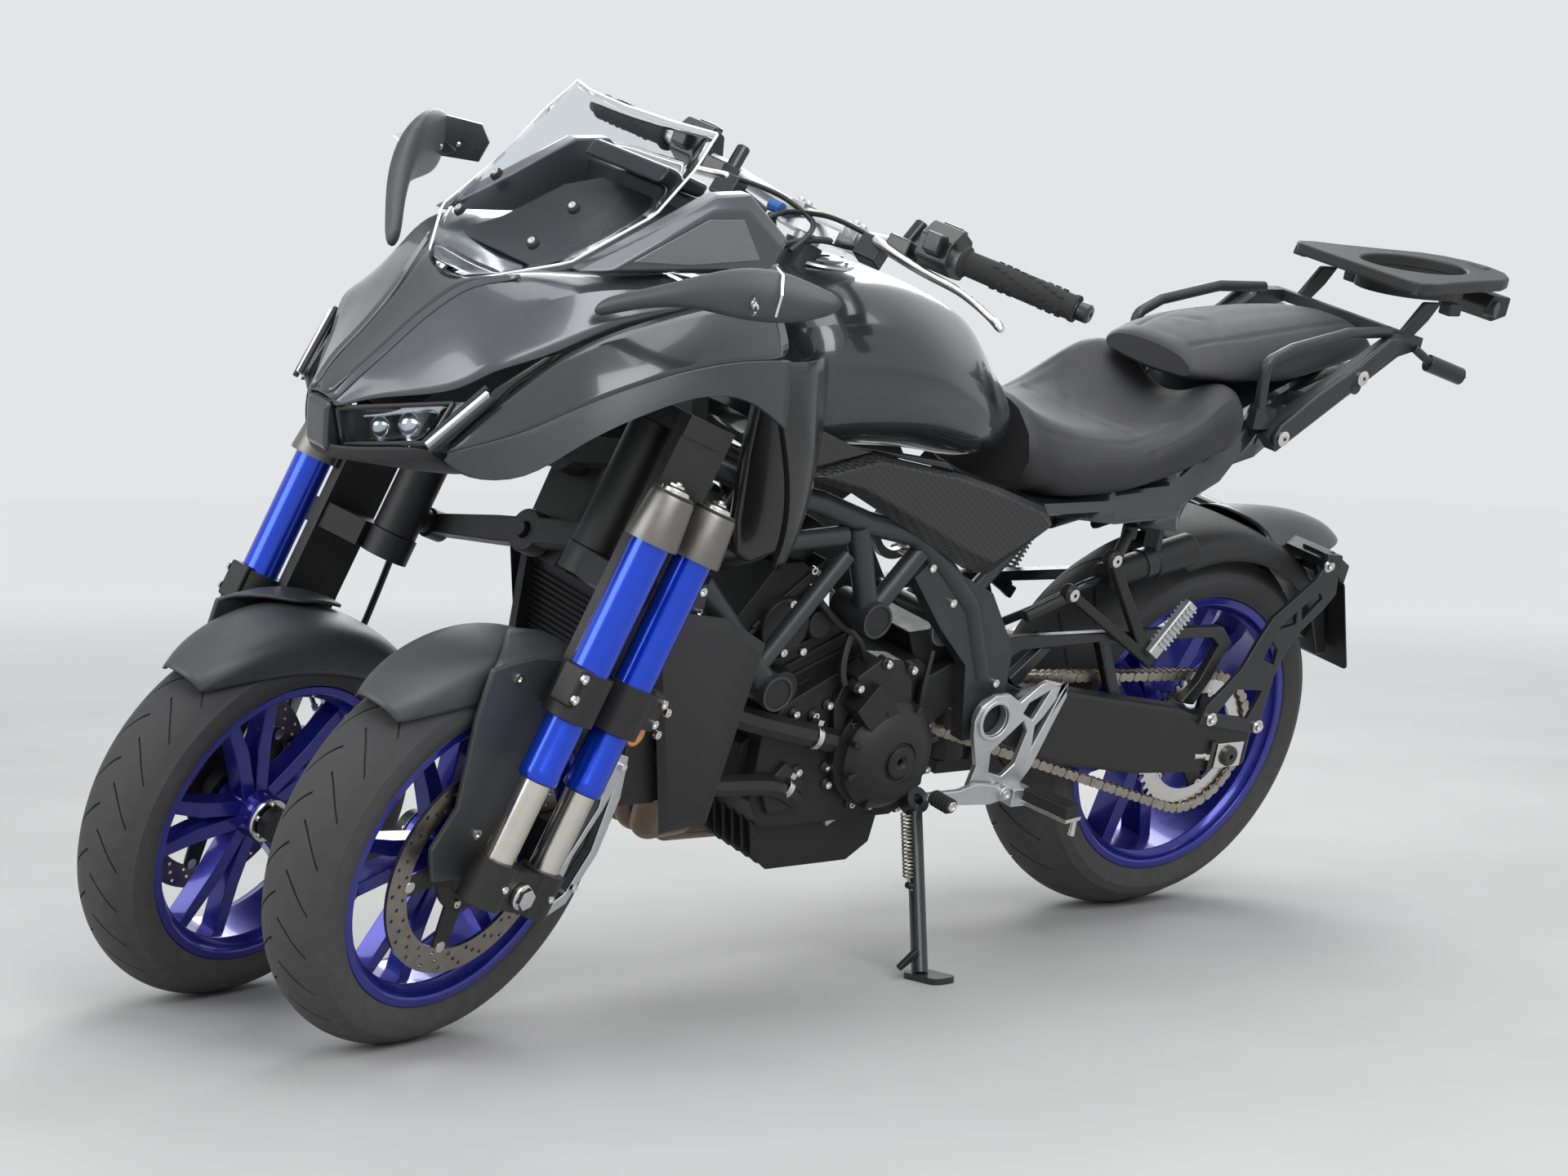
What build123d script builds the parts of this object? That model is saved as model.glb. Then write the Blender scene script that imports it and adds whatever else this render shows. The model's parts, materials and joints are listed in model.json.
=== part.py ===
"""Motorised trike with two leaning front wheels, parked on its side stand.

Every piece is drawn with the machine upright, in millimetres: X runs forward from the
rear axle, Y to the rider's left and Z up from the ground. The body then leans to the
left onto its stand. Each front corner has a frame of its own, with Z along the raked
steering axis and X square to it, in the plane of the wheel.
"""
import os
from math import atan, atan2, cos, degrees, radians, sin, sqrt, tan

from build123d import *

os.makedirs("parts", exist_ok=True)

# ---------------------------------------------------------------- driving dimensions
WHEELBASE = 1510
TRACK = 410
CASTER = 20
TRAIL = 74
LEAN = 15.4              # of the body, to the left, while parked
STEER = 13.5             # of the front wheels, to the left, while parked

FRONT_R = 274.5          # front tyre, outside radius
FRONT_HALF_WIDTH = 60
FRONT_CROWN_R = 62
FRONT_RIM_R = 203
REAR_R = 320
REAR_HALF_WIDTH = 95
REAR_CROWN_R = 98
REAR_RIM_R = 231

SKIN = 5                 # wall of the plastic panels
GAP = 0.5                # running clearance of pins, stems and bushes

ARM_PIVOTS = (455, 575)  # the two lean pivots, up the steering axis from the wheel centre
ARM_NEAR, ARM_FAR = -42, -72   # the arms lie behind the steering pipes
PIPE_R = 31
STEM_R = 20
LEG_OUT = 125            # fork legs, outward from the wheel's middle plane
LEG_X = (72, -28)        # fork legs, along the wheel from the steering axis
LEG_R = 26
SLIDER_R = 20.5
CLAMP_HEIGHTS = (230, 295)
CAP_HEIGHTS = (470, 538)
CLAMP_R = LEG_R + 8
CAP_TOP_R = 27
KNUCKLE = (425, 605)     # foot and top of the steering pipe
CROWN_LOW = (388, 424)
CROWN_HIGH = (606, 634)
STEM_LOW, STEM_HIGH = 400, 620

# ---------------------------------------------------------------- how it stands
OFFSET = FRONT_R * sin(radians(CASTER)) - TRAIL * cos(radians(CASTER))
ARM_ANGLE = degrees(atan(tan(radians(LEAN)) / cos(radians(CASTER))))
SIN_L, COS_L = sin(radians(LEAN)), cos(radians(LEAN))
SIN_C, COS_C = sin(radians(CASTER)), cos(radians(CASTER))
SIN_S, COS_S = sin(radians(STEER)), cos(radians(STEER))
SIDES = (("left", 1), ("right", -1))

# Height of the front wheels' centres in the upright frame: they stand on the ground
# once the body leans and the wheels are turned.
AXLE_TILT = -SIN_L * COS_S - COS_L * SIN_S * SIN_C
CORE_DROP = (FRONT_R - FRONT_CROWN_R) * sqrt(1 - AXLE_TILT**2)
WHEEL_Z = (
    (FRONT_CROWN_R + CORE_DROP - REAR_CROWN_R * (1 - COS_L) + SIN_L * OFFSET * SIN_S) / COS_L
    + OFFSET * SIN_C * (1 - COS_S)
)

# The origin is under the middle of the whole machine.
MIDDLE = (583.2, 189.2)
BODY = Location((-MIDDLE[0], -MIDDLE[1] - REAR_CROWN_R * SIN_L, REAR_CROWN_R * (1 - COS_L)), (-LEAN, 0, 0))
AXIS_FOOT = Vector(WHEELBASE - OFFSET * COS_C, 0, WHEEL_Z - OFFSET * SIN_C)
GROUND = Plane(
    origin=(0, REAR_CROWN_R * SIN_L * COS_L, REAR_CROWN_R - REAR_CROWN_R * COS_L),
    x_dir=(1, 0, 0),
    z_dir=(0, -SIN_L, COS_L),
)


def corner_foot(side):
    """Where a corner's steering axis passes nearest to its wheel's centre."""
    reach = side * TRACK / 2
    up = reach * sin(radians(ARM_ANGLE))
    return AXIS_FOOT + Vector(-up * SIN_C, reach * cos(radians(ARM_ANGLE)), up * COS_C)


def knuckle_frame(side):
    return BODY * Location(corner_foot(side), (0, -CASTER, 0))


def corner_frame(side):
    return knuckle_frame(side) * Location((0, 0, 0), (0, 0, STEER))


def arm_frame(height):
    pivot = AXIS_FOOT + Vector(-height * SIN_C, 0, height * COS_C)
    return BODY * Location(pivot, (0, -CASTER, 0)) * Location((0, 0, 0), (ARM_ANGLE, 0, 0))


STAND_PIVOT = Vector(622, 150, 286)
STAND_FOOT = Vector(690, 303, 87)
STAND_FOLDED = Vector(-1, 0.03, -0.04)
STAND_AXIS = (STAND_FOOT - STAND_PIVOT).cross(STAND_FOLDED).normalized()
STAND_PIN_R = 8

BAR_PIVOT = Vector(900, 0, 1085)
BAR_FRAME = BODY * Location(BAR_PIVOT, (0, -CASTER, 0)) * Location((0, 0, 0), (0, 0, STEER))


def on_head(along, up):
    """A point of the head, in the side view, from its place in the corner frames."""
    return (AXIS_FOOT.X + along * COS_C - up * SIN_C, AXIS_FOOT.Z + along * SIN_C + up * COS_C)


def keep(piece, name, place=BODY):
    """Set a finished piece in the parked machine and write it."""
    piece.part.move(place)
    piece.part.label = name
    export_step(piece.part, f"parts/{name}.step")


# ---------------------------------------------------------------- forms used again
def rod(start, end, radius, mode=Mode.ADD):
    """A straight round bar."""
    start, end = Vector(*start), Vector(*end)
    with BuildSketch(Plane(origin=start, z_dir=end - start)) as ring:
        Circle(radius)
    extrude(ring.sketch, amount=(end - start).length, mode=mode)


def pipe(points, radius, bend, mode=Mode.ADD):
    """A round tube along straight runs joined by arcs."""
    with BuildLine() as route:
        FilletPolyline(*points, radius=bend)
    with BuildSketch(Plane(origin=route.line @ 0, z_dir=route.line % 0)) as ring:
        Circle(radius)
    sweep(sections=ring.sketch, path=route.line, mode=mode)


def block(x, y, z, mode=Mode.ADD):
    """A square block between two limits each way."""
    middle = [(low + high) / 2 for low, high in (x, y, z)]
    with Locations(tuple(middle)):
        Box(abs(x[1] - x[0]), abs(y[1] - y[0]), abs(z[1] - z[0]), mode=mode)


def plate(plane, outline, thickness, mode=Mode.ADD, both=True):
    """A flat plate with a straight-sided outline."""
    with BuildSketch(plane) as face:
        Polygon(*outline, align=None)
    extrude(face.sketch, amount=thickness / 2 if both else thickness, both=both, mode=mode)


def ruled(planes, outlines, mode=Mode.ADD):
    """Straight-sided outlines on a row of planes, joined by flat sides."""
    faces = []
    for plane, outline in zip(planes, outlines):
        with BuildSketch(plane) as face:
            Polygon(*outline, align=None)
        faces.append(face.sketch)
    loft(sections=faces, ruled=True, mode=mode)


def side_plane(y):
    """The view from the machine's right, at one distance from the middle."""
    return Plane(origin=(0, y, 0), x_dir=(1, 0, 0), z_dir=(0, -1, 0))


def cross_plane(x):
    """A section across the machine: the first direction is Y, the second Z."""
    return Plane(origin=(x, 0, 0), x_dir=(0, 1, 0), z_dir=(1, 0, 0))


def both_halves(outline):
    """A closed outline from its left half, given from the top middle to the bottom middle."""
    return list(outline) + [(-y, z) for y, z in reversed(outline) if y > 0]


def lens(outline, wall):
    """A strip of panel: the outline's left-hand points and the same points further in."""
    return list(outline) + [(y - wall, z) for y, z in reversed(outline)]


def disc(centre_y, radius, thickness, bore=0, x=0, mode=Mode.ADD):
    """A flat ring about an axle."""
    with BuildSketch(side_plane(centre_y)) as face:
        with Locations((x, 0)):
            Circle(radius)
            if bore:
                Circle(bore, mode=Mode.SUBTRACT)
    extrude(face.sketch, amount=thickness / 2, both=True, mode=mode)


# ---------------------------------------------------------------- wheels
def tyre(radius, half_width, crown_r, rim_r):
    """A solid ring of rubber with a round crown, seated on its rim."""
    bead = half_width - 14
    shoulder = 0.8 * half_width
    shoulder_r = radius - crown_r + sqrt(crown_r**2 - shoulder**2)
    bulge_r = (shoulder_r + rim_r) / 2 + 4
    seat_r = rim_r - 5.6
    with BuildSketch(cross_plane(0)) as section:
        with BuildLine():
            ThreePointArc((-shoulder, shoulder_r), (0, radius), (shoulder, shoulder_r))
            ThreePointArc((shoulder, shoulder_r), (half_width, bulge_r), (bead + 5, rim_r + 2))
            Polyline((bead + 5, rim_r + 2), (bead, rim_r + 2), (bead, seat_r), (-bead, seat_r),
                     (-bead, rim_r + 2), (-bead - 5, rim_r + 2))
            ThreePointArc((-bead - 5, rim_r + 2), (-half_width, bulge_r), (-shoulder, shoulder_r))
        make_face()
    revolve(section.sketch, axis=Axis.Y)


def wheel(half_width, rim_r, hub_r, hub_half, bore, spoke_width):
    """A cast wheel: flanged rim, hub, and five pairs of spokes that open towards the rim."""
    bead = half_width - 14
    flange = bead + 5
    with BuildSketch(cross_plane(0)) as section:
        Polygon((-flange, rim_r), (-bead - GAP, rim_r), (-bead - GAP, rim_r - 6), (bead + GAP, rim_r - 6),
                (bead + GAP, rim_r), (flange, rim_r), (flange, rim_r - 10), (bead - 12, rim_r - 24),
                (12 - bead, rim_r - 24), (-flange, rim_r - 10), align=None)
    revolve(section.sketch, axis=Axis.Y)
    disc(0, hub_r, 2 * hub_half)
    outer = rim_r - 20
    toe, heel = 0.27 * outer, spoke_width / 2
    with BuildSketch(side_plane(0)) as face:
        with PolarLocations(0, 5, start_angle=90):
            for lean in (-1, 1):
                Polygon((hub_r - 8, lean * 3), (outer, lean * (toe - heel)), (outer, lean * (toe + heel)),
                        (hub_r - 8, lean * (spoke_width + 3)), align=None)
    extrude(face.sketch, amount=0.26 * half_width, both=True)
    disc(0, bore, 4 * half_width, mode=Mode.SUBTRACT)


AXLE_BORE = 15
REAR_HUB_HALF = 62
with BuildPart() as rear_tyre:
    tyre(REAR_R, REAR_HALF_WIDTH, REAR_CROWN_R, REAR_RIM_R)
REAR_PLACE = BODY * Location((0, 0, REAR_R))
keep(rear_tyre, "rear_tyre", REAR_PLACE)

with BuildPart() as rear_wheel:
    wheel(REAR_HALF_WIDTH, REAR_RIM_R, 50, REAR_HUB_HALF, AXLE_BORE, 22)
keep(rear_wheel, "rear_wheel", REAR_PLACE)

CHAIN_Y = 110
CHAIN_PITCH = 15.875
REAR_TEETH, FRONT_TEETH = 45, 16
SPROCKET_R = CHAIN_PITCH / 2 / sin(radians(180 / REAR_TEETH))
DRIVE_R = CHAIN_PITCH / 2 / sin(radians(180 / FRONT_TEETH))
with BuildPart() as rear_sprocket:
    disc(CHAIN_Y, SPROCKET_R - 5, 7, bore=SPROCKET_R - 32)
    disc(CHAIN_Y - 6, SPROCKET_R - 28, 8, bore=30)
    disc((CHAIN_Y + REAR_HUB_HALF) / 2, 44, CHAIN_Y - REAR_HUB_HALF, bore=AXLE_BORE)
keep(rear_sprocket, "rear_sprocket", REAR_PLACE)

REAR_DISC_Y = -100
with BuildPart() as rear_disc:
    disc(REAR_DISC_Y, 141, 5, bore=88)
    disc(REAR_DISC_Y + 5, 92, 6, bore=30)
    disc((REAR_DISC_Y - REAR_HUB_HALF) / 2, 40, -REAR_HUB_HALF - REAR_DISC_Y, bore=AXLE_BORE)
keep(rear_disc, "rear_disc", REAR_PLACE)

# ---------------------------------------------------------------- front corners
DISC_Y = 61
DISC_R = 149
FENDER_R = 296
FENDER_HALF = 66
FENDER_ARC = (-27, 58)   # behind and ahead of the steering axis
GUARD = [(36, 292), (176, 236), (150, 190), (112, 110), (88, 30), (74, -20), (52, -34), (34, 12), (14, 60), (2, 110),
         (30, 235)]       # the plate beside the disc, in the side view from the axle
AXLE_END = 150
CALIPER_ANGLE = -160
STAY = [(-60, 205), (-88, 205), (-112, 150), (-120, 70), (-104, -4), (-72, -30), (-50, -22), (-62, 60), (-76, 130),
        (-62, 175)]       # the casting behind the fork legs, in the side view from the steering axis
STAY_HOLE = [(-90, 150), (-104, 72), (-92, 10), (-74, -8), (-72, 60), (-88, 130)]


def fender_profile(radius, half_width, drop, wall):
    """The fender's section: a flat crown with turned-down sides."""
    return [(-half_width, radius - drop), (-half_width, radius - 14), (-half_width + 14, radius),
            (half_width - 14, radius), (half_width, radius - 14), (half_width, radius - drop),
            (half_width - wall, radius - drop), (half_width - wall, radius - 16),
            (half_width - 16, radius - wall), (16 - half_width, radius - wall),
            (wall - half_width, radius - 16), (wall - half_width, radius - drop)]


for name, side in SIDES:
    place = corner_frame(side)
    at_wheel = place * Location((OFFSET, 0, 0))

    with BuildPart() as front_tyre:
        tyre(FRONT_R, FRONT_HALF_WIDTH, FRONT_CROWN_R, FRONT_RIM_R)
    keep(front_tyre, f"{name}_front_tyre", at_wheel)

    with BuildPart() as front_wheel:
        wheel(FRONT_HALF_WIDTH, FRONT_RIM_R, 36, 38, AXLE_BORE, 18)
    keep(front_wheel, f"{name}_front_wheel", at_wheel)

    with BuildPart() as brake_disc:
        disc(side * DISC_Y, DISC_R, 5, bore=116)
        disc(side * (DISC_Y - 2), 119, 5, bore=56)
        disc(side * (38 + DISC_Y) / 2, 60, DISC_Y - 38, bore=AXLE_BORE)
    keep(brake_disc, f"{name}_brake_disc", at_wheel)

    with BuildPart() as fork_tubes:
        for x in LEG_X:
            rod((x, side * LEG_OUT, 147), (x, side * LEG_OUT, CAP_HEIGHTS[0] + 20), LEG_R)
            rod((x, side * LEG_OUT, 140), (x, side * LEG_OUT, 500), SLIDER_R + 0.3, mode=Mode.SUBTRACT)
    keep(fork_tubes, f"{name}_fork_tubes", place)

    with BuildPart() as fork_sliders:
        for x in LEG_X:
            rod((x, side * LEG_OUT, 0), (x, side * LEG_OUT, 460), SLIDER_R)
    keep(fork_sliders, f"{name}_fork_sliders", place)

    # The forged bracket: stem, crown, the web outside the tyre and the clamps on the legs.
    with BuildPart() as fork_bracket:
        rod((0, 0, STEM_LOW), (0, 0, STEM_HIGH), STEM_R)
        for low, high in (CROWN_LOW, CROWN_HIGH):
            with BuildSketch(Plane.XY.offset(low)) as crown:
                Circle(34)
                Polygon((-36, side * 20), (40, side * 20), (LEG_X[0] - 4, side * (LEG_OUT - LEG_R - 4)),
                        (LEG_X[1] + 4, side * (LEG_OUT - LEG_R - 4)), align=None)
            extrude(crown.sketch, amount=high - low)
        block((-40, 66), (side * 76, side * 92), (CLAMP_HEIGHTS[0], CROWN_HIGH[1]))
        for low, high in (CLAMP_HEIGHTS, CAP_HEIGHTS):
            block((LEG_X[1], LEG_X[0]), (side * 84, side * (LEG_OUT - 12)), (low, high - 10))
        for x in LEG_X:
            rod((x, side * LEG_OUT, CLAMP_HEIGHTS[0]), (x, side * LEG_OUT, CLAMP_HEIGHTS[1]), CLAMP_R)
            with Locations((x, side * LEG_OUT, (CAP_HEIGHTS[0] + CAP_HEIGHTS[1]) / 2)):
                Cone(CLAMP_R, CAP_TOP_R, CAP_HEIGHTS[1] - CAP_HEIGHTS[0])
        for x in LEG_X:
            rod((x, side * LEG_OUT, 100), (x, side * LEG_OUT, CAP_HEIGHTS[0] + 20.3), LEG_R + 0.3, mode=Mode.SUBTRACT)
            rod((x, side * LEG_OUT, CAP_HEIGHTS[1]), (x, side * LEG_OUT, CAP_HEIGHTS[1] + 8), 13)
    keep(fork_bracket, f"{name}_fork_bracket", place)

    # The axle bracket at the feet of both legs, with the axle, and the caliper on its arm.
    with BuildPart() as axle_bracket:
        for x in LEG_X:
            rod((x, side * LEG_OUT, -26), (x, side * LEG_OUT, 34), SLIDER_R + 9)
        block((LEG_X[1], LEG_X[0]), (side * (LEG_OUT - 20), side * (LEG_OUT + 20)), (-24, 30))
        for x in LEG_X:
            rod((x, side * LEG_OUT, -0.3), (x, side * LEG_OUT, 60), SLIDER_R + 0.3, mode=Mode.SUBTRACT)
        rod((OFFSET, -side * 48, 0), (OFFSET, side * AXLE_END, 0), AXLE_BORE - GAP)
        rod((OFFSET, side * (DISC_Y + 12), 0), (OFFSET, side * (LEG_OUT - 20), 0), 27)
        rod((OFFSET, -side * 58, 0), (OFFSET, -side * 44, 0), 24)
        # The caliper straddles the disc behind the fork: outer half, bridge and inner half.
        radial = Location((OFFSET, 0, 0), (0, CALIPER_ANGLE, 0))
        for near, far, reach in ((DISC_Y + 6, DISC_Y + 30, (96, 168)), (DISC_Y - 22, DISC_Y + 30, (DISC_R + 4, 168)),
                                 (DISC_Y - 22, DISC_Y - 6, (112, 168))):
            with Locations(radial * Location(((reach[0] + reach[1]) / 2, side * (near + far) / 2, 0))):
                Box(reach[1] - reach[0], far - near, 112)
        plate(side_plane(side * 120), STAY, 14)
        plate(side_plane(side * 120), STAY_HOLE, 15, mode=Mode.SUBTRACT)
        rod((LEG_X[1] + 10, side * (LEG_OUT - 36), 0), (-104, side * (DISC_Y + 20), 20), 11)
        rod((OFFSET, side * (LEG_OUT - 36), 0), (LEG_X[1] + 9, side * (LEG_OUT - 36), 0), 11)
    keep(axle_bracket, f"{name}_axle_bracket", place)

    with BuildPart() as fender:
        with BuildSketch(cross_plane(0)) as section:
            Polygon(*fender_profile(FENDER_R, FENDER_HALF, 46, 4), align=None)
        revolve(section.sketch.rotate(Axis.Y, FENDER_ARC[0]), axis=Axis.Y, revolution_arc=FENDER_ARC[1] - FENDER_ARC[0])
        plate(side_plane(side * 69), GUARD, 8)
        block((-50, 24), (side * 65, side * 75.7), (252, 284))
    keep(fender, f"{name}_fender", at_wheel)

    with BuildPart() as knuckle:
        rod((0, 0, KNUCKLE[0]), (0, 0, KNUCKLE[1]), PIPE_R)
        rod((0, 0, KNUCKLE[0] - 1), (0, 0, KNUCKLE[1] + 1), STEM_R + GAP, mode=Mode.SUBTRACT)
        for height in ARM_PIVOTS:
            rod((1 - PIPE_R, 0, height), (ARM_FAR - 6, 0, height), 10)
            rod((ARM_NEAR + 1, 0, height), (3 - PIPE_R, 0, height), 17)
    keep(knuckle, f"{name}_knuckle", knuckle_frame(side))

# ---------------------------------------------------------------- lean linkage
ARM_HALF_DEPTH = 18
PIN_R = 10
HEAD_X = (-190, ARM_FAR - 6)   # the head casting, along the lean pivots behind the arms
for name, height in zip(("lower_arm", "upper_arm"), ARM_PIVOTS):
    with BuildPart() as arm:
        with BuildSketch(cross_plane(ARM_FAR)) as face:
            Polygon((-TRACK / 2, -13), (-60, -ARM_HALF_DEPTH), (60, -ARM_HALF_DEPTH), (TRACK / 2, -13),
                    (TRACK / 2, 13), (60, ARM_HALF_DEPTH), (-60, ARM_HALF_DEPTH), (-TRACK / 2, 13), align=None)
            with Locations((-TRACK / 2, 0), (TRACK / 2, 0)):
                Circle(21)
            Circle(30)
            with Locations((-TRACK / 2, 0), (0, 0), (TRACK / 2, 0)):
                Circle(PIN_R + GAP, mode=Mode.SUBTRACT)
        extrude(face.sketch, amount=ARM_NEAR - ARM_FAR)
    keep(arm, name, arm_frame(height))

with BuildPart() as head:
    with BuildSketch(cross_plane(HEAD_X[0])) as face:
        Polygon((-44, ARM_PIVOTS[0] - 26), (44, ARM_PIVOTS[0] - 26), (52, ARM_PIVOTS[1] + 30),
                (-52, ARM_PIVOTS[1] + 30), align=None)
    extrude(face.sketch, amount=HEAD_X[1] - HEAD_X[0])
    for height in ARM_PIVOTS:
        rod((HEAD_X[1] - 1, 0, height), (ARM_NEAR + 8, 0, height), PIN_R)
keep(head, "lean_head", BODY * Location(AXIS_FOOT, (0, -CASTER, 0)))

# ---------------------------------------------------------------- frame and engine
TUBE_R = 17
RAIL_Y = 150
with BuildPart() as frame:
    for _, side in SIDES:
        y = side * RAIL_Y
        pipe([(1078, side * 60, 792), (1010, side * 118, 770), (907, side * 140, 750), (826, y, 722), (729, y, 702),
              (665, y, 655), (595, y, 590), (545, y, 480)], TUBE_R, 25)
        pipe([(1090, side * 52, 700), (1063, side * 132, 684), (859, y, 705)], TUBE_R - 3, 25)
        rod((1087, side * 132, 639), (946, y, 484), TUBE_R + 2)
        rod((848, y, 676), (969, y, 520), TUBE_R - 4)
        rod((840, y, 718), (788, y, 583), TUBE_R)
        rod((713, y, 676), (788, y, 583), TUBE_R - 2)
        rod((1087, side * 132, 639), (1088, side * 48, 706), TUBE_R)
        for x, z in ((946, 484), (788, 583)):
            rod((x, side * 95.2, z), (x, side * 172, z), 25)
        plate(side_plane(side * 146), [(690, 668), (560, 610), (495, 520), (490, 385), (560, 380), (585, 500),
                                       (650, 560), (720, 640)], 26)
        rod((520, side * 133, 415), (520, side * 172, 415), 30)
        rod((590, side * 140, 600), (424, side * 76, 684), 12)
        block((412, 436), (side * 64, side * 88), (676, 698.2))
        block((1087, 1114), (side * 141, side * 153), (596, 642))
    back_foot, back_top = on_head(HEAD_X[0], ARM_PIVOTS[0] - 26), on_head(HEAD_X[0], ARM_PIVOTS[1] + 30)
    plate(side_plane(0), [back_foot, back_top, (1075, 830), (1050, 800), (1060, 690), (1090, 640)], 96)
    # The stay that carries the nose, over the lean linkage, with its pads under the lamps and the hood.
    block((1490, 1554.6), (-40, 40), (812, 850))
    block((1296, 1330), (-30, 30), (990, 1044))
    plate(side_plane(0), [(1540, 850), (1300, 1016), (1170, 1044), (1080, 1030), (1050, 800), (1078, 812), (1100, 960),
                          (1240, 950), (1500, 800)], 96)
    # The bearing of the handlebar, ahead of the tank.
    place = Location(BAR_PIVOT, (0, -CASTER, 0))
    low, high = [(place * Location((0, 0, along))).position for along in (-66, -6)]
    plate(side_plane(0), [(932, 1000), (1090, 985), (1090, 1018), (922, 1046)], 46)
    rod(low, high, 27)
    rod(low - (high - low), high + (high - low), 19 + GAP, mode=Mode.SUBTRACT)
    rod((520, -172, 415), (520, 172, 415), 16)
    rod((520, -RAIL_Y, 520), (520, RAIL_Y, 520), 14)
    block((430, 520), (-20, 20), (509.2, 534))
keep(frame, "frame")

ENGINE_HALF = 118
GENERATOR = (700, 368)
with BuildPart() as engine:
    plate(side_plane(0), [(905, 290), (905, 400), (870, 440), (640, 500), (600, 470), (590, 300), (640, 260),
                          (880, 260)], 2 * ENGINE_HALF)
    plate(side_plane(45), [(640, 262), (885, 262), (860, 195), (690, 195)], 110)
    plate(side_plane(0), [(880, 420), (980, 560), (900, 650), (790, 640), (700, 480)], 190)
    rod((GENERATOR[0], 110, GENERATOR[1]), (GENERATOR[0], 168, GENERATOR[1]), 86)
    rod((GENERATOR[0], 167, GENERATOR[1]), (GENERATOR[0], 190, GENERATOR[1]), 72)
    rod((GENERATOR[0], 189, GENERATOR[1]), (GENERATOR[0], 195, GENERATOR[1]), 38)
    rod((690, -110, 370), (690, -165, 370), 92)
    plate(side_plane(132), [(800, 440), (760, 500), (700, 512), (650, 470), (660, 400), (780, 400)], 44)
    block((480, 614), (CHAIN_Y - 14, CHAIN_Y + 14), (364, 480), mode=Mode.SUBTRACT)
    plate(side_plane(127.5), [(640, 480), (585, 505), (550, 440), (600, 400)], 7)
    block((616, 640), (110, 126), (420, 470))
    rod(STAND_PIVOT - STAND_AXIS * 45, STAND_PIVOT - STAND_AXIS * 12, 20)
    rod(STAND_PIVOT - STAND_AXIS * 45, STAND_PIVOT + STAND_AXIS * 18, STAND_PIN_R)
keep(engine, "engine")

COLLECTOR_Y = -62
with BuildPart() as exhaust:
    for y in (-70, 0, 70):
        pipe([(968, y, 530), (1034, y, 512), (1048, y, 330), (1000, (y + COLLECTOR_Y) / 2, 222),
              (900, COLLECTOR_Y + 0.35 * y, 205)], 21, 40)
    pipe([(912, COLLECTOR_Y, 205), (700, COLLECTOR_Y, 200), (560, -90, 205)], 40, 60)
    pipe([(575, -88, 205), (470, -150, 225), (385, -206, 236)], 30, 40)
    rod((395, -205, 235), (30, -262, 330), 50)
keep(exhaust, "exhaust")

with BuildPart() as radiator:
    plate(side_plane(0), [(1168, 640), (1132, 640), (1098, 330), (1134, 330)], 300)
    for side in (1, -1):
        block((1114, 1175), (side * 140, side * 156), (330, 632))
        block((1130, 1150), (side * 156, side * 173), (580, 600))
        block((1116, 1134), (side * 156, side * 173), (395, 410))
    block((1090, 1200), (-66, 66), (588, 700), mode=Mode.SUBTRACT)
keep(radiator, "radiator")

with BuildPart() as radiator_shrouds:
    for _, side in SIDES:
        ruled([side_plane(side * 173), side_plane(side * 181)],
              [[(1190, 620), (1060, 600), (985, 560), (1030, 300), (1110, 290)],
               [(1180, 600), (1060, 590), (1000, 550), (1040, 315), (1100, 305)]])
keep(radiator_shrouds, "radiator_shrouds")

# ---------------------------------------------------------------- rear suspension and drive
ARM_IN, ARM_OUT = 131, 176
with BuildPart() as swingarm:
    for _, side in SIDES:
        plate(side_plane(side * (ARM_IN + ARM_OUT) / 2), [(488, 450), (375, 432), (100, 405), (62, 380), (-70, 362),
                                                          (-70, 296), (60, 296), (375, 330), (488, 372)], ARM_OUT - ARM_IN)
        plate(side_plane(side * 140), [(470, 440), (486, 532), (30, 532), (30, 514), (464, 512), (444, 440)], 14)
        plate(side_plane(side * 140), [(240, 420), (300, 515), (280, 515), (215, 420)], 14)
        plate(side_plane(side * 140), [(60, 395), (35, 516), (60, 516), (95, 405)], 14)
        plate(side_plane(side * 126.5), [(542, 438), (542, 392), (480, 372), (400, 372), (400, 438)], 9.2)
    rod((520, -ARM_IN - 1, 415), (520, ARM_IN + 1, 415), 16 + GAP, mode=Mode.SUBTRACT)
    block((345, 385), (-ARM_IN - 1, ARM_IN + 1), (352, 426))
    plate(side_plane(0), [(350, 356), (380, 356), (392, 300), (396, 285.8), (462, 285.8), (462, 262), (380, 262)], 40)
    for side in (1, -1):
        rod((0, side * (ARM_IN - 14), REAR_R), (0, side * (ARM_OUT + 8), REAR_R), AXLE_BORE - GAP)
    rod((0, -ARM_OUT, REAR_R), (0, ARM_OUT, REAR_R), AXLE_BORE - GAP)
keep(swingarm, "swingarm")

with BuildPart() as rear_shock:
    block((198, 208), (104, 132), (646, 689.8))
    rod((432, 0, 290), (456, 0, 505), 34)
    pipe([(450, 20, 490), (400, 100, 560), (330, 118, 600), (215, 118, 630)], 7, 30)
    rod((222, 118, 628), (130, 118, 648), 24)
keep(rear_shock, "rear_shock")

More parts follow.
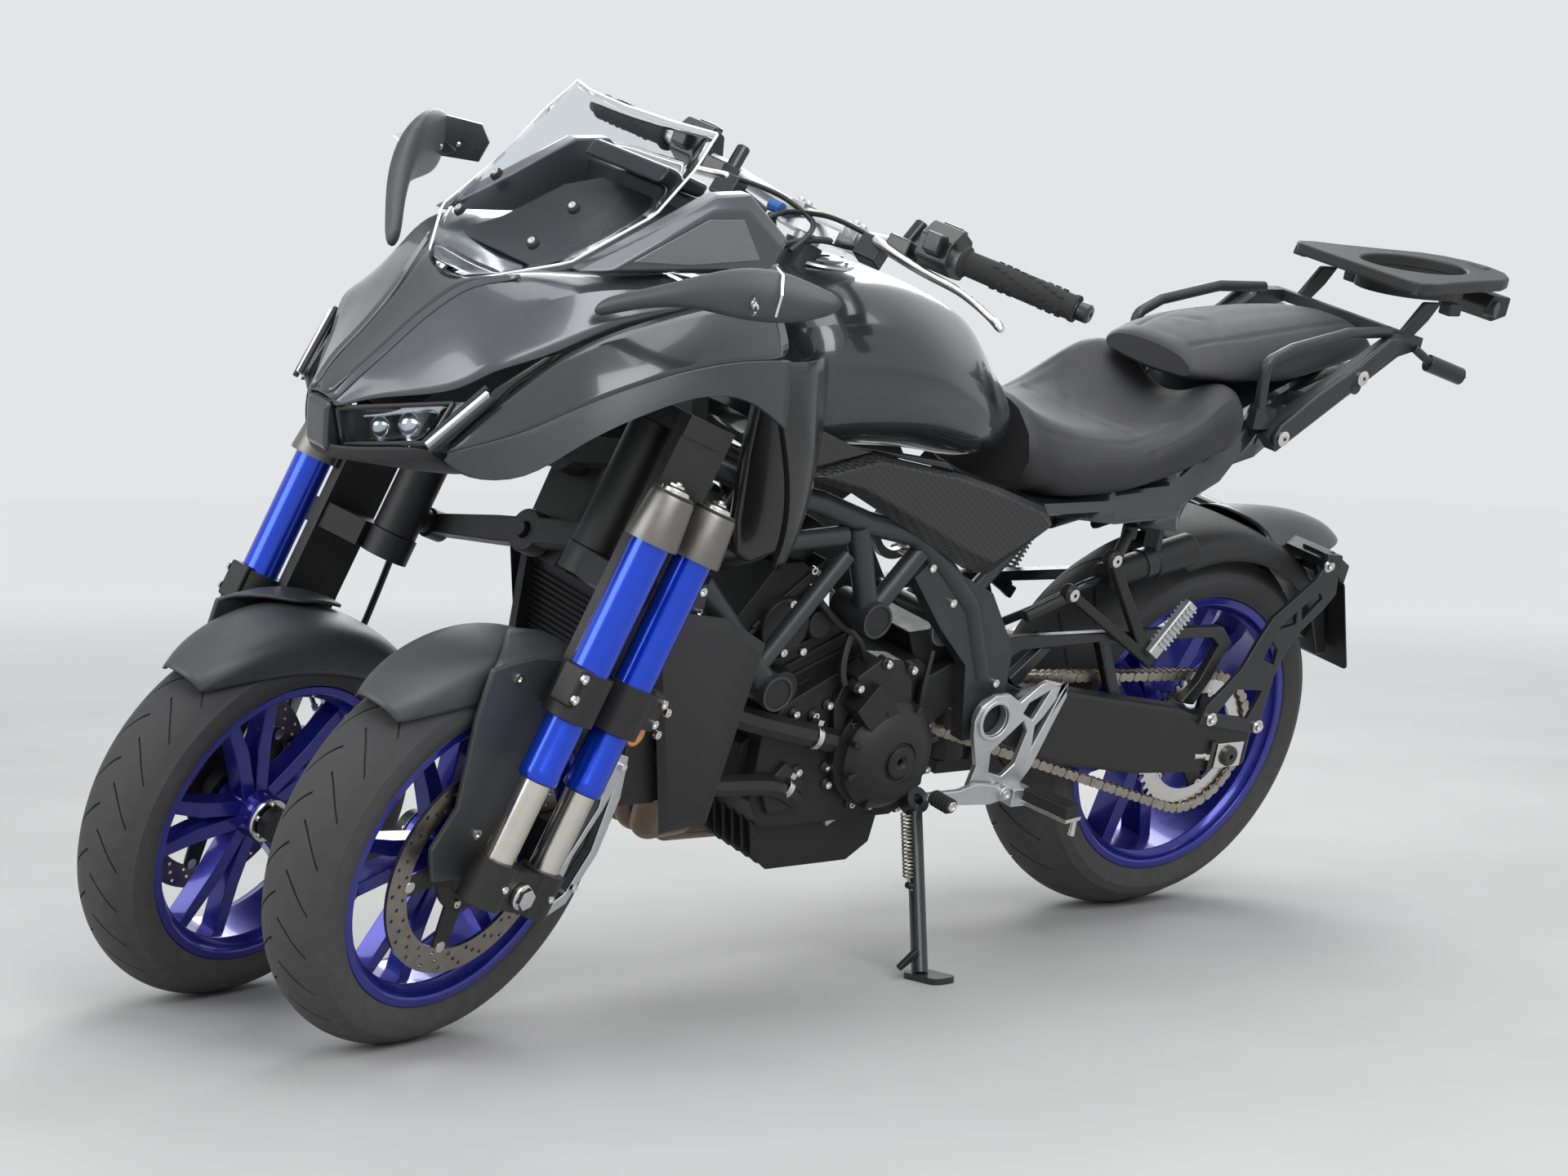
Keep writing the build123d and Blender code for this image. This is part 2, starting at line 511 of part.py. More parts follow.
DRIVE_AXLE = (560, 420)
with BuildPart() as drive_chain:
    drop = DRIVE_AXLE[1] - REAR_R
    span = sqrt(DRIVE_AXLE[0] ** 2 + drop**2)
    tilt = degrees(atan2(drop, DRIVE_AXLE[0]))
    with BuildSketch(side_plane(CHAIN_Y)) as loop:
        for grow, mode in ((7, Mode.ADD), (-7, Mode.SUBTRACT)):
            with Locations(Location((0, REAR_R), tilt)):
                far, near = DRIVE_R + grow, SPROCKET_R + 4 + grow
                skew = atan2(near - far, span)
                Circle(near, mode=mode)
                with Locations((span, 0)):
                    Circle(far, mode=mode)
                Polygon((near * sin(skew), near * cos(skew)), (span + far * sin(skew), far * cos(skew)),
                        (span + far * sin(skew), -far * cos(skew)), (near * sin(skew), -near * cos(skew)),
                        align=None, mode=mode)
    extrude(loop.sketch, amount=9, both=True)
keep(drive_chain, "drive_chain")

HUGGER_R = REAR_R + 26
# Top and foot of the number plate in the side view.
PLATE_TOP, PLATE_FOOT = (-304, 572), (-368, 408)
PLATE_LEAN = (PLATE_TOP[0] - PLATE_FOOT[0]) / (PLATE_TOP[1] - PLATE_FOOT[1])
PLATE_SEAT, PLATE_SEAT_LOW = 3.6, 450
TAIL_Z = HUGGER_R + 1
TAIL_ARM_OUT = 182.5
with BuildPart() as rear_mudguard:
    with BuildSketch(cross_plane(0)) as section:
        Polygon(*fender_profile(HUGGER_R, REAR_HALF_WIDTH + 12, 50, 4), align=None)
    revolve(section.sketch.rotate(Axis.Y, -46), axis=Axis.Y, revolution_arc=64)
    for _, side in SIDES:
        plate(side_plane(side * TAIL_ARM_OUT), [(75, 60), (62, 88), (28, 116), (-36, 190), (-60, 222), (-160, 282),
                                                (-212, 258), (-196, 226), (-112, 170), (-84, 128), (-66, 48)], 12)
        plate(side_plane(side * TAIL_ARM_OUT), [(34, 76), (-2, 112), (-62, 104), (-38, 64)], 12, Mode.SUBTRACT)
        plate(side_plane(side * 140), [(-160, 282), (-212, 258), (-240, 262), (-222, 292)], 97)
    plate(side_plane(0), [(-HUGGER_R * 0.46, TAIL_Z - 40), (-120, TAIL_Z - 16), (-145, TAIL_Z), (-216, TAIL_Z - 2),
                          (-272, TAIL_Z - 12), (-262, 262), (-240, 255), (-212, 278)], 150)
    plate(side_plane(0), [(-262, TAIL_Z - 10), (-328, TAIL_Z - 26), (-338, TAIL_Z - 38), (-300, 300), (-262, 290)], 96)
    seat_foot = PLATE_FOOT[0] + (PLATE_SEAT_LOW - PLATE_FOOT[1]) * PLATE_LEAN + PLATE_SEAT
    plate(side_plane(0), [(-256, 300), (-290, 302), (PLATE_TOP[0] + PLATE_SEAT, PLATE_TOP[1] - REAR_R),
                          (seat_foot, PLATE_SEAT_LOW - REAR_R), (seat_foot + 30, PLATE_SEAT_LOW - REAR_R),
                          (-262, 262)], 110)
keep(rear_mudguard, "rear_mudguard", REAR_PLACE)

with BuildPart() as number_plate:
    plate(Plane(origin=((PLATE_TOP[0] + PLATE_FOOT[0]) / 2, 0, (PLATE_TOP[1] + PLATE_FOOT[1]) / 2),
                x_dir=(0, 1, 0), z_dir=(PLATE_FOOT[1] - PLATE_TOP[1], 0, PLATE_TOP[0] - PLATE_FOOT[0])),
          [(-92, -84), (92, -84), (92, 84), (-92, 84)], 6)
keep(number_plate, "number_plate")

# ---------------------------------------------------------------- seats and tail
with BuildPart() as tail_cowl:
    ruled([cross_plane(x) for x in (470, 330, 200, 125, 30, -200, -262)],
          [both_halves([(60, 738), (134, 736), (144, 722), (60, 700)]),
           both_halves([(60, 752), (138, 754), (150, 706), (60, 695)]),
           both_halves([(60, 778), (130, 780), (156, 692), (60, 690)]),
           both_halves([(60, 804), (118, 806), (152, 770), (60, 740)]),
           both_halves([(60, 895), (118, 895), (126, 800), (60, 790)]),
           both_halves([(50, 930), (86, 938), (92, 905), (50, 890)]),
           both_halves([(30, 945), (66, 948), (68, 925), (30, 918)])])
keep(tail_cowl, "tail_cowl")

with BuildPart() as rider_seat:
    ruled([cross_plane(x) for x in (510, 440, 330, 220, 140, 118)],
          [both_halves([(0, 876), (76, 866), (120, 822), (126, 772), (110, 760)]),
           both_halves([(0, 850), (100, 842), (144, 800), (150, 750), (130, 746)]),
           both_halves([(0, 830), (120, 834), (168, 812), (172, 770), (140, 760)]),
           both_halves([(0, 840), (120, 862), (176, 872), (180, 800), (140, 790)]),
           both_halves([(0, 870), (110, 915), (165, 905), (172, 825), (130, 818)]),
           both_halves([(0, 880), (100, 912), (150, 900), (156, 835), (120, 828)])])
keep(rider_seat, "rider_seat")

with BuildPart() as passenger_seat:
    ruled([cross_plane(x) for x in (178, 110, 0, -150, -232, -250)],
          [both_halves([(0, 950), (50, 945), (86, 935), (92, 920), (80, 918)]),
           both_halves([(0, 970), (70, 966), (118, 940), (122, 920), (100, 918)]),
           both_halves([(0, 990), (70, 985), (124, 950), (128, 922), (100, 916)]),
           both_halves([(0, 1002), (66, 998), (106, 968), (108, 946), (90, 942)]),
           both_halves([(0, 996), (54, 990), (84, 972), (86, 954), (70, 952)]),
           both_halves([(0, 984), (40, 980), (70, 970), (74, 958), (60, 956)])])
keep(passenger_seat, "passenger_seat")

with BuildPart() as subframe:
    for _, side in SIDES:
        ruled([side_plane(side * 158), side_plane(side * 134)],
              [[(20, 818), (-215, 972), (-266, 985), (-266, 1003), (-205, 1002), (25, 866), (48, 842)]] * 2)
        block((-60, -30), (side * 112.5, side * 136), (880, 902))
        pipe([(60, side * 142, 880), (70, side * 142, 955), (20, side * 144, 978), (-105, side * 142, 1004),
              (-206, side * 136, 1006)], 9, 20)
        block((30, 75), (side * 134, side * 150), (852, 884))
        rod((-120, side * 138, 925), (-120, side * 168, 925), 12)
    block((-266, -252), (-150, 150), (985, 1003))
keep(subframe, "subframe")

RACK_TOP = 1066
with BuildPart() as luggage_rack:
    with BuildSketch(Plane.XY.offset(RACK_TOP - 20)) as outline:
        Polygon((-255, 118), (-285, 138), (-340, 132), (-480, 104), (-560, 96), (-622, 60), (-632, 0), (-622, -60),
                (-560, -96), (-480, -104), (-340, -132), (-285, -138), (-255, -118), (-248, 0), align=None)
        with Locations((-405, 0)):
            Ellipse(112, 66, mode=Mode.SUBTRACT)
    extrude(outline.sketch, amount=20)
    block((-632, -575), (-62, 62), (1008, RACK_TOP - 5))
    block((-618, -588), (-22, 22), (RACK_TOP - 2, RACK_TOP + 26))
    for _, side in SIDES:
        block((-292, -262), (side * 104, side * 132), (RACK_TOP - 2, RACK_TOP + 12))
        plate(side_plane(side * 112), [(-266, 985), (-266, 1003), (-306, 1048), (-345, 1048), (-322, 1020), (-284, 985)], 10)
        block((-400, -370), (side * 92, side * 116), (RACK_TOP - 38, RACK_TOP - 18))
keep(luggage_rack, "luggage_rack")

with BuildPart() as rear_lights:
    block((-272, -262.3), (-58, 58), (922, 944))
    for _, side in SIDES:
        rod((-242, side * 164.6, 988), (-276, side * 180, 966), 7)
        rod((-268, side * 176, 968), (-330, side * 198, 952), 14)
keep(rear_lights, "rear_lights")

# ---------------------------------------------------------------- tank
with BuildPart() as fuel_tank:
    ruled([cross_plane(x) for x in (1012, 880, 760, 640, 560, 510.4)],
          [both_halves([(0, 1030), (110, 1022), (176, 985), (184, 900), (150, 806)]),
           both_halves([(0, 1056), (104, 1048), (182, 1000), (198, 920), (148, 806)]),
           both_halves([(0, 1046), (96, 1038), (176, 985), (198, 925), (146, 800)]),
           both_halves([(0, 1005), (82, 995), (150, 945), (172, 880), (140, 785)]),
           both_halves([(0, 925), (70, 912), (112, 880), (124, 840), (100, 790)]),
           both_halves([(0, 893), (40, 890), (70, 880), (84, 866), (60, 800)])])
    block((860, 1020), (-52, 52), (980, 1070), mode=Mode.SUBTRACT)
keep(fuel_tank, "fuel_tank")

with BuildPart() as tank_side_covers:
    for _, side in SIDES:
        ruled([side_plane(side * 167.3), side_plane(side * 190)],
              [[(985, 800), (880, 770), (640, 650), (590, 640), (478, 715), (500, 742), (700, 800), (860, 830)],
               [(950, 800), (870, 785), (660, 690), (600, 668), (500, 718), (520, 738), (700, 795), (850, 822)]])
keep(tank_side_covers, "tank_side_covers")

# ---------------------------------------------------------------- fairing
# Stations of the side panel, from the nose back: the upper edge, the crease and the lower edge.
WING = {
    1553: [(168, 840), (172, 836), (170, 830)],
    1530: [(178, 876), (198, 853), (188, 808)],
    1480: [(200, 932), (230, 880), (244, 822)],
    1440: [(212, 972), (264, 920), (286, 885)],
    1380: [(228, 1010), (286, 954), (304, 922)],
    1290: [(240, 1040), (294, 982), (309, 955)],
    1200: [(236, 1058), (290, 992), (300, 950)],
    1120: [(220, 1058), (272, 985), (286, 900)],
}
WING_BACK = {
    985: [(1145, 273), (1060, 262), (1008, 216)],
    900: [(1124, 286), (1060, 278), (1008, 230)],
    830: [(1092, 284), (1040, 274), (1000, 226)],
    750: [(1068, 270), (1030, 256), (1000, 215)],
    690: [(1052, 236), (1030, 232), (1012, 205)],
}
with BuildPart() as side_fairings:
    stations = list(WING.items())
    ruled([cross_plane(x) for x, _ in stations], [lens(points, SKIN + 2) for _, points in stations])
    heights = list(WING_BACK.items())
    ruled([Plane.XY.offset(z) for z, _ in heights],
          [points + [(x - 4, y - SKIN - 2) for x, y in reversed(points)] for _, points in heights])
    mirror(about=Plane.XZ)
keep(side_fairings, "side_fairings")

# The hood of the nose: a bent roof, open below, from the tip back to the screen.
HOOD = {
    1634: [(0, 866), (26, 862), (30, 859.4), (33, 855)],
    1607: [(0, 898), (36, 902), (48, 889), (60, 875)],
    1577: [(0, 925), (38, 929), (68, 912), (98, 890)],
    1536: [(0, 970), (43, 975), (98, 948), (150, 910)],
    1514: [(0, 993), (52, 997), (116, 972), (178, 945)],
    1486: [(0, 1022), (66, 1028), (128, 1000), (188, 956)],
    1440: [(0, 1034), (108, 1046), (160, 1030), (204.6, 976)],
    1380: [(0, 1044), (140, 1060), (198, 1058), (220.6, 1012)],
    1290: [(0, 1052), (150, 1064), (212, 1060), (232.6, 1040)],
    1240: [(0, 1056), (150, 1066), (214, 1064), (230.4, 1050)],
}


with BuildPart() as nose_fairing:
    stations = list(HOOD.items())
    ruled([cross_plane(x) for x, _ in stations],
          [points + [(y, z - SKIN) for y, z in reversed(points)] for _, points in stations])
    ruled([side_plane(0), side_plane(36), side_plane(152)],
          [[(1632, 805.6), (1630, 786), (1450, 775), (1450, 790), (1562, 805.6)],
           [(1628, 805.6), (1626, 786), (1450, 775), (1450, 790), (1562, 805.6)],
           [(1550, 841), (1546, 826), (1450, 800), (1450, 812), (1520, 841)]])
    mirror(about=Plane.XZ)
keep(nose_fairing, "nose_fairing")

with BuildPart() as headlights:
    for _, side in SIDES:
        ruled([side_plane(side * 30), side_plane(side * 150)],
              [[(1612, 806), (1628, 855), (1560, 855), (1560, 806)], [(1566, 842), (1538, 898), (1500, 898), (1500, 842)]])
keep(headlights, "headlights")

SCREEN = {
    1042: [(1468, 0), (1464, 40), (1454, 70)],
    1076: [(1434, 0), (1424, 80), (1400, 148)],
    1146: [(1350, 0), (1336, 95), (1298, 170)],
    1246: [(1252, 0), (1242, 90), (1216, 160)],
}
with BuildPart() as windscreen:
    levels = list(SCREEN.items())
    faces = []
    for z, half in levels:
        front = [(x, -y) for x, y in reversed(half) if y > 0] + half
        with BuildSketch(Plane.XY.offset(z)) as face:
            Polygon(*front, *[(x - 6, y) for x, y in reversed(front)], align=None)
        faces.append(face.sketch)
    loft(sections=faces, ruled=True)
keep(windscreen, "windscreen")

with BuildPart() as screen_surround:
    for _, side in SIDES:
        ruled([side_plane(side * 150), side_plane(side * 182)],
              [[(1395, 1068), (1205, 1172), (1150, 1176), (1075, 1120), (1090, 1072), (1240, 1070)],
               [(1360, 1072), (1215, 1150), (1150, 1155), (1090, 1112), (1100, 1080), (1240, 1074)]])
        block((1296, 1346), (side * 150, side * 157), (1098, 1109))
    block((1120, 1180), (-151, 151), (1100, 1160))
    plate(side_plane(0), [(1440, 1056), (1180, 1170), (1150, 1150), (1240, 1068), (1400, 1048.9)], 120)
keep(screen_surround, "screen_surround")

with BuildPart() as mirrors:
    for _, side in SIDES:
        rod((1390.7, side * 205.7, 1030.2), (1404, side * 223.9, 1040.2), 12)
        pipe([(1400, side * 219, 1037), (1372, side * 262, 1054), (1296, side * 340, 1084)], 10, 30)
    ruled([side_plane(318), side_plane(380), side_plane(440)],
          [[(1318, 1084), (1268, 1110), (1258, 1080), (1290, 1066)],
           [(1296, 1104), (1230, 1156), (1208, 1066), (1256, 1058)],
           [(1232, 1112), (1200, 1136), (1186, 1088), (1210, 1080)]])
    ruled([side_plane(-300), side_plane(-360), side_plane(-420)],
          [[(1360, 1078), (1352, 1150), (1300, 1168), (1282, 1072)],
           [(1334, 1080), (1326, 1166), (1256, 1182), (1228, 1072)],
           [(1272, 1092), (1264, 1142), (1232, 1150), (1216, 1090)]])
keep(mirrors, "mirrors")

# ---------------------------------------------------------------- footrests
PEG_ROOT = (463, 304)
TOE_R = 6
with BuildPart() as rider_peg_brackets:
    for _, side in SIDES:
        plane = side_plane(side * 186)
        plate(plane, [(572, 408), (556, 440), (528, 448), (404, 474), (390, 456), (420, 330), (452, 288), (545, 300),
                      (562, 322), (545, 350)], 10)
        plate(plane, [(500, 428), (422, 456), (440, 400)], 10.2, mode=Mode.SUBTRACT)
        plate(plane, [(506, 384), (450, 380), (466, 322), (520, 330)], 10.2, mode=Mode.SUBTRACT)
        rod((536, side * 174, 412), (536, side * 196, 412), 34)
        rod((PEG_ROOT[0], side * 190, PEG_ROOT[1]), (PEG_ROOT[0], side * 208.4, PEG_ROOT[1]), 14)
        plate(side_plane(side * 196), [(508, 328), (500, 312), (590, 296), (594, 306)], 10)
        rod((590, side * 190, 302), (590, side * 240, 306), TOE_R)
keep(rider_peg_brackets, "rider_peg_brackets")

with BuildPart() as rider_pegs:
    for _, side in SIDES:
        with Locations(Location((PEG_ROOT[0] - 14, side * 253, PEG_ROOT[1] + 6), (0, 0, side * 10))):
            Box(34, 84, 18)
        rod((590, side * 205, 303.2), (590, side * 240, 306), 11)
        rod((590, side * 190, 302), (590, side * 240, 306), TOE_R + GAP, mode=Mode.SUBTRACT)
keep(rider_pegs, "rider_pegs")

PASSENGER_ROOT = (214, 168, 502)
PASSENGER_TIP = (160, 178, 586)
with BuildPart() as passenger_brackets:
    for _, side in SIDES:
        plate(side_plane(side * 160), [(326, 660), (308, 642), (236, 530), (196, 492), (204, 480), (232, 488), (250, 510),
                                       (400, 592), (404, 612), (384, 612), (262, 545), (334, 640)], 14)
        rod((322, side * 158, 648), (262, side * 120, 684), 9)
        rod((262, side * 120, 672), (262, side * 120, 694), 12)
        rod((392, side * 158, 602), (478, side * 152, 567), 9)
keep(passenger_brackets, "passenger_brackets")

for name, side in SIDES:
    with BuildPart() as passenger_peg:
        root = Vector(PASSENGER_ROOT[0], side * (PASSENGER_ROOT[1] + 6), PASSENGER_ROOT[2])
        tip = Vector(PASSENGER_TIP[0], side * (PASSENGER_TIP[1] + 6), PASSENGER_TIP[2])
        with BuildSketch(Plane(origin=root, x_dir=(0, side, 0), z_dir=tip - root)) as face:
            RectangleRounded(14, 24, 4)
        extrude(face.sketch, amount=(tip - root).length)
    keep(passenger_peg, f"{name}_passenger_peg")

# ---------------------------------------------------------------- handlebar
BAR_R = 11
BAR_ROUTE = [(-8, -434, 57), (33, -276, 53), (-6, -150, 43), (-30, -60, 32), (-30, 60, 32), (-6, 150, 43),
             (33, 276, 53), (-8, 434, 57)]
with BuildPart() as handlebar:
    rod((0, 0, -70), (0, 0, 24), 19)
    block((-52, 26), (-62, 62), (6, 24))
    for _, side in SIDES:
        block((-46, -14), (side * 38, side * 62), (10, 46))
    pipe(BAR_ROUTE, BAR_R, 30)
keep(handlebar, "handlebar", BAR_FRAME)

with BuildPart() as handlebar_controls:
    for _, side in SIDES:
        start, end = Vector(24, side * 312, 54), Vector(-9, side * 438, 57)
        with BuildSketch(Plane(origin=start, z_dir=end - start)) as ring:
            Circle(16.5)
        extrude(ring.sketch, amount=(end - start).length)
        with Locations(Location((30, side * 262, 56), (0, 0, side * 14))):
            Box(44, 52, 46)
        pipe([(56, side * 236, 58), (86, side * 300, 50), (84, side * 400, 44), (66, side * 436, 42)], 6, 25)
        block((46, 66), (side * 226, side * 246), (48, 68))
        block((40, 66), (side * 236, side * 262), (50, 66))
    pipe(BAR_ROUTE, BAR_R + 0.4, 30, mode=Mode.SUBTRACT)
keep(handlebar_controls, "handlebar_controls", BAR_FRAME)

# ---------------------------------------------------------------- side stand
with BuildPart() as side_stand:
    rod(STAND_PIVOT, STAND_FOOT, 12)
    rod(STAND_PIVOT - STAND_AXIS * 11, STAND_PIVOT + STAND_AXIS * 11, 20)
    rod(STAND_PIVOT - STAND_AXIS * 12, STAND_PIVOT + STAND_AXIS * 12, STAND_PIN_R + GAP, mode=Mode.SUBTRACT)
    with BuildSketch(GROUND) as foot:
        with Locations((STAND_FOOT.X - 4, 305)):
            RectangleRounded(44, 76, 14)
    extrude(foot.sketch, amount=9)
keep(side_stand, "side_stand")


def in_metres(place, point):
    """A point of one of the machine's frames, in metres in the parked machine's."""
    spot = (place * Location(point)).position / 1000
    return [round(spot.X, 5), round(spot.Y, 5), round(spot.Z, 5)]


def show_joint(name, place, point, axis):
    """Print a joint's place and axis, for whoever describes the machine's motion."""
    spot = (place * Location(point)).position
    ahead = (place * Location(Vector(*point) + Vector(*axis))).position
    line = ahead - spot
    print("joint", name, in_metres(place, point), [round(v, 6) for v in (line.X, line.Y, line.Z)])


show_joint("rear_wheel", REAR_PLACE, (0, 0, 0), (0, 1, 0))
show_joint("steering", BAR_FRAME, (0, 0, 0), (0, 0, 1))
show_joint("side_stand", BODY, STAND_PIVOT, STAND_AXIS)
for name, height in zip(("lower_arm", "upper_arm"), ARM_PIVOTS):
    show_joint(name, arm_frame(height), (ARM_NEAR, 0, 0), (1, 0, 0))
for name, side in SIDES:
    show_joint(f"{name}_knuckle", knuckle_frame(side), (ARM_NEAR, 0, ARM_PIVOTS[1]), (1, 0, 0))
    show_joint(f"{name}_fork", corner_frame(side), (0, 0, KNUCKLE[0]), (0, 0, 1))
    show_joint(f"{name}_front_wheel", corner_frame(side), (OFFSET, 0, 0), (0, 1, 0))
    root = Vector(PASSENGER_ROOT[0], side * PASSENGER_ROOT[1], PASSENGER_ROOT[2])
    up = Vector(PASSENGER_TIP[0], side * PASSENGER_TIP[1], PASSENGER_TIP[2]) - root
    show_joint(f"{name}_passenger_peg", BODY, root, up.cross(Vector(0, side, 0)).normalized())
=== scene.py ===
import json
from math import atan, atan2, cos, degrees, pi, radians, sin, sqrt, tan

import bmesh
import bpy
from mathutils import Matrix, Vector


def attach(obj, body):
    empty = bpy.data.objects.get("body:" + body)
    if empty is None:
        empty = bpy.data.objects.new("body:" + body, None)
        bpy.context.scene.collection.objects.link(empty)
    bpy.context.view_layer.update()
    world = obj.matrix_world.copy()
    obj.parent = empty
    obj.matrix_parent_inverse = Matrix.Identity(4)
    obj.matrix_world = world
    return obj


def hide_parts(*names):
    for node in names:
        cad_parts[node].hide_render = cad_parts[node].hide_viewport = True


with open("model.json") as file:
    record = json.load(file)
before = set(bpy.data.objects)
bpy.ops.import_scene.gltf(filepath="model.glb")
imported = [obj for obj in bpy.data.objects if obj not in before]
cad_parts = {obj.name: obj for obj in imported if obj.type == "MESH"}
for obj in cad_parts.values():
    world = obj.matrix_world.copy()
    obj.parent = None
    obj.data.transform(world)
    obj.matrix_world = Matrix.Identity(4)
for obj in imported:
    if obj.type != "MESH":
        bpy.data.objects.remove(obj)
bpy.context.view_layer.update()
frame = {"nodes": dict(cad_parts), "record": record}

bl_info = {
    "name": "Leaning trike",
    "version": (1, 0, 0),
    "blender": (4, 5, 0),
    "location": "3D View > Sidebar > Trike",
    "description": "Dresses the packed leaning trike: tyres, wheels, forks, panels, engine and fittings",
    "category": "Object",
}

# ------------------------------------------------------------------ the machine's sizes, in mm
WHEELBASE, TRACK, CASTER, TRAIL = 1510, 410, 20, 74
LEAN, STEER = 15.4, 13.5
MIDDLE = (583.2, 189.2)
FRONT_R, FRONT_HALF, FRONT_CROWN, FRONT_RIM = 274.5, 60, 62, 203
REAR_R, REAR_HALF, REAR_CROWN, REAR_RIM = 320, 95, 98, 231
LEG_OUT, LEG_X, LEG_R, SLIDER_R = 125, (72, -28), 26, 20.5
DISC_Y = 61
ARM_PIVOTS = (455, 575)
ARM_NEAR, ARM_FAR = -42, -72
ARM_IN, ARM_OUT = 131, 176
GENERATOR, DRIVE_AXLE = (700, 368), (560, 420)
CHAIN_Y, CHAIN_PITCH, REAR_TEETH, FRONT_TEETH = 110, 15.875, 45, 16
SIDES = (("left", 1), ("right", -1))


def shift(x, y, z):
    return Matrix.Translation((x, y, z))


def turn(angle, axis):
    return Matrix.Rotation(radians(angle), 4, axis)


SIN_L, COS_L = sin(radians(LEAN)), cos(radians(LEAN))
SIN_C, COS_C = sin(radians(CASTER)), cos(radians(CASTER))
OFFSET = FRONT_R * SIN_C - TRAIL * COS_C
ARM_ANGLE = degrees(atan(tan(radians(LEAN)) / COS_C))
AXLE_TILT = -SIN_L * cos(radians(STEER)) - COS_L * sin(radians(STEER)) * SIN_C
CORE_DROP = (FRONT_R - FRONT_CROWN) * sqrt(1 - AXLE_TILT**2)
WHEEL_Z = (
    (FRONT_CROWN + CORE_DROP - REAR_CROWN * (1 - COS_L) + SIN_L * OFFSET * sin(radians(STEER))) / COS_L
    + OFFSET * SIN_C * (1 - cos(radians(STEER)))
)
AXIS_FOOT = (WHEELBASE - OFFSET * COS_C, 0, WHEEL_Z - OFFSET * SIN_C)

MM = Matrix.Scale(0.001, 4)
UPRIGHT = shift(-MIDDLE[0], -MIDDLE[1] - REAR_CROWN * SIN_L, REAR_CROWN * (1 - COS_L)) @ turn(-LEAN, "X")
REAR = UPRIGHT @ shift(0, 0, REAR_R)
HEAD = UPRIGHT @ shift(*AXIS_FOOT) @ turn(-CASTER, "Y")
BAR = UPRIGHT @ shift(900, 0, 1085) @ turn(-CASTER, "Y") @ turn(STEER, "Z")


def knuckle_place(side):
    return HEAD @ turn(ARM_ANGLE, "X") @ shift(0, side * TRACK / 2, 0) @ turn(-ARM_ANGLE, "X")


def corner_place(side):
    return knuckle_place(side) @ turn(STEER, "Z")


def wheel_place(side):
    return corner_place(side) @ shift(OFFSET, 0, 0)


# ------------------------------------------------------------------ shapes
def rod(bm, start, end, radius, far_radius=None, sides=24, caps=True):
    """A round bar or cone between two points."""
    start, end = Vector(start), Vector(end)
    line = end - start
    place = Matrix.Translation((start + end) / 2) @ line.to_track_quat("Z", "Y").to_matrix().to_4x4()
    made = bmesh.ops.create_cone(bm, cap_ends=caps, segments=sides, radius1=radius,
                                 radius2=radius if far_radius is None else far_radius,
                                 depth=line.length, matrix=place)
    return made["verts"]


def block(bm, x, y, z, place=Matrix()):
    """A square block between two limits each way."""
    middle = [(low + high) / 2 for low, high in (x, y, z)]
    size = [abs(high - low) for low, high in (x, y, z)]
    return bmesh.ops.create_cube(bm, size=1, matrix=place @ shift(*middle) @ Matrix.Diagonal((*size, 1)))["verts"]


def slab(bm, outline, near, far, place=Matrix()):
    """A plate with its outline in the side view, between two distances from the middle."""
    face = bm.faces.new([bm.verts.new(place @ Vector((x, near, z))) for x, z in outline])
    made = bmesh.ops.extrude_face_region(bm, geom=[face], use_keep_orig=True)["geom"]
    verts = [v for v in made if isinstance(v, bmesh.types.BMVert)]
    bmesh.ops.translate(bm, verts=verts, vec=place.to_3x3() @ Vector((0, far - near, 0)))
    return verts


def ring_loop(bm, profile, closed=True):
    """A chain of edges from a list of points."""
    verts = [bm.verts.new(p) for p in profile]
    pairs = list(zip(verts, verts[1:])) + ([(verts[-1], verts[0])] if closed else [])
    return verts, [bm.edges.new(pair) for pair in pairs]


def lathe(bm, profile, steps=96, closed=True, place=Matrix()):
    """A turned shape about the Y axis, from points given as (along the axis, radius)."""
    before = set(bm.verts)
    verts, edges = ring_loop(bm, [(0, y, r) for y, r in profile], closed)
    bmesh.ops.spin(bm, geom=verts + edges, cent=(0, 0, 0), axis=(0, 1, 0), angle=2 * pi, steps=steps, use_merge=True)
    fresh = [v for v in bm.verts if v not in before]
    bmesh.ops.transform(bm, matrix=place, verts=fresh)
    return fresh


def skin(bm, stations, closed=False, caps=False):
    """Panels drawn through rows of points, one row at each station."""
    ring, edges = ring_loop(bm, stations[0], closed)
    first = list(ring)
    for station in stations[1:]:
        made = bmesh.ops.extrude_edge_only(bm, edges=edges)["geom"]
        fresh = {v for v in made if isinstance(v, bmesh.types.BMVert)}
        ring = [next(e.other_vert(v) for e in v.link_edges if e.other_vert(v) in fresh) for v in ring]
        for vert, point in zip(ring, station):
            vert.co = point
        pairs = list(zip(ring, ring[1:])) + ([(ring[-1], ring[0])] if closed else [])
        edges = [bm.edges.get(pair) for pair in pairs]
    if caps:
        bm.faces.new(first)
        bm.faces.new(ring)
    return ring


def both_halves(half):
    """A full section from its left half, which starts on the middle line."""
    return [(x, -y, z) for x, y, z in reversed(half) if y > 0] + list(half)


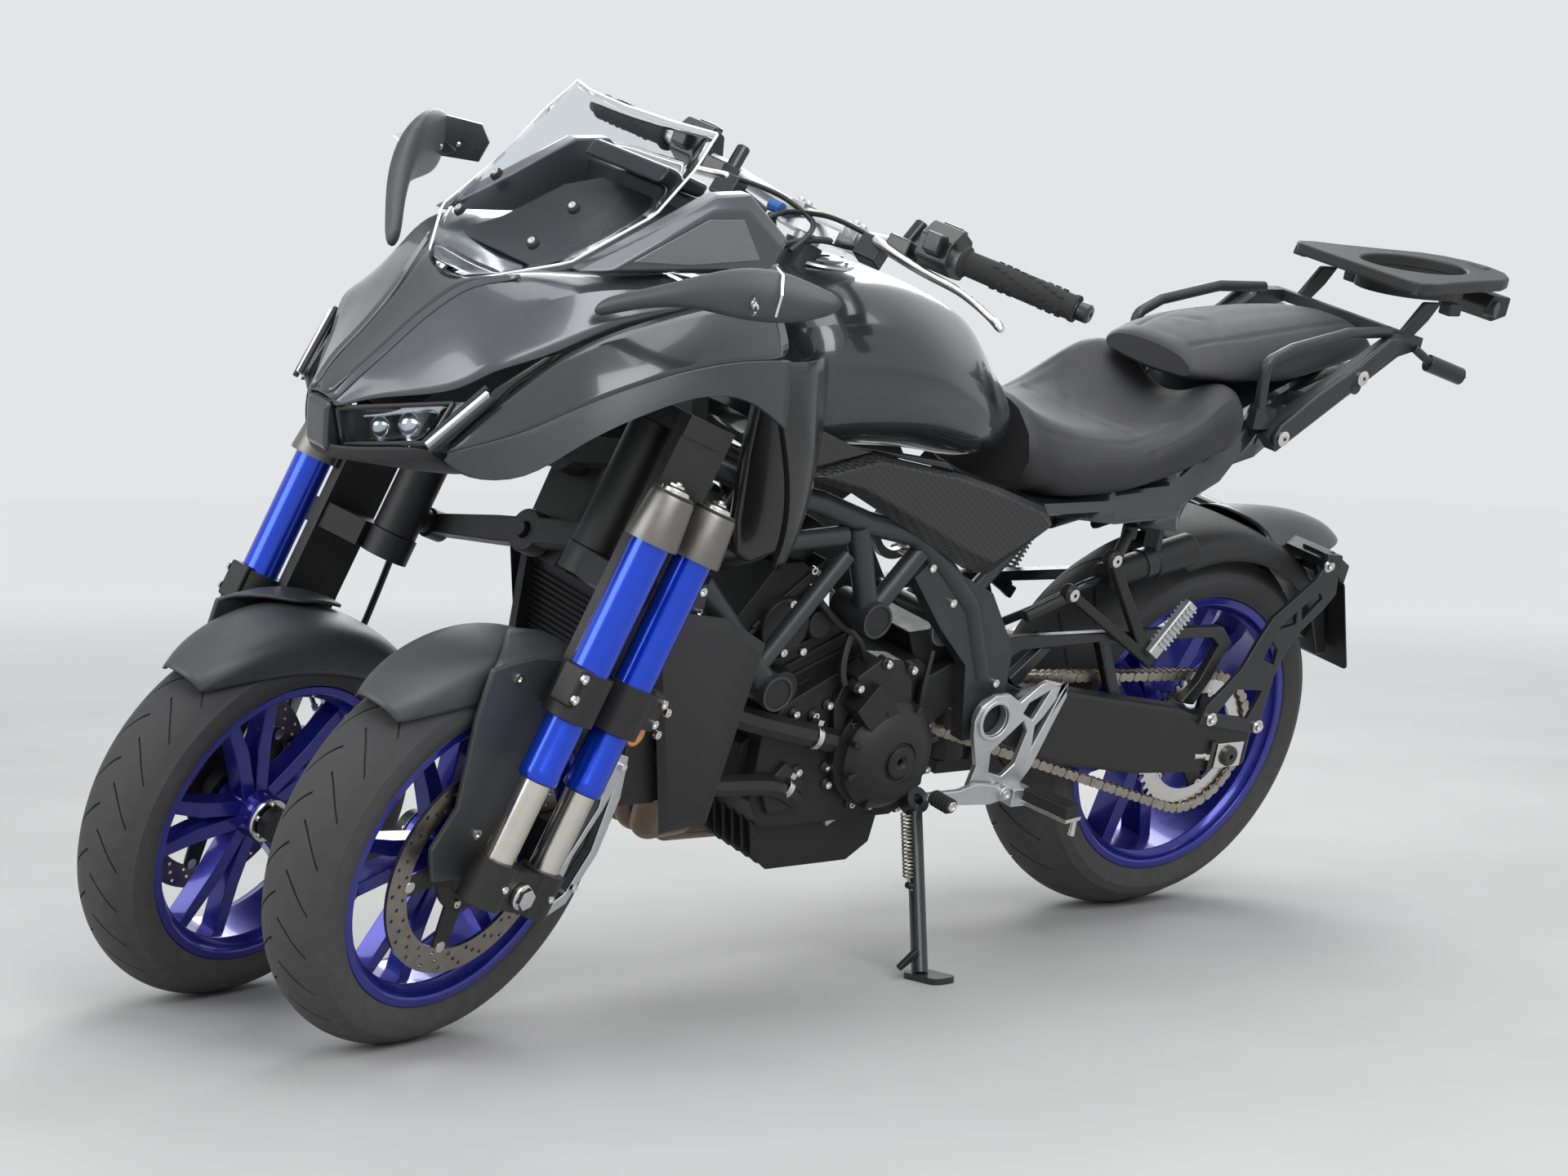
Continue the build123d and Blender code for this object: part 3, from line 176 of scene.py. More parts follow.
def bolt(bm, at, along, radius=6, height=5, recess=True):
    """A socket-head bolt standing on a face."""
    at, along = Vector(at), Vector(along).normalized()
    verts = rod(bm, at, at + along * height, radius, radius * 0.94, sides=16)
    if recess:
        top = max((f for f in {f for v in verts for f in v.link_faces} if len(f.verts) == 16),
                  key=lambda f: f.calc_center_median().dot(along))
        bmesh.ops.inset_region(bm, faces=[top], thickness=radius * 0.45, depth=0)
        made = bmesh.ops.extrude_discrete_faces(bm, faces=[top])["faces"]
        bmesh.ops.translate(bm, verts=made[0].verts, vec=-along * height * 0.6)


def tube(bm, points, radius, sides=12, sharp=False):
    """A hose or bent tube through a few points, on a smooth curve unless its bends are sharp."""
    curve = bpy.data.curves.new("route", "CURVE")
    curve.dimensions = "3D"
    curve.bevel_depth = radius
    curve.bevel_resolution = max(1, sides // 4 - 1)
    curve.resolution_u = 8
    curve.use_fill_caps = True
    spline = curve.splines.new("NURBS")
    spline.points.add(len(points) - 1)
    for spot, point in zip(spline.points, points):
        spot.co = (*point, 1)
    spline.order_u = 2 if sharp else 3
    spline.use_endpoint_u = True
    carrier = bpy.data.objects.new("route", curve)
    mesh = bpy.data.meshes.new_from_object(carrier)
    bm.from_mesh(mesh)
    bpy.data.objects.remove(carrier)
    bpy.data.curves.remove(curve)
    bpy.data.meshes.remove(mesh)


def make(name, bm, finish, body, place=UPRIGHT, soft=32, rounded=0, smooth=0, stands_for=(), wall=0):
    """Turn a mesh drawn in mm into a piece that rides on a body of the machine."""
    bmesh.ops.remove_doubles(bm, verts=bm.verts, dist=0.02)
    if not wall:
        bmesh.ops.recalc_face_normals(bm, faces=bm.faces)
    bm.transform(MM @ place)
    for edge in bm.edges:
        edge.smooth = edge.calc_face_angle(0) < radians(soft)
    for face in bm.faces:
        face.smooth = True
    mesh = bpy.data.meshes.new(name)
    bm.to_mesh(mesh)
    bm.free()
    piece = bpy.data.objects.new(name, mesh)
    bpy.context.scene.collection.objects.link(piece)
    mesh.materials.append(surface(finish))
    if smooth:
        fine = piece.modifiers.new("Smooth shape", "SUBSURF")
        fine.levels = fine.render_levels = smooth
    if wall:
        thick = piece.modifiers.new("Wall", "SOLIDIFY")
        thick.thickness = wall * 0.001
        thick.offset = -1
    if rounded:
        soften = piece.modifiers.new("Rounded edges", "BEVEL")
        soften.width = rounded * 0.001
        soften.segments = 2
        soften.limit_method = "ANGLE"
        soften.angle_limit = radians(34)
        soften.harden_normals = True
    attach(piece, body)
    if stands_for:
        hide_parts(*stands_for)
    return piece


def dress(node, finish, rounded=1.5, body=None):
    """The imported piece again, with its edges rounded and a finish of its own."""
    bm = bmesh.new()
    bm.from_mesh(frame["nodes"][node].data)
    bmesh.ops.remove_doubles(bm, verts=bm.verts, dist=1e-5)
    bmesh.ops.dissolve_limit(bm, angle_limit=radians(0.6), verts=bm.verts, edges=bm.edges)
    bm.transform(Matrix.Scale(1000, 4))
    piece = make(f"{node}_shell", bm, finish, body or BODY_OF[node], Matrix(), rounded=rounded, stands_for=[node])
    return piece


BODY_OF = {node: body for body, nodes in frame["record"]["behaviour"]["bodies"].items() for node in nodes}


# ------------------------------------------------------------------ finishes
# Name: slot of the record, colour, metallic, roughness, coat, grain height and size in mm, drift of tone, road dust.
FINISHES = {
    "tyre rubber": ("tyre", (0.045, 0.045, 0.047), 0, 0.78, 0, 0.35, 1.2, 0.25, 0.5),
    "tyre sidewall": ("tyre", (0.028, 0.028, 0.029), 0, 0.62, 0, 0.2, 1.0, 0.2, 0.4),
    "blue rim": ("blue_metal", (0.018, 0.022, 0.30), 0.55, 0.30, 0.6, 0.02, 0.6, 0.12, 0.15),
    "blue fork": ("blue_metal", (0.004, 0.055, 0.62), 0.62, 0.24, 0.5, 0.01, 0.6, 0.08, 0.0),
    "disc steel": ("steel", (0.33, 0.30, 0.26), 1.0, 0.36, 0, 0.05, 0.5, 0.2, 0.1),
    "bright steel": ("steel", (0.74, 0.73, 0.71), 1.0, 0.22, 0, 0.02, 0.6, 0.1, 0.0),
    "chain steel": ("steel", (0.42, 0.39, 0.33), 1.0, 0.34, 0, 0.1, 0.8, 0.3, 0.1),
    "tinted steel": ("exhaust_steel", (0.17, 0.115, 0.085), 0.75, 0.42, 0, 0.1, 3.0, 0.5, 0.1),
    "cast alloy": ("alloy", (0.60, 0.61, 0.62), 0.9, 0.40, 0, 0.18, 0.7, 0.12, 0.0),
    "cap alloy": ("alloy", (0.20, 0.195, 0.18), 0.85, 0.36, 0, 0.25, 0.7, 0.1, 0.0),
    "slider": ("alloy", (0.66, 0.64, 0.58), 1.0, 0.20, 0, 0.0, 1.0, 0.06, 0.0),
    "black cast": ("black_alloy", (0.020, 0.020, 0.021), 0.25, 0.46, 0, 0.25, 0.6, 0.2, 0.12),
    "engine black": ("black_alloy", (0.016, 0.016, 0.017), 0.2, 0.50, 0, 0.3, 0.6, 0.25, 0.1),
    "black paint": ("black_metal", (0.018, 0.019, 0.021), 0.15, 0.36, 0.15, 0.08, 0.7, 0.15, 0.1),
    "frame grey": ("black_metal", (0.045, 0.046, 0.048), 0.35, 0.42, 0.1, 0.08, 0.7, 0.12, 0.05),
    "graphite paint": ("graphite", (0.085, 0.092, 0.10), 0.55, 0.30, 0.7, 0.0, 1.0, 0.06, 0.0),
    "pale inset": ("graphite", (0.20, 0.21, 0.22), 0.45, 0.32, 0.5, 0.0, 1.0, 0.06, 0.0),
    "tank paint": ("tank_paint", (0.040, 0.043, 0.047), 0.45, 0.24, 0.9, 0.0, 1.0, 0.05, 0.0),
    "matt grey": ("matt_grey", (0.066, 0.068, 0.071), 0.35, 0.42, 0, 0.3, 0.7, 0.08, 0.05),
    "dark panel": ("black_plastic", (0.014, 0.014, 0.015), 0, 0.30, 0.3, 0.05, 0.7, 0.1, 0.05),
    "tank side weave": ("black_plastic", (0.022, 0.022, 0.023), 0, 0.42, 0.1, 0.0, 1.0, 0.08, 0.0),
    "grained plastic": ("black_plastic", (0.020, 0.020, 0.021), 0, 0.56, 0, 0.3, 0.6, 0.12, 0.1),
    "seat cover": ("vinyl", (0.026, 0.026, 0.028), 0, 0.58, 0, 0.35, 1.1, 0.12, 0.0),
    "seat panel": ("vinyl", (0.040, 0.040, 0.042), 0, 0.66, 0, 0.5, 1.6, 0.15, 0.0),
    "rubber": ("rubber", (0.018, 0.018, 0.018), 0, 0.70, 0, 0.2, 0.8, 0.15, 0.1),
    "hose": ("rubber", (0.014, 0.014, 0.014), 0, 0.42, 0, 0.1, 0.8, 0.1, 0.0),
    "radiator fins": ("black_alloy", (0.012, 0.012, 0.013), 0.4, 0.5, 0, 0.2, 0.6, 0.2, 0.1),
    "mirror glass": ("steel", (0.85, 0.86, 0.87), 1.0, 0.03, 0, 0.0, 1.0, 0.0, 0.0),
    "gold fitting": ("alloy", (0.62, 0.42, 0.12), 0.9, 0.28, 0, 0.05, 0.8, 0.1, 0.0),
    "blue clip": ("black_plastic", (0.02, 0.12, 0.42), 0, 0.45, 0, 0.05, 0.8, 0.1, 0.0),
    "blank plate": ("black_plastic", (0.010, 0.010, 0.011), 0, 0.42, 0.1, 0.05, 0.8, 0.1, 0.15),
    "amber lens": ("lens", (0.80, 0.26, 0.02), 0, 0.18, 0.8, 0.0, 1.0, 0.1, 0.0),
    "amber lamp": ("lens", (0.70, 0.22, 0.02), 0, 0.12, 0.9, 0.0, 1.0, 0.05, 0.0),
    "red lens": ("lens", (0.50, 0.01, 0.01), 0, 0.14, 0.9, 0.0, 1.0, 0.05, 0.0),
    "smoked screen": ("clear", (0.80, 0.83, 0.86), 0, 0.04, 0, 0.0, 1.0, 0.0, 0.0),
    "lamp glass": ("lens", (0.85, 0.90, 0.94), 0, 0.03, 0, 0.0, 1.0, 0.0, 0.0),
    "lamp strip": ("lens", (0.92, 0.94, 0.97), 0, 0.16, 0.8, 0.0, 1.0, 0.0, 0.0),
    "reflector": ("lens", (0.62, 0.64, 0.66), 0.9, 0.14, 0, 0.0, 1.0, 0.0, 0.0),
}
GLASSY = ("smoked screen", "lamp glass")


def new_group(name, inputs, outputs):
    """A shared group of shader nodes with named sockets."""
    group = bpy.data.node_groups.new(name, "ShaderNodeTree")
    for title, kind in inputs:
        group.interface.new_socket(title, in_out="INPUT", socket_type=f"NodeSocket{kind}")
    for title, kind in outputs:
        group.interface.new_socket(title, in_out="OUTPUT", socket_type=f"NodeSocket{kind}")
    return group, group.nodes.new("NodeGroupInput"), group.nodes.new("NodeGroupOutput")


def node_with(tree, kind, links=(), **settings):
    """A node with its settings, its inputs linked to sockets or set to values."""
    made = tree.nodes.new(kind)
    for key, value in settings.items():
        setattr(made, key, value)
    for key, value in dict(links).items():
        if isinstance(value, bpy.types.NodeSocket):
            tree.links.new(value, made.inputs[key])
        else:
            made.inputs[key].default_value = value
    return made


def grain_group():
    """Fine moulded or cast grain, as a height."""
    group, inlet, outlet = new_group("Fine grain", [("Vector", "Vector"), ("Size", "Float")], [("Height", "Float")])
    rate = node_with(group, "ShaderNodeMath", {0: 1000.0, 1: inlet.outputs["Size"]}, operation="DIVIDE")
    specks = node_with(group, "ShaderNodeTexVoronoi", {"Vector": inlet.outputs["Vector"], "Scale": rate.outputs[0]})
    cloud = node_with(group, "ShaderNodeTexNoise", {"Vector": inlet.outputs["Vector"], "Scale": rate.outputs[0],
                                                    "Detail": 2.0})
    both = node_with(group, "ShaderNodeMath", {0: specks.outputs["Distance"], 1: cloud.outputs["Fac"]},
                     operation="ADD")
    group.links.new(both.outputs[0], outlet.inputs["Height"])
    return group


def weave_group():
    """Small raised lozenges in slanting rows, as a height."""
    group, inlet, outlet = new_group("Ribbed weave", [("Vector", "Vector")], [("Height", "Float")])
    heights = []
    for angle in (35, -35):
        line = node_with(group, "ShaderNodeMapping", {"Vector": inlet.outputs["Vector"],
                                                      "Rotation": (0.0, radians(angle), 0.0)})
        wave = node_with(group, "ShaderNodeTexWave", {"Vector": line.outputs["Vector"], "Scale": 45.0},
                         wave_type="BANDS", bands_direction="Z")
        heights.append(wave.outputs["Fac"])
    both = node_with(group, "ShaderNodeMath", {0: heights[0], 1: heights[1]}, operation="MULTIPLY")
    group.links.new(both.outputs[0], outlet.inputs["Height"])
    return group


def drift_group():
    """Slow drift of tone and gloss over a surface, and pale road dust low down on the machine."""
    group, inlet, outlet = new_group(
        "Tone and dust",
        [("Vector", "Vector"), ("Color", "Color"), ("Roughness", "Float"), ("Drift", "Float"), ("Dust", "Float")],
        [("Color", "Color"), ("Roughness", "Float")])
    place = inlet.outputs["Vector"]
    slow = node_with(group, "ShaderNodeTexNoise", {"Vector": place, "Scale": 9.0, "Detail": 4.0})
    fine = node_with(group, "ShaderNodeTexNoise", {"Vector": place, "Scale": 70.0, "Detail": 3.0})
    mixed = node_with(group, "ShaderNodeMath", {0: slow.outputs["Fac"], 1: fine.outputs["Fac"]}, operation="ADD")
    centred = node_with(group, "ShaderNodeMath", {0: mixed.outputs[0], 1: 1.0}, operation="SUBTRACT")
    swing = node_with(group, "ShaderNodeMath", {0: centred.outputs[0], 1: inlet.outputs["Drift"]},
                      operation="MULTIPLY")
    gain = node_with(group, "ShaderNodeMath", {0: swing.outputs[0], 1: 2.0, 2: 1.0}, operation="MULTIPLY_ADD")
    toned = node_with(group, "ShaderNodeVectorMath", {0: inlet.outputs["Color"]}, operation="SCALE")
    group.links.new(gain.outputs[0], toned.inputs["Scale"])
    split = node_with(group, "ShaderNodeSeparateXYZ", {0: place})
    low = node_with(group, "ShaderNodeMapRange", {"Value": split.outputs["Z"], "From Min": 0.45, "From Max": 0.02,
                                                  "To Min": 0.0, "To Max": 0.5})
    patch = node_with(group, "ShaderNodeMath", {0: low.outputs[0], 1: fine.outputs["Fac"]}, operation="MULTIPLY")
    amount = node_with(group, "ShaderNodeMath", {0: patch.outputs[0], 1: inlet.outputs["Dust"]},
                       operation="MULTIPLY")
    dusty = node_with(group, "ShaderNodeMix", {0: amount.outputs[0], 6: toned.outputs[0],
                                               7: (0.23, 0.21, 0.18, 1.0)}, data_type="RGBA")
    rougher = node_with(group, "ShaderNodeMath", {0: swing.outputs[0], 1: inlet.outputs["Roughness"]},
                        operation="ADD", use_clamp=True)
    group.links.new(dusty.outputs[2], outlet.inputs["Color"])
    group.links.new(rougher.outputs[0], outlet.inputs["Roughness"])
    return group


def shared(title, builder):
    """A node group that is built once and then used by every finish."""
    return bpy.data.node_groups.get(title) or builder()


def group_node(tree, title, builder, links):
    made = tree.nodes.new("ShaderNodeGroup")
    made.node_tree = shared(title, builder)
    for key, value in links.items():
        if isinstance(value, bpy.types.NodeSocket):
            tree.links.new(value, made.inputs[key])
        else:
            made.inputs[key].default_value = value
    return made


def surface(name):
    """The procedural material of one finish."""
    ready = bpy.data.materials.get(name)
    if ready:
        return ready
    _, _, metallic, rough, coat, grain, size, drift, dust = FINISHES[name]
    colour = getattr(bpy.context.scene.trike_colours, name.replace(" ", "_"))
    material = bpy.data.materials.new(name)
    material.use_nodes = True
    tree = material.node_tree
    shader = tree.nodes["Principled BSDF"]
    place = tree.nodes.new("ShaderNodeTexCoord").outputs["Object"]
    shader.inputs["Metallic"].default_value = metallic
    shader.inputs["Coat Weight"].default_value = coat
    shader.inputs["Coat Roughness"].default_value = 0.08
    tone = group_node(tree, "Tone and dust", drift_group,
                      {"Vector": place, "Color": (*colour, 1.0), "Roughness": rough, "Drift": drift, "Dust": dust})
    tree.links.new(tone.outputs["Color"], shader.inputs["Base Color"])
    tree.links.new(tone.outputs["Roughness"], shader.inputs["Roughness"])
    if grain:
        relief = group_node(tree, "Fine grain", grain_group, {"Vector": place, "Size": size})
        bump = node_with(tree, "ShaderNodeBump", {"Height": relief.outputs["Height"], "Strength": grain,
                                                  "Distance": 0.0004})
        tree.links.new(bump.outputs["Normal"], shader.inputs["Normal"])
    if name in GLASSY:
        shader.inputs["Transmission Weight"].default_value = 1.0
        shader.inputs["IOR"].default_value = 1.08 if name == "smoked screen" else 1.2
        for socket in ("Base Color", "Roughness"):
            tree.links.remove(shader.inputs[socket].links[0])
        shader.inputs["Base Color"].default_value = (*colour, 1.0)
        shader.inputs["Roughness"].default_value = rough
    if name == "tank side weave":
        relief = group_node(tree, "Ribbed weave", weave_group, {"Vector": place})
        bump = node_with(tree, "ShaderNodeBump", {"Height": relief.outputs["Height"], "Strength": 0.7,
                                                  "Distance": 0.0012})
        tree.links.new(bump.outputs["Normal"], shader.inputs["Normal"])
    return material


# ------------------------------------------------------------------ wheels
def tyre_profile(radius, half, crown, rim, rows):
    """Half-section points of a tyre from bead to bead, as (across, radius)."""
    bead = half - 14
    shoulder = 0.8 * half
    shoulder_r = radius - crown + sqrt(crown**2 - shoulder**2)
    bulge_r = (shoulder_r + rim) / 2 + 4
    wall = [(shoulder, shoulder_r), (0.93 * half, shoulder_r - 0.36 * (shoulder_r - bulge_r)), (half, bulge_r),
            (0.985 * half, bulge_r - 9), (bead + 9.4, rim + 10), (bead + 8.4, rim + 8.8), (bead + 7, rim + 4),
            (bead + 5.5, rim + 3), (bead, rim + 1)]
    crown_rows = []
    for i in range(1, rows):
        y = shoulder * (2 * i / rows - 1)
        crown_rows.append((y, radius - crown + sqrt(crown**2 - y**2)))
    return [(-y, r) for y, r in reversed(wall)] + crown_rows + wall


def build_tyre(name, radius, half, crown, rim, pitches, depth, place, body, node):
    """A tyre whose slanting grooves are cut into its crown."""
    rows, columns = 24, (0.5, 1.6, 1.6, 0.5, 1.6, 1.6)
    steps = pitches * len(columns)
    shoulder = 0.8 * half
    bm = bmesh.new()
    verts = lathe(bm, tyre_profile(radius, half, crown, rim, rows), steps=steps, closed=False)
    stops = [sum(columns[:i]) / sum(columns) for i in range(len(columns))]
    pitch = 2 * pi / pitches
    column_of = {}
    for vert in verts:
        x, y, z = vert.co
        around = atan2(x, z) % (2 * pi)
        index = round(around / (2 * pi / steps)) % steps
        column_of[vert] = index
        reach = min(abs(y) / shoulder, 1)
        angle = (index // len(columns) + stops[index % len(columns)]) * pitch + 1.05 * pitch * reach**1.4
        r = sqrt(x * x + z * z)
        vert.co = (r * sin(angle), y, r * cos(angle))
    cuts = []
    for face in bm.faces:
        y = face.calc_center_median().y / shoulder
        indices = sorted({column_of[v] for v in face.verts})
        first = indices[0] if indices[-1] - indices[0] == 1 else indices[-1]
        kind = first % len(columns)
        if (kind == 0 and -0.86 < y < -0.1) or (kind == 3 and 0.1 < y < 0.86):
            cuts.append(face)
    made = bmesh.ops.extrude_face_region(bm, geom=cuts)["geom"]
    bmesh.ops.delete(bm, geom=cuts, context="FACES_ONLY")
    for vert in (v for v in made if isinstance(v, bmesh.types.BMVert)):
        inward = Vector((-vert.co.x, -0.4 * vert.co.y * vert.co.length / half, -vert.co.z)).normalized()
        vert.co += inward * depth
    return make(name, bm, "tyre rubber", body, place, soft=28, stands_for=[node])


def build_wheel(name, half, rim, hub_r, hub_half, spoke, place, body, node):
    """A cast wheel with five pairs of spokes that open towards the rim."""
    bead = half - 14
    flange = bead + 5
    bm = bmesh.new()
    lathe(bm, [(-flange, rim + 1.5), (-flange + 3, rim + 2), (-bead - 1, rim - 3), (-bead + 3, rim - 8),
               (0, rim - 11), (bead - 3, rim - 8), (bead + 1, rim - 3), (flange - 3, rim + 2), (flange, rim + 1.5),
               (flange, rim - 9), (flange - 2, rim - 12), (bead - 6, rim - 15), (bead - 14, rim - 23),
               (14 - bead, rim - 23), (6 - bead, rim - 15), (2 - flange, rim - 12), (-flange, rim - 9)], steps=120)
    lathe(bm, [(-hub_half, 17), (-hub_half, hub_r - 6), (3 - hub_half, hub_r - 3), (-0.5 * hub_half, hub_r - 4),
               (-0.3 * hub_half, hub_r), (0.3 * hub_half, hub_r), (0.5 * hub_half, hub_r - 4),
               (hub_half - 3, hub_r - 3), (hub_half, hub_r - 6), (hub_half, 17)], steps=60)
    outer, thick = rim - 19, 0.24 * half
    for pair in range(5):
        for lean in (-1, 1):
            aim = turn(90 + 72 * pair, "Y") @ turn(lean * 3, "Y")
            near, far = hub_r - 8, outer + 2
            tip = lean * 0.27 * outer
            outline = [(near, lean * 1.5), (0.55 * far, lean * 1.5 + 0.34 * tip - lean * 0.32 * spoke),
                       (far, tip - lean * 0.5 * spoke), (far, tip + lean * 0.6 * spoke),
                       (0.55 * far, 0.52 * tip + lean * 0.62 * spoke), (near, lean * (spoke + 5))]
            slab(bm, outline, -thick, thick, aim)
    return make(name, bm, "blue rim", body, place, rounded=2.4, stands_for=[node])


def drilled_ring(bm, radius, bore, y, thick, holes):
    """A brake disc's steel ring, drilled right through. Holes: angle, distance from the axle, radius."""
    edges = []
    for r, sides in ((radius, 96), (bore, 72)):
        made = bmesh.ops.create_circle(bm, segments=sides, radius=r, matrix=turn(90, "X"))["verts"]
        edges += list({e for v in made for e in v.link_edges})
    for angle, reach, size in holes:
        place = turn(angle, "Y") @ shift(reach, 0, 0) @ turn(90, "X")
        made = bmesh.ops.create_circle(bm, segments=10, radius=size, matrix=place)["verts"]
        edges += list({e for v in made for e in v.link_edges})
    faces = [g for g in bmesh.ops.triangle_fill(bm, use_beauty=True, use_dissolve=False, edges=edges)["geom"]
             if isinstance(g, bmesh.types.BMFace)]
    verts = list({v for f in faces for v in f.verts})
    bmesh.ops.translate(bm, verts=verts, vec=(0, y - thick / 2, 0))
    made = bmesh.ops.extrude_face_region(bm, geom=faces, use_keep_orig=True)["geom"]
    bmesh.ops.translate(bm, verts=[v for v in made if isinstance(v, bmesh.types.BMVert)], vec=(0, thick, 0))


def carrier(bm, inner, outer, y, thick, arms, start=0):
    """The spider between a hub and its disc."""
    lathe(bm, [(y - thick / 2, inner), (y - thick / 2, inner + 22), (y + thick / 2, inner + 22),
               (y + thick / 2, inner)], steps=60)
    for i in range(arms):
        aim = turn(start + 360 / arms * i, "Y")
        reach = inner + 18
        slab(bm, [(reach, -15), (outer, -24), (outer + 7, -12), (outer + 7, 0), (outer, 4), (reach, 17)],
             y - thick / 2, y + thick / 2, aim)


class TRIKE_OT_tyres(bpy.types.Operator):
    """Three tyres with slanting grooves cut into their crowns"""
    bl_idname = "trike.tyres"
    bl_label = "Tyres"

    def execute(self, context):
        depth = context.scene.trike_sizes.groove_depth * 1000
        for name, side in SIDES:
            build_tyre(f"{name}_front_tyre_tread", FRONT_R, FRONT_HALF, FRONT_CROWN, FRONT_RIM, 26, depth,
                       wheel_place(side), f"{name}_front_wheel", f"{name}_front_tyre")
        build_tyre("rear_tyre_tread", REAR_R, REAR_HALF, REAR_CROWN, REAR_RIM, 24, depth * 1.2, REAR, "rear_wheel",
                   "rear_tyre")
        return {"FINISHED"}


class TRIKE_OT_wheels(bpy.types.Operator):
    """Three cast wheels with their hubs, valves and axle ends"""
    bl_idname = "trike.wheels"
    bl_label = "Wheels"

    def execute(self, context):
        for name, side in SIDES:
            place, body = wheel_place(side), f"{name}_front_wheel"
            build_wheel(f"{name}_front_rim", FRONT_HALF, FRONT_RIM, 36, 38, 17, place, body, f"{name}_front_wheel")
            bm = bmesh.new()
            rod(bm, (0, -side * 37.8, 0), (0, -side * 41, 0), 33, 31, sides=48)
            for i in range(5):
                spot = turn(72 * i, "Y") @ Vector((24, -side * 41, 0))
                bolt(bm, spot, (0, -side, 0), 4.5, 4)
            make(f"{name}_hub_cover", bm, "bright steel", body, place, rounded=0.6)
            bm = bmesh.new()
            rod(bm, (0, -side * 10, 178), (0, -side * 24, 168), 3.2)
            rod(bm, (0, -side * 24, 168), (0, -side * 30, 163.5), 4.6, 4)
            make(f"{name}_valve", bm, "bright steel", body, place)
        build_wheel("rear_rim", REAR_HALF, REAR_RIM, 50, 62, 22, REAR, "rear_wheel", "rear_wheel")
        bm = bmesh.new()
        rod(bm, (0, 16, 205), (0, 34, 196), 3.2)
        rod(bm, (0, 34, 196), (0, 40, 193), 4.6, 4)
        make("rear_valve", bm, "bright steel", "rear_wheel", REAR)
        return {"FINISHED"}


class TRIKE_OT_discs(bpy.types.Operator):
    """Drilled brake discs on their carriers, and the rear sprocket"""
    bl_idname = "trike.discs"
    bl_label = "Discs and sprocket"

    def execute(self, context):
        for name, side in SIDES:
            place, body = wheel_place(side), f"{name}_front_wheel"
            bm = bmesh.new()
            holes = [(15 * i + 5 * row, 122.5 + 9.5 * row, 2.9) for i in range(24) for row in range(3)]
            drilled_ring(bm, 149, 115, side * DISC_Y, 5, holes)
            make(f"{name}_disc_ring", bm, "disc steel", body, place, stands_for=[f"{name}_brake_disc"])
            bm = bmesh.new()
            carrier(bm, 40, 112, side * (DISC_Y - 1), 5, 5, start=18)
            lathe(bm, [(side * 37, 17), (side * 37, 44), (side * (DISC_Y - 2), 44), (side * (DISC_Y - 2), 17)])
            make(f"{name}_disc_carrier", bm, "black cast", body, place, rounded=1.2)
            bm = bmesh.new()
            for i in range(5):
                aim = turn(18 + 72 * i, "Y")
                rod(bm, aim @ Vector((112, side * (DISC_Y - 4), -9)), aim @ Vector((112, side * (DISC_Y + 3.4), -9)),
                    8, sides=20)
                bolt(bm, aim @ Vector((52, side * (DISC_Y + 1.4), 0)), (0, side, 0), 6, 4)
            make(f"{name}_disc_buttons", bm, "bright steel", body, place, rounded=0.6)
        bm = bmesh.new()
        holes = [(15 * i + 5 * row, 100 + 14 * row, 3.2) for i in range(24) for row in range(3)]
        drilled_ring(bm, 141, 90, -100, 5, holes)
        make("rear_disc_ring", bm, "disc steel", "rear_wheel", REAR, stands_for=["rear_disc"])
        bm = bmesh.new()
        carrier(bm, 32, 88, -98, 6, 5)
        lathe(bm, [(-61, 17), (-61, 40), (-97, 40), (-97, 17)])
        make("rear_disc_carrier", bm, "black cast", "rear_wheel", REAR, rounded=1.2)
        self.sprocket()
        return {"FINISHED"}

    def sprocket(self):
        teeth = 45
        reach = 15.875 / 2 / sin(pi / teeth)
        outline = []
        for i in range(teeth):
            for part, r in ((-0.32, reach - 4.5), (-0.14, reach + 3.5), (0.14, reach + 3.5), (0.32, reach - 4.5)):
                angle = 2 * pi * (i + part) / teeth
                outline.append((r * cos(angle), r * sin(angle)))
        bm = bmesh.new()
        edges = []
        for points in (outline, [(82 * cos(a * pi / 30), 82 * sin(a * pi / 30)) for a in range(60)]):
            edges += ring_loop(bm, [(x, 107, z) for x, z in points])[1]
        faces = [g for g in bmesh.ops.triangle_fill(bm, use_beauty=True, edges=edges)["geom"]
                 if isinstance(g, bmesh.types.BMFace)]
        made = bmesh.ops.extrude_face_region(bm, geom=faces, use_keep_orig=True)["geom"]
        bmesh.ops.translate(bm, verts=[v for v in made if isinstance(v, bmesh.types.BMVert)], vec=(0, 6, 0))
        make("sprocket_ring", bm, "bright steel", "rear_wheel", REAR, stands_for=["rear_sprocket"])
        bm = bmesh.new()
        carrier(bm, 30, 80, 105, 7, 5, start=36)
        lathe(bm, [(61, 17), (61, 44), (104, 44), (104, 17)])
        make("sprocket_carrier", bm, "black cast", "rear_wheel", REAR, rounded=1)
        bm = bmesh.new()
        for i in range(5):
            bolt(bm, turn(36 + 72 * i, "Y") @ Vector((82, 108.5, -10)), (0, 1, 0), 7, 5)
        make("sprocket_bolts", bm, "bright steel", "rear_wheel", REAR)


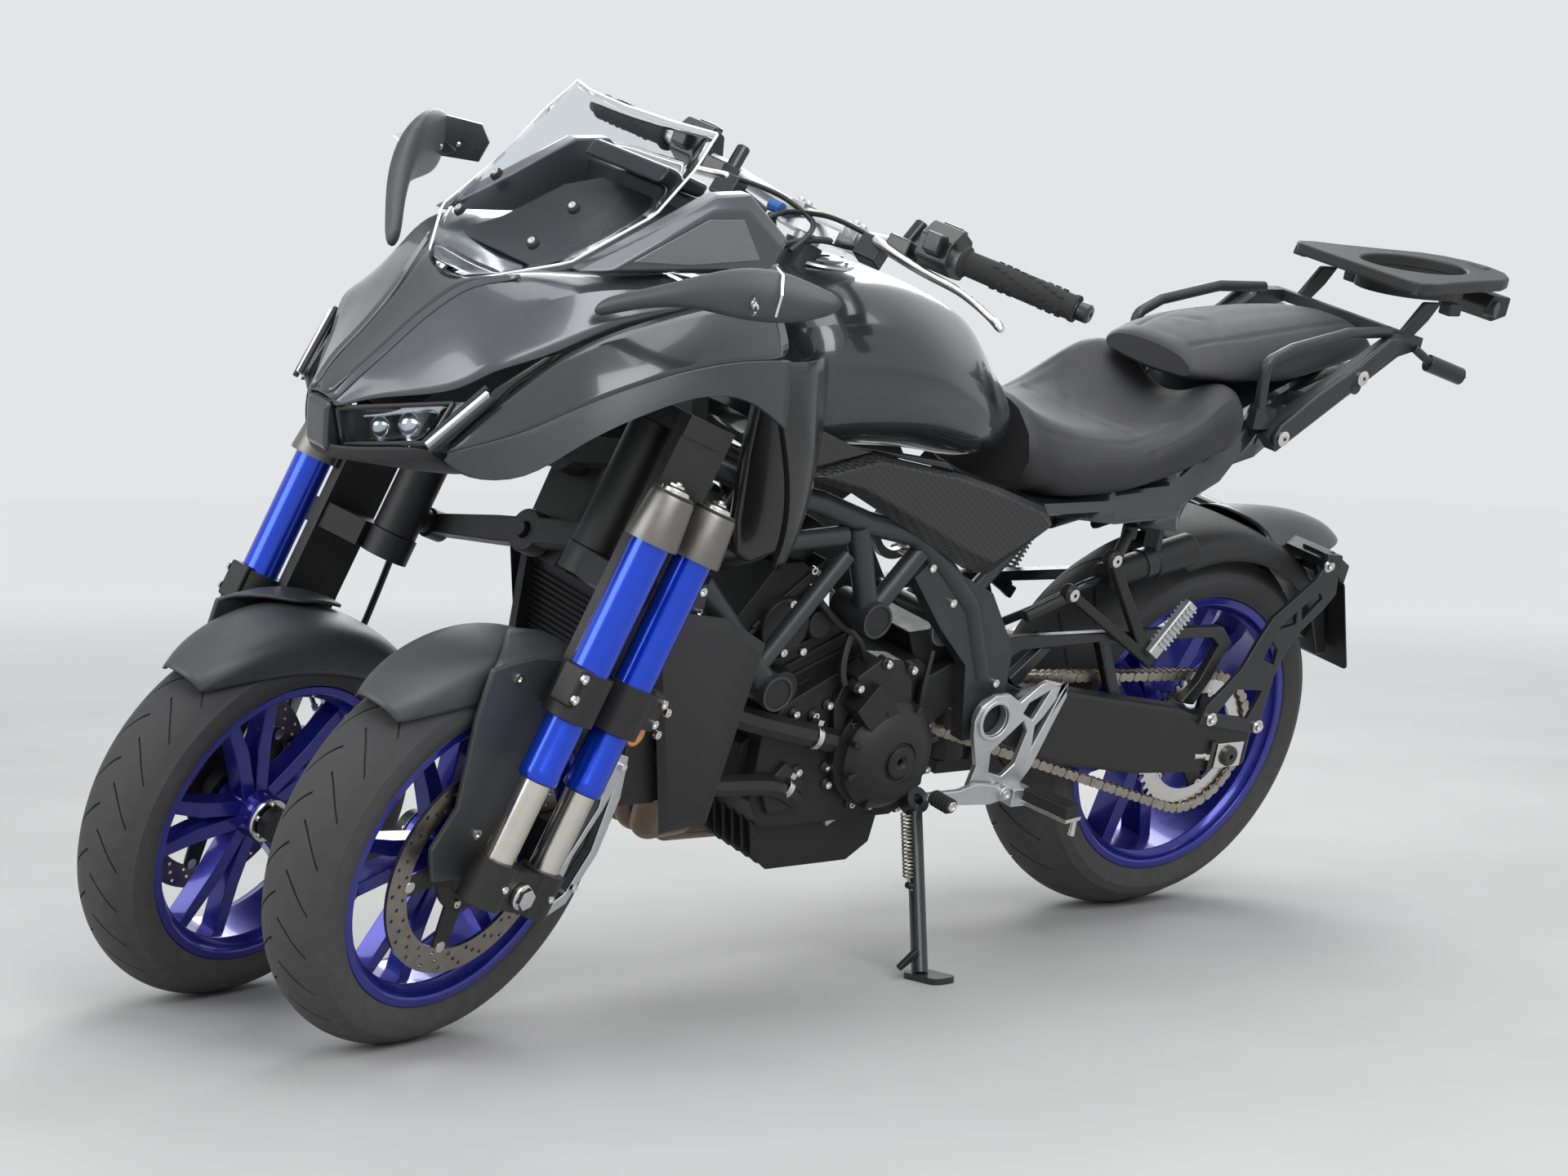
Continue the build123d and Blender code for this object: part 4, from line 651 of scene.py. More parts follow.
# ------------------------------------------------------------------ front corners
CLAMP_HEIGHTS, CAP_HEIGHTS, CLAMP_R, CAP_TOP_R = (230, 295), (470, 538), 34, 27
STAY = [(-60, 205), (-88, 205), (-112, 150), (-120, 70), (-104, -4), (-72, -30), (-50, -22), (-62, 60), (-76, 130),
        (-62, 175)]
STAY_HOLE = [(-90, 150), (-104, 72), (-92, 10), (-74, -8), (-72, 60), (-88, 130)]
GUARD = [(160, 251), (148, 188), (104, 72), (116, 12), (86, -28), (2, -8), (-6, 60), (-6, 123), (4, 262), (40, 290),
         (84, 284), (126, 268)]
GUARD_SHOULDER = ((78, 288, 33, -1), (75, 297, 32, -1), (66, 303, 29, -1.5), (38, 305, 22, -1.5), (8, 305, 16, -1.5))
# The fender's section at each angle about the axle: half width, height of the crown, drop of the sides.
FENDER = ((-27, 58, 300, 30), (-14, 64, 299, 44), (0, 66, 298, 50), (14, 66, 298, 50), (28, 65, 299, 42),
          (42, 60, 300, 30), (52, 50, 301, 16), (58, 38, 300, 6))


def pierced(bm, outline, hole, near, far, place=Matrix()):
    """A plate with a hole, in the side view."""
    edges = []
    for points in (outline, hole):
        edges += ring_loop(bm, [(x, near, z) for x, z in points])[1]
    faces = [g for g in bmesh.ops.triangle_fill(bm, use_beauty=True, edges=edges)["geom"]
             if isinstance(g, bmesh.types.BMFace)]
    before = {v for f in faces for v in f.verts}
    made = bmesh.ops.extrude_face_region(bm, geom=faces, use_keep_orig=True)["geom"]
    fresh = [v for v in made if isinstance(v, bmesh.types.BMVert)]
    bmesh.ops.translate(bm, verts=fresh, vec=(0, far - near, 0))
    bmesh.ops.transform(bm, matrix=place, verts=list(before) + fresh)


class TRIKE_OT_forks(bpy.types.Operator):
    """Upside-down fork legs with their caps, clamps and feet"""
    bl_idname = "trike.forks"
    bl_label = "Fork legs"

    def execute(self, context):
        for name, side in SIDES:
            place, body = corner_place(side), f"{name}_fork"
            self.legs(name, side, place, body)
            self.castings(name, side, place, body)
            self.fittings(name, side, place, body)
        return {"FINISHED"}

    def legs(self, name, side, place, body):
        bm = bmesh.new()
        sliders = bmesh.new()
        for x in LEG_X:
            lathe(bm, [(145, SLIDER_R + 0.6), (145, 25.4), (147, 26.4), (159, 26.4), (160.5, LEG_R - 0.4),
                       (475, LEG_R - 0.4), (475, SLIDER_R + 2)], steps=48,
                  place=shift(x, side * LEG_OUT, 0) @ turn(90, "X"))
            lathe(sliders, [(0, 4), (0, SLIDER_R), (160, SLIDER_R), (160, 4)], steps=40,
                  place=shift(x, side * LEG_OUT, 0) @ turn(90, "X"))
        make(f"{name}_leg_tubes", bm, "blue fork", body, place, stands_for=[f"{name}_fork_tubes"])
        make(f"{name}_leg_sliders", sliders, "slider", body, place, stands_for=[f"{name}_fork_sliders"])
        bm = bmesh.new()
        for x in LEG_X:
            lathe(bm, [(143.5, SLIDER_R + 0.3), (143.5, 24.4), (145.2, 25), (145.2, SLIDER_R + 0.3)], steps=40,
                  place=shift(x, side * LEG_OUT, 0) @ turn(90, "X"))
        make(f"{name}_dust_seals", bm, "rubber", body, place)

    def castings(self, name, side, place, body):
        dress(f"{name}_fork_bracket", "black cast", 2, body)
        bm = bmesh.new()
        for x in LEG_X:
            at = shift(x, side * LEG_OUT, 0) @ turn(90, "X")
            lathe(bm, [(470, 27), (470, CLAMP_R + 0.6), (474, CLAMP_R + 1), (530, CAP_TOP_R + 2.2), (533, CAP_TOP_R + 1),
                       (538.6, CAP_TOP_R - 2), (538.6, 5)], steps=48, closed=False, place=at)
        make(f"{name}_leg_caps", bm, "cap alloy", body, place)
        bm = bmesh.new()
        bolts = bmesh.new()
        for x, near in ((104, 86), (-62, -78)):
            block(bm, (min(x, near) - 8, max(x, near) + 6), (side * 112, side * 146), (246, 298))
            for z in (258, 286):
                bolt(bolts, (x if x > 0 else near, side * 146, z), (0, side, 0), 6.5, 4)
        make(f"{name}_clamp_ears", bm, "black cast", body, place, rounded=4)
        make(f"{name}_clamp_bolts", bolts, "bright steel", body, place)
        bm = bmesh.new()
        for x in LEG_X:
            at = shift(x, side * LEG_OUT, 0) @ turn(90, "X")
            lathe(bm, [(538, 3), (538, 19), (543, 18.4), (544, 17), (544, 3)], steps=32, closed=False, place=at)
            rod(bm, (x, side * LEG_OUT, 543), (x, side * LEG_OUT, 549), 11, 10.4, sides=6)
            rod(bm, (x, side * LEG_OUT, 549), (x, side * LEG_OUT, 552), 5, 4, sides=16)
        make(f"{name}_cap_bolts", bm, "bright steel", body, place, rounded=0.6)
        dress(f"{name}_axle_bracket", "black cast", 2.2, body)
        bm = bmesh.new()
        pierced(bm, STAY, STAY_HOLE, side * 112.6, side * 128.2)
        make(f"{name}_stay", bm, "cast alloy", body, place, rounded=2.6)

    def fittings(self, name, side, place, body):
        bm = bmesh.new()
        lathe(bm, [(146, 4), (146, 17.2), (151, 17.2), (153, 15.4), (153, 4)], steps=40, closed=False,
              place=shift(OFFSET, 0, 0) @ (Matrix() if side > 0 else turn(180, "Z")))
        rod(bm, (OFFSET, side * 150, 0), (OFFSET, side * 160, 0), 15.5, 14.5, sides=6)
        outward = (0, side, 0)
        for x, z in ((61, 276), (61, 246), (-113, 277), (-114, 246)):
            bolt(bm, (x * 0.86, side * 142, z), outward, 6.2, 6)
        for x, z in ((-82, 190), (-100, 20), (-66, -18)):
            bolt(bm, (x, side * 128.2, z), outward, 6, 5)
        for x in LEG_X:
            bolt(bm, (x, side * 153, 6), outward, 5.4, 4)
        make(f"{name}_corner_bolts", bm, "bright steel", body, place, rounded=0.5)
        bm = bmesh.new()
        back = Vector((-64, side * 118, 236))
        block(bm, (-68, -30), (side * 112, side * 124), (228, 244))
        lathe(bm, [(0, 2), (0, 19), (4, 20), (9, 20), (9, 2)], steps=40, closed=False,
              place=Matrix.Translation(back + Vector((-14, 0, 0))) @ (Matrix() if side > 0 else turn(180, "Z")))
        make(f"{name}_reflector_holder", bm, "grained plastic", body, place, rounded=1)
        bm = bmesh.new()
        lathe(bm, [(9, 0.5), (9, 17.5), (11.5, 17), (13, 12), (13.2, 0.5)], steps=40, closed=False,
              place=Matrix.Translation(back + Vector((-14, 0, 0))) @ (Matrix() if side > 0 else turn(180, "Z")))
        make(f"{name}_reflector", bm, "amber lens", body, place)


class TRIKE_OT_calipers(bpy.types.Operator):
    """The front brake calipers and their hoses"""
    bl_idname = "trike.calipers"
    bl_label = "Calipers"

    def execute(self, context):
        for name, side in SIDES:
            place, body = corner_place(side), f"{name}_fork"
            at = shift(OFFSET, 0, 0) @ turn(-160, "Y")
            bm = bmesh.new()
            for z in (-28, 28):
                lathe(bm, [(0, 2), (0, 18), (3, 18), (5, 14), (5, 2)], steps=32, closed=False,
                      place=at @ shift(134, side * 91, z) @ (Matrix() if side > 0 else turn(180, "Z")))
            make(f"{name}_caliper_caps", bm, "black cast", body, place, rounded=1)
            bm = bmesh.new()
            for x, z in ((156, -46), (156, 46), (112, 0)):
                bolt(bm, at @ Vector((x, side * 91, z)), (0, side, 0), 5.5, 5)
            make(f"{name}_caliper_bolts", bm, "bright steel", body, place)
            bm = bmesh.new()
            tube(bm, [(-100, side * 88, 60), (-132, side * 92, 110), (-140, side * 90, 190), (-112, side * 70, 300),
                      (-70, side * 44, 392)], 5)
            make(f"{name}_brake_hose", bm, "hose", body, place)
        return {"FINISHED"}


class TRIKE_OT_fenders(bpy.types.Operator):
    """The front fenders with their beaks, and the guards beside the discs"""
    bl_idname = "trike.fenders"
    bl_label = "Fenders"

    def execute(self, context):
        for name, side in SIDES:
            place, body = wheel_place(side), f"{name}_fork"
            bm = bmesh.new()
            stations = []
            for angle, half, crown, drop in FENDER:
                around = turn(angle, "Y")
                section = [(0, crown), (0.42 * half, crown - 1), (0.74 * half, crown - 6), (0.92 * half, crown - 16),
                           (half, crown - 16 - 0.45 * drop), (half - 1, crown - 18 - drop)]
                full = [(-y, z) for y, z in reversed(section[1:])] + section
                stations.append([around @ Vector((0, y, z)) for y, z in full])
            skin(bm, stations)
            outward(bm)
            make(f"{name}_fender_skin", bm, "matt grey", body, place, smooth=2, wall=3.5,
                 stands_for=[f"{name}_fender"])
            bm = bmesh.new()
            slab(bm, GUARD, side * 70, side * 78)
            block(bm, (-50, 24), (side * 65, side * 75.7), (252, 284))
            make(f"{name}_disc_guard", bm, "matt grey", body, place, rounded=3)
            bm = bmesh.new()
            rows = []
            for y, radius, front, back in GUARD_SHOULDER:
                swings = [radians(back + (front - back) * k / 6) for k in range(7)]
                rows.append([(radius * sin(a), side * y, radius * cos(a)) for a in swings])
            skin(bm, rows)
            outward(bm)
            make(f"{name}_guard_shoulder", bm, "matt grey", body, place, smooth=1, wall=4)
            bm = bmesh.new()
            for x, z in ((108, 250), (46, 46)):
                bolt(bm, (x, side * 77.4, z), (0, side, 0), 7.5, 3)
            make(f"{name}_guard_bolts", bm, "bright steel", body, place)
        return {"FINISHED"}


# ------------------------------------------------------------------ fairing
WING = {
    1553: [(168, 840), (172, 836), (170, 830)],
    1530: [(178, 876), (198, 853), (188, 808)],
    1480: [(200, 932), (230, 880), (244, 822)],
    1440: [(212, 972), (264, 920), (286, 885)],
    1380: [(228, 1010), (286, 954), (304, 922)],
    1290: [(240, 1040), (294, 982), (309, 955)],
    1200: [(236, 1058), (290, 992), (300, 950)],
    1120: [(220, 1058), (272, 985), (286, 900)],
}
WING_BACK = {
    985: [(1145, 273), (1060, 262), (1008, 216)],
    900: [(1124, 286), (1060, 278), (1008, 230)],
    830: [(1092, 284), (1040, 274), (1000, 226)],
    750: [(1068, 270), (1030, 256), (1000, 215)],
    690: [(1052, 236), (1030, 232), (1012, 205)],
}
HOOD = {
    1634: [(0, 866), (26, 862), (30, 859.4), (33, 855)],
    1607: [(0, 898), (36, 902), (48, 889), (60, 875)],
    1577: [(0, 925), (38, 929), (68, 912), (98, 890)],
    1536: [(0, 970), (43, 975), (98, 948), (150, 910)],
    1514: [(0, 993), (52, 997), (116, 972), (178, 945)],
    1486: [(0, 1022), (66, 1028), (128, 1000), (188, 956)],
    1440: [(0, 1034), (108, 1046), (160, 1030), (204.6, 976)],
    1380: [(0, 1044), (140, 1060), (198, 1058), (220.6, 1012)],
    1290: [(0, 1052), (150, 1064), (212, 1060), (232.6, 1040)],
    1240: [(0, 1056), (150, 1066), (214, 1064), (230.4, 1050)],
}


def outward(bm, centre=(0, 0, 0)):
    """Turn each open shell's faces away from a point inside it."""
    bmesh.ops.recalc_face_normals(bm, faces=bm.faces)
    left = set(bm.faces)
    while left:
        island = [left.pop()]
        for face in island:
            near = {other for edge in face.edges for other in edge.link_faces} & left
            left -= near
            island += near
        total = sum(f.normal.dot(f.calc_center_median() - Vector(centre)) * f.calc_area() for f in island)
        if total < 0:
            bmesh.ops.reverse_faces(bm, faces=island)


def crease(bm, rails, amount=0.8):
    """Hold an edge sharp under the smoothing where it joins two points of the listed rails."""
    layer = bm.edges.layers.float.get("crease_edge") or bm.edges.layers.float.new("crease_edge")
    kept = {tuple(round(c, 1) for c in p) for p in rails}
    for edge in bm.edges:
        if all(tuple(round(c, 1) for c in v.co) in kept for v in edge.verts):
            edge[layer] = amount


def shell(name, rows, finish, centre, sharp=(), both=True, wall=4, smooth=2, stands_for=(), amount=0.8):
    """A thin panel drawn through rows of points, on one side of the machine or on both."""
    bm = bmesh.new()
    skin(bm, rows)
    if both:
        bmesh.ops.mirror(bm, geom=list(bm.verts) + list(bm.edges) + list(bm.faces), axis="Y", merge_dist=0.05)
    outward(bm, centre)
    for rail in sharp:
        for side in (1, -1):
            crease(bm, [(x, side * y, z) for x, y, z in rail], amount)
    return make(name, bm, finish, "chassis", smooth=smooth, wall=wall, stands_for=stands_for)


def rail(table, column):
    """One line of a table of stations, as points."""
    return [(x, *points[column]) for x, points in table.items()]


class TRIKE_OT_nose(bpy.types.Operator):
    """The hood of the nose, the chin, the lamps and the light strips"""
    bl_idname = "trike.nose"
    bl_label = "Nose and lamps"

    def execute(self, context):
        rows = [[(x, y, z) for y, z in points] for x, points in HOOD.items()]
        shell("hood", rows, "graphite paint", (1400, 0, 800), sharp=[rail(HOOD, 1), rail(HOOD, 2), rail(HOOD, 3)],
              wall=5, stands_for=["nose_fairing"], amount=0.75)
        self.blade()
        self.lamps()
        self.chin()
        return {"FINISHED"}

    def blade(self):
        """The darker strip down the middle of the nose."""
        rows = []
        for x, points in list(HOOD.items())[:7]:
            (_, top), (y, z) = points[0], points[1]
            rows.append([(x + 0.6, 0, top + 2.2), (x + 0.6, y - 9, z + (top - z) * 9 / y + 1.2)])
        shell("nose_blade", rows, "tank paint", (1400, 0, 800), wall=2)
        rows = []
        for x, points in list(HOOD.items())[:7]:
            y, z = points[1]
            rows.append([(x + 1, y - 9, z - 0.4), (x + 2.4, y - 2, z + 3.4), (x + 1, y + 5, z - 2.6)])
        shell("nose_ridges", rows, "graphite paint", (1400, 0, 800), wall=2, sharp=[[r[1] for r in rows]])

    def lamps(self):
        for name, side in SIDES:
            corners = [(1612, 30, 806), (1628, 31, 853), (1540, 149, 895), (1567, 149, 844)]
            back = bmesh.new()
            inner = [back.verts.new((x - 44, side * y, z)) for x, y, z in corners]
            outer = [back.verts.new((x - 4, side * y, z)) for x, y, z in corners]
            back.faces.new(inner)
            for a in range(4):
                back.faces.new((inner[a], inner[(a + 1) % 4], outer[(a + 1) % 4], outer[a]))
            make(f"{name}_lamp_bowl", back, "dark panel", "chassis", wall=2)
            glass = bmesh.new()
            made = glass.faces.new([glass.verts.new((x, side * y, z)) for x, y, z in corners])
            bmesh.ops.subdivide_edges(glass, edges=glass.edges, cuts=4, use_grid_fill=True)
            outward(glass, (1400, side * 90, 850))
            make(f"{name}_lamp_lens", glass, "lamp glass", "chassis", wall=2.2,
                 stands_for=["headlights"] if side > 0 else ())
            bezel = bmesh.new()
            for a in range(4):
                (x0, y0, z0), (x1, y1, z1) = corners[a], corners[(a + 1) % 4]
                rod(bezel, (x0 - 1, side * y0, z0), (x1 - 1, side * y1, z1), 3.4, sides=10)
            make(f"{name}_lamp_bezel", bezel, "dark panel", "chassis")
            bowls = bmesh.new()
            for at, size in (((1576, 58, 838), 15), ((1556, 92, 850), 17), ((1540, 122, 862), 12)):
                spot = Vector((at[0], side * at[1], at[2]))
                bmesh.ops.create_uvsphere(bowls, u_segments=24, v_segments=12, radius=size,
                                          matrix=Matrix.Translation(spot))
            make(f"{name}_lamp_bulbs", bowls, "reflector", "chassis")
            trim = bmesh.new()
            rod(trim, (1592, side * 40, 846), (1530, side * 138, 886), 3, sides=10)
            rod(trim, (1588, side * 44, 816), (1548, side * 136, 846), 3, sides=10)
            make(f"{name}_lamp_trim", trim, "reflector", "chassis")
            strip = bmesh.new()
            slab(strip, [(1576, 846), (1568, 839), (1514, 914), (1520, 922)], side * 153, side * 160)
            bmesh.ops.transform(strip, matrix=Matrix(((1, 0, 0, 0), (0, 1, side * 0.42, -side * 0.42 * 846), (0, 0, 1, 0),
                                                      (0, 0, 0, 1))), verts=strip.verts)
            make(f"{name}_light_strip", strip, "lamp strip", "chassis", rounded=1)
            edge = bmesh.new()
            rod(edge, (1573, side * 164, 838), (1514, side * 196, 916), 4, sides=10)
            rod(edge, (1574, side * 151, 846), (1516, side * 181, 925), 4, sides=10)
            make(f"{name}_strip_edges", edge, "grained plastic", "chassis")
            cheek = bmesh.new()
            stations = [[(1568, 158, 834), (1500, 158, 834)], [(1553, 170, 862), (1490, 166, 862)],
                        [(1530, 180, 890), (1470, 176, 890)], [(1508, 189, 924), (1450, 186, 930)],
                        [(1450, 200, 968), (1420, 198, 975)]]
            skin(cheek, [[(x, side * y, z) for x, y, z in row] for row in stations])
            outward(cheek, (1400, 0, 850))
            make(f"{name}_cheek", cheek, "dark panel", "chassis", wall=3)

    def chin(self):
        rows = [[(1632, 0, 804), (1630, 0, 787), (1560, 0, 779)], [(1627, 36, 804), (1624, 36, 787), (1550, 36, 778)],
                [(1596, 96, 822), (1590, 96, 804), (1520, 96, 788)],
                [(1560, 150, 839), (1554, 150, 824), (1480, 150, 800)]]
        shell("chin", rows, "grained plastic", (1400, 0, 830), sharp=[[r[0] for r in rows], [r[1] for r in rows]],
              wall=3)
        fin = bmesh.new()
        slab(fin, [(1634, 860), (1640, 852), (1634, 800), (1626, 792), (1600, 800), (1600, 852)], -24, 24)
        make("nose_fin", fin, "tank paint", "chassis", rounded=5)


class TRIKE_OT_wings(bpy.types.Operator):
    """The side wings: a glossy upper panel and a matt band that sweeps over the fork"""
    bl_idname = "trike.wings"
    bl_label = "Side wings"

    def execute(self, context):
        upper = [[(x, y, z) for y, z in points[:2]] for x, points in WING.items()]
        rows = []
        for (x, y0, z0), (_, y1, z1) in upper:
            rows.append([(x, y0, z0), (x, y0 * 0.35 + y1 * 0.65 + 2, z0 * 0.4 + z1 * 0.6 + 2), (x, y1 - 1, z1 + 3)])
        shell("wing_panels", rows, "tank paint", (1340, 0, 900), sharp=[[r[2] for r in rows], [r[0] for r in rows]],
              wall=4, stands_for=["side_fairings"])
        rows = []
        for x, points in WING.items():
            (y1, z1), (y2, z2) = points[1:]
            rows.append([(x, y1 - 4, z1 + 3), (x, y1 + 1, z1 + 1), (x, (y1 + y2) / 2 + 2, (z1 + z2) / 2 + 1),
                         (x, y2, z2), (x, y2 - 6, z2 - 2)])
        shell("wing_bands", rows, "matt grey", (1340, 0, 900), sharp=[[r[1] for r in rows], [r[3] for r in rows]],
              wall=4)
        rows = []
        for z, points in WING_BACK.items():
            (x0, y0), (x1, y1), (x2, y2) = points
            rows.append([(x0 + 3, y0 - 8, z), (x0, y0, z), ((x0 + x1) / 2, (y0 + y1) / 2 + 3, z), (x1, y1, z),
                         (x2, y2, z)])
        shell("wing_backs", rows, "dark panel", (1100, 0, 850), sharp=[[r[1] for r in rows]], wall=4)
        return {"FINISHED"}


SCREEN = {
    1030: [(1490, 0), (1484, 30), (1470, 58)],
    1076: [(1436, 0), (1424, 80), (1400, 148)],
    1146: [(1350, 0), (1336, 95), (1298, 170)],
    1206: [(1290, 0), (1280, 95), (1248, 170)],
    1250: [(1248, 0), (1238, 90), (1212, 156)],
}


class TRIKE_OT_screen(bpy.types.Operator):
    """The clear windscreen with its bolts, and the raised panels beside it"""
    bl_idname = "trike.screen"
    bl_label = "Windscreen"

    def execute(self, context):
        rows = [[(x, y, z) for x, y in half] for z, half in SCREEN.items()]
        edge = rows[0] + [r[-1] for r in rows] + rows[-1]
        shell("screen_sheet", rows, "smoked screen", (1200, 0, 1080), sharp=[edge], wall=4, smooth=2,
              stands_for=["windscreen"], amount=1.0)
        # A thin near-white tube in the light strip's finish runs round the clear screen's edge: a painted highlight for
        # the glint along the edge.
        rim = bmesh.new()
        outline = [r[-1] for r in rows]
        both = [(x, -y, z) for x, y, z in reversed(outline)]
        top = [(x, y, z) for x, y, z in reversed(rows[-1])] + [(x, -y, z) for x, y, z in rows[-1][1:]]
        tube(rim, outline, 1.9, sides=8, sharp=True)
        tube(rim, both, 1.9, sides=8, sharp=True)
        tube(rim, top, 1.9, sides=8, sharp=True)
        make("screen_rim", rim, "lamp strip", "chassis")
        bolts = bmesh.new()
        for side in (1, -1):
            for x, y, z in ((1412, 84, 1082), (1362, 88, 1130)):
                along = Vector((0.72, side * 0.2, 0.66))
                rod(bolts, (x, side * y, z), Vector((x, side * y, z)) + along * 7, 9, 8.4, sides=24)
        make("screen_grommets", bolts, "rubber", "chassis", rounded=1)
        heads = bmesh.new()
        for side in (1, -1):
            for x, y, z in ((1412, 84, 1082), (1362, 88, 1130)):
                along = Vector((0.72, side * 0.2, 0.66))
                bolt(heads, Vector((x, side * y, z)) + along * 7, along, 5.4, 2.4)
        make("screen_bolts", heads, "bright steel", "chassis")
        self.surround()
        return {"FINISHED"}

    def surround(self):
        outer = [(1400, 1069), (1300, 1122), (1205, 1174), (1150, 1178), (1075, 1122), (1090, 1074), (1240, 1072)]
        inner = [(1362, 1074), (1290, 1114), (1216, 1156), (1160, 1160), (1096, 1114), (1104, 1084), (1240, 1078)]
        for name, side in SIDES:
            bm = bmesh.new()
            before = [bm.verts.new((x, side * 146, z)) for x, z in outer]
            mid = [bm.verts.new((x, side * 168, z)) for x, z in outer]
            near = [bm.verts.new((x, side * 182, z)) for x, z in inner]
            for a in range(len(outer)):
                b = (a + 1) % len(outer)
                bm.faces.new((before[a], before[b], mid[b], mid[a]))
                bm.faces.new((mid[a], mid[b], near[b], near[a]))
            bm.faces.new(near)
            bm.faces.new(list(reversed(before)))
            make(f"{name}_raised_panel", bm, "graphite paint", "chassis", rounded=4,
                 stands_for=["screen_surround"] if side > 0 else ())
            bm = bmesh.new()
            slab(bm, [(1330, 1088), (1222, 1146), (1166, 1148), (1128, 1096), (1240, 1086)], side * 182, side * 184.4)
            make(f"{name}_panel_inset", bm, "pale inset", "chassis", rounded=1.4)
        bm = bmesh.new()
        slab(bm, [(1400, 1050), (1330, 1074), (1240, 1120), (1180, 1132), (1150, 1120), (1150, 1090), (1240, 1058),
                  (1390, 1046)], -110, 110)
        block(bm, (1120, 1180), (-150, 150), (1096, 1150))
        make("dash_pod", bm, "grained plastic", "chassis", rounded=8)
        bm = bmesh.new()
        slab(bm, [(1238, 1168), (1222, 1190), (1150, 1168), (1160, 1150)], -84, 84)
        make("instrument_hood", bm, "dark panel", "chassis", rounded=6)


class TRIKE_OT_mirrors(bpy.types.Operator):
    """The mirrors on their stalks, with indicators in the fronts"""
    bl_idname = "trike.mirrors"
    bl_label = "Mirrors"

    def execute(self, context):
        heads = {
            1: ((1398, 218, 1036, 12, 14), (1384, 240, 1050, 13, 16), (1352, 282, 1072, 14, 20), (1316, 322, 1090, 24, 26),
                (1286, 352, 1096, 34, 30), (1256, 380, 1098, 34, 30), (1228, 406, 1098, 26, 24), (1196, 434, 1102, 8, 10)),
            -1: ((1420, 214, 1004, 14, 16), (1408, 240, 1040, 14, 18), (1388, 272, 1082, 16, 24), (1358, 300, 1110, 44, 34),
                 (1330, 326, 1116, 50, 38), (1300, 352, 1116, 51, 36), (1272, 378, 1113, 48, 30), (1250, 400, 1110, 38, 16))}
        for name, side in SIDES:
            rows = []
            for x, y, z, tall, deep in heads[side]:
                ring = []
                for step in range(10):
                    angle = 2 * pi * step / 10
                    ring.append((x + deep * cos(angle) * (1 if cos(angle) > 0 else 0.6), side * y,
                                 z + tall * sin(angle) - 0.25 * deep * cos(angle)))
                rows.append(ring)
            bm = bmesh.new()
            skin(bm, rows, closed=True, caps=True)
            make(f"{name}_mirror_body", bm, "matt grey", "chassis", smooth=2,
                 stands_for=["mirrors"] if side > 0 else ())
            lift = 0 if side > 0 else 20
            lens = bmesh.new()
            slab(lens, [(-50, 0), (-34, 9), (30, 9), (48, 0), (30, -8), (-34, -9)], 0, 3)
            self.face(lens, (1290, side * 378, 1090 + lift), side)
            make(f"{name}_indicator", lens, "lamp glass", "chassis", rounded=1.2)
            bulbs = bmesh.new()
            for along in (-24, -4, 16):
                bmesh.ops.create_uvsphere(bulbs, u_segments=16, v_segments=8, radius=4.4,
                                          matrix=Matrix.Translation((along, -1, 0)))
            self.face(bulbs, (1290, side * 378, 1090 + lift), side)
            make(f"{name}_indicator_leds", bulbs, "reflector", "chassis")
            glass = bmesh.new()
            slab(glass, [(-46, 18), (-20, 30), (36, 30), (52, 8), (40, -22), (-30, -28), (-48, -6)], 0, 3)
            self.face(glass, (1250, side * 362, 1100 + lift), side, back=True)
            make(f"{name}_mirror_glass", glass, "mirror glass", "chassis")
        return {"FINISHED"}

    def face(self, bm, spot, side, back=False):
        """Stand a small plate, drawn in the side view, on the mirror's front or back."""
        swing = turn(side * (58 if not back else 62), "Z") if side > 0 else turn(-58 if not back else -62, "Z")
        flip = turn(180, "Z") if back else Matrix()
        bmesh.ops.transform(bm, matrix=Matrix.Translation(spot) @ swing @ flip @ turn(180 if side > 0 else 0, "Z"),
                            verts=bm.verts)


# ------------------------------------------------------------------ tank and seats
TANK = {
    1012: [(0, 1030), (60, 1028), (110, 1020), (160, 998), (180, 960), (184, 900), (150, 806)],
    950: [(0, 1052), (60, 1050), (108, 1040), (164, 1012), (188, 970), (192, 905), (150, 806)],
    880: [(0, 1058), (58, 1056), (104, 1047), (166, 1018), (196, 975), (200, 915), (148, 806)],
    820: [(0, 1056), (56, 1054), (100, 1046), (162, 1016), (196, 972), (202, 918), (147, 803)],
    760: [(0, 1046), (54, 1044), (94, 1036), (152, 1004), (186, 962), (198, 915), (146, 800)],
    700: [(0, 1028), (50, 1026), (88, 1018), (138, 984), (170, 940), (184, 896), (144, 794)],
    640: [(0, 1004), (46, 1002), (80, 994), (122, 958), (152, 915), (168, 872), (140, 785)],
    600: [(0, 972), (42, 970), (72, 960), (104, 926), (132, 890), (148, 852), (120, 788)],
    560: [(0, 926), (40, 924), (66, 914), (92, 886), (112, 862), (122, 838), (100, 790)],
    512: [(0, 893), (36, 891), (56, 885), (70, 876), (80, 868), (84, 860), (62, 802)],
}
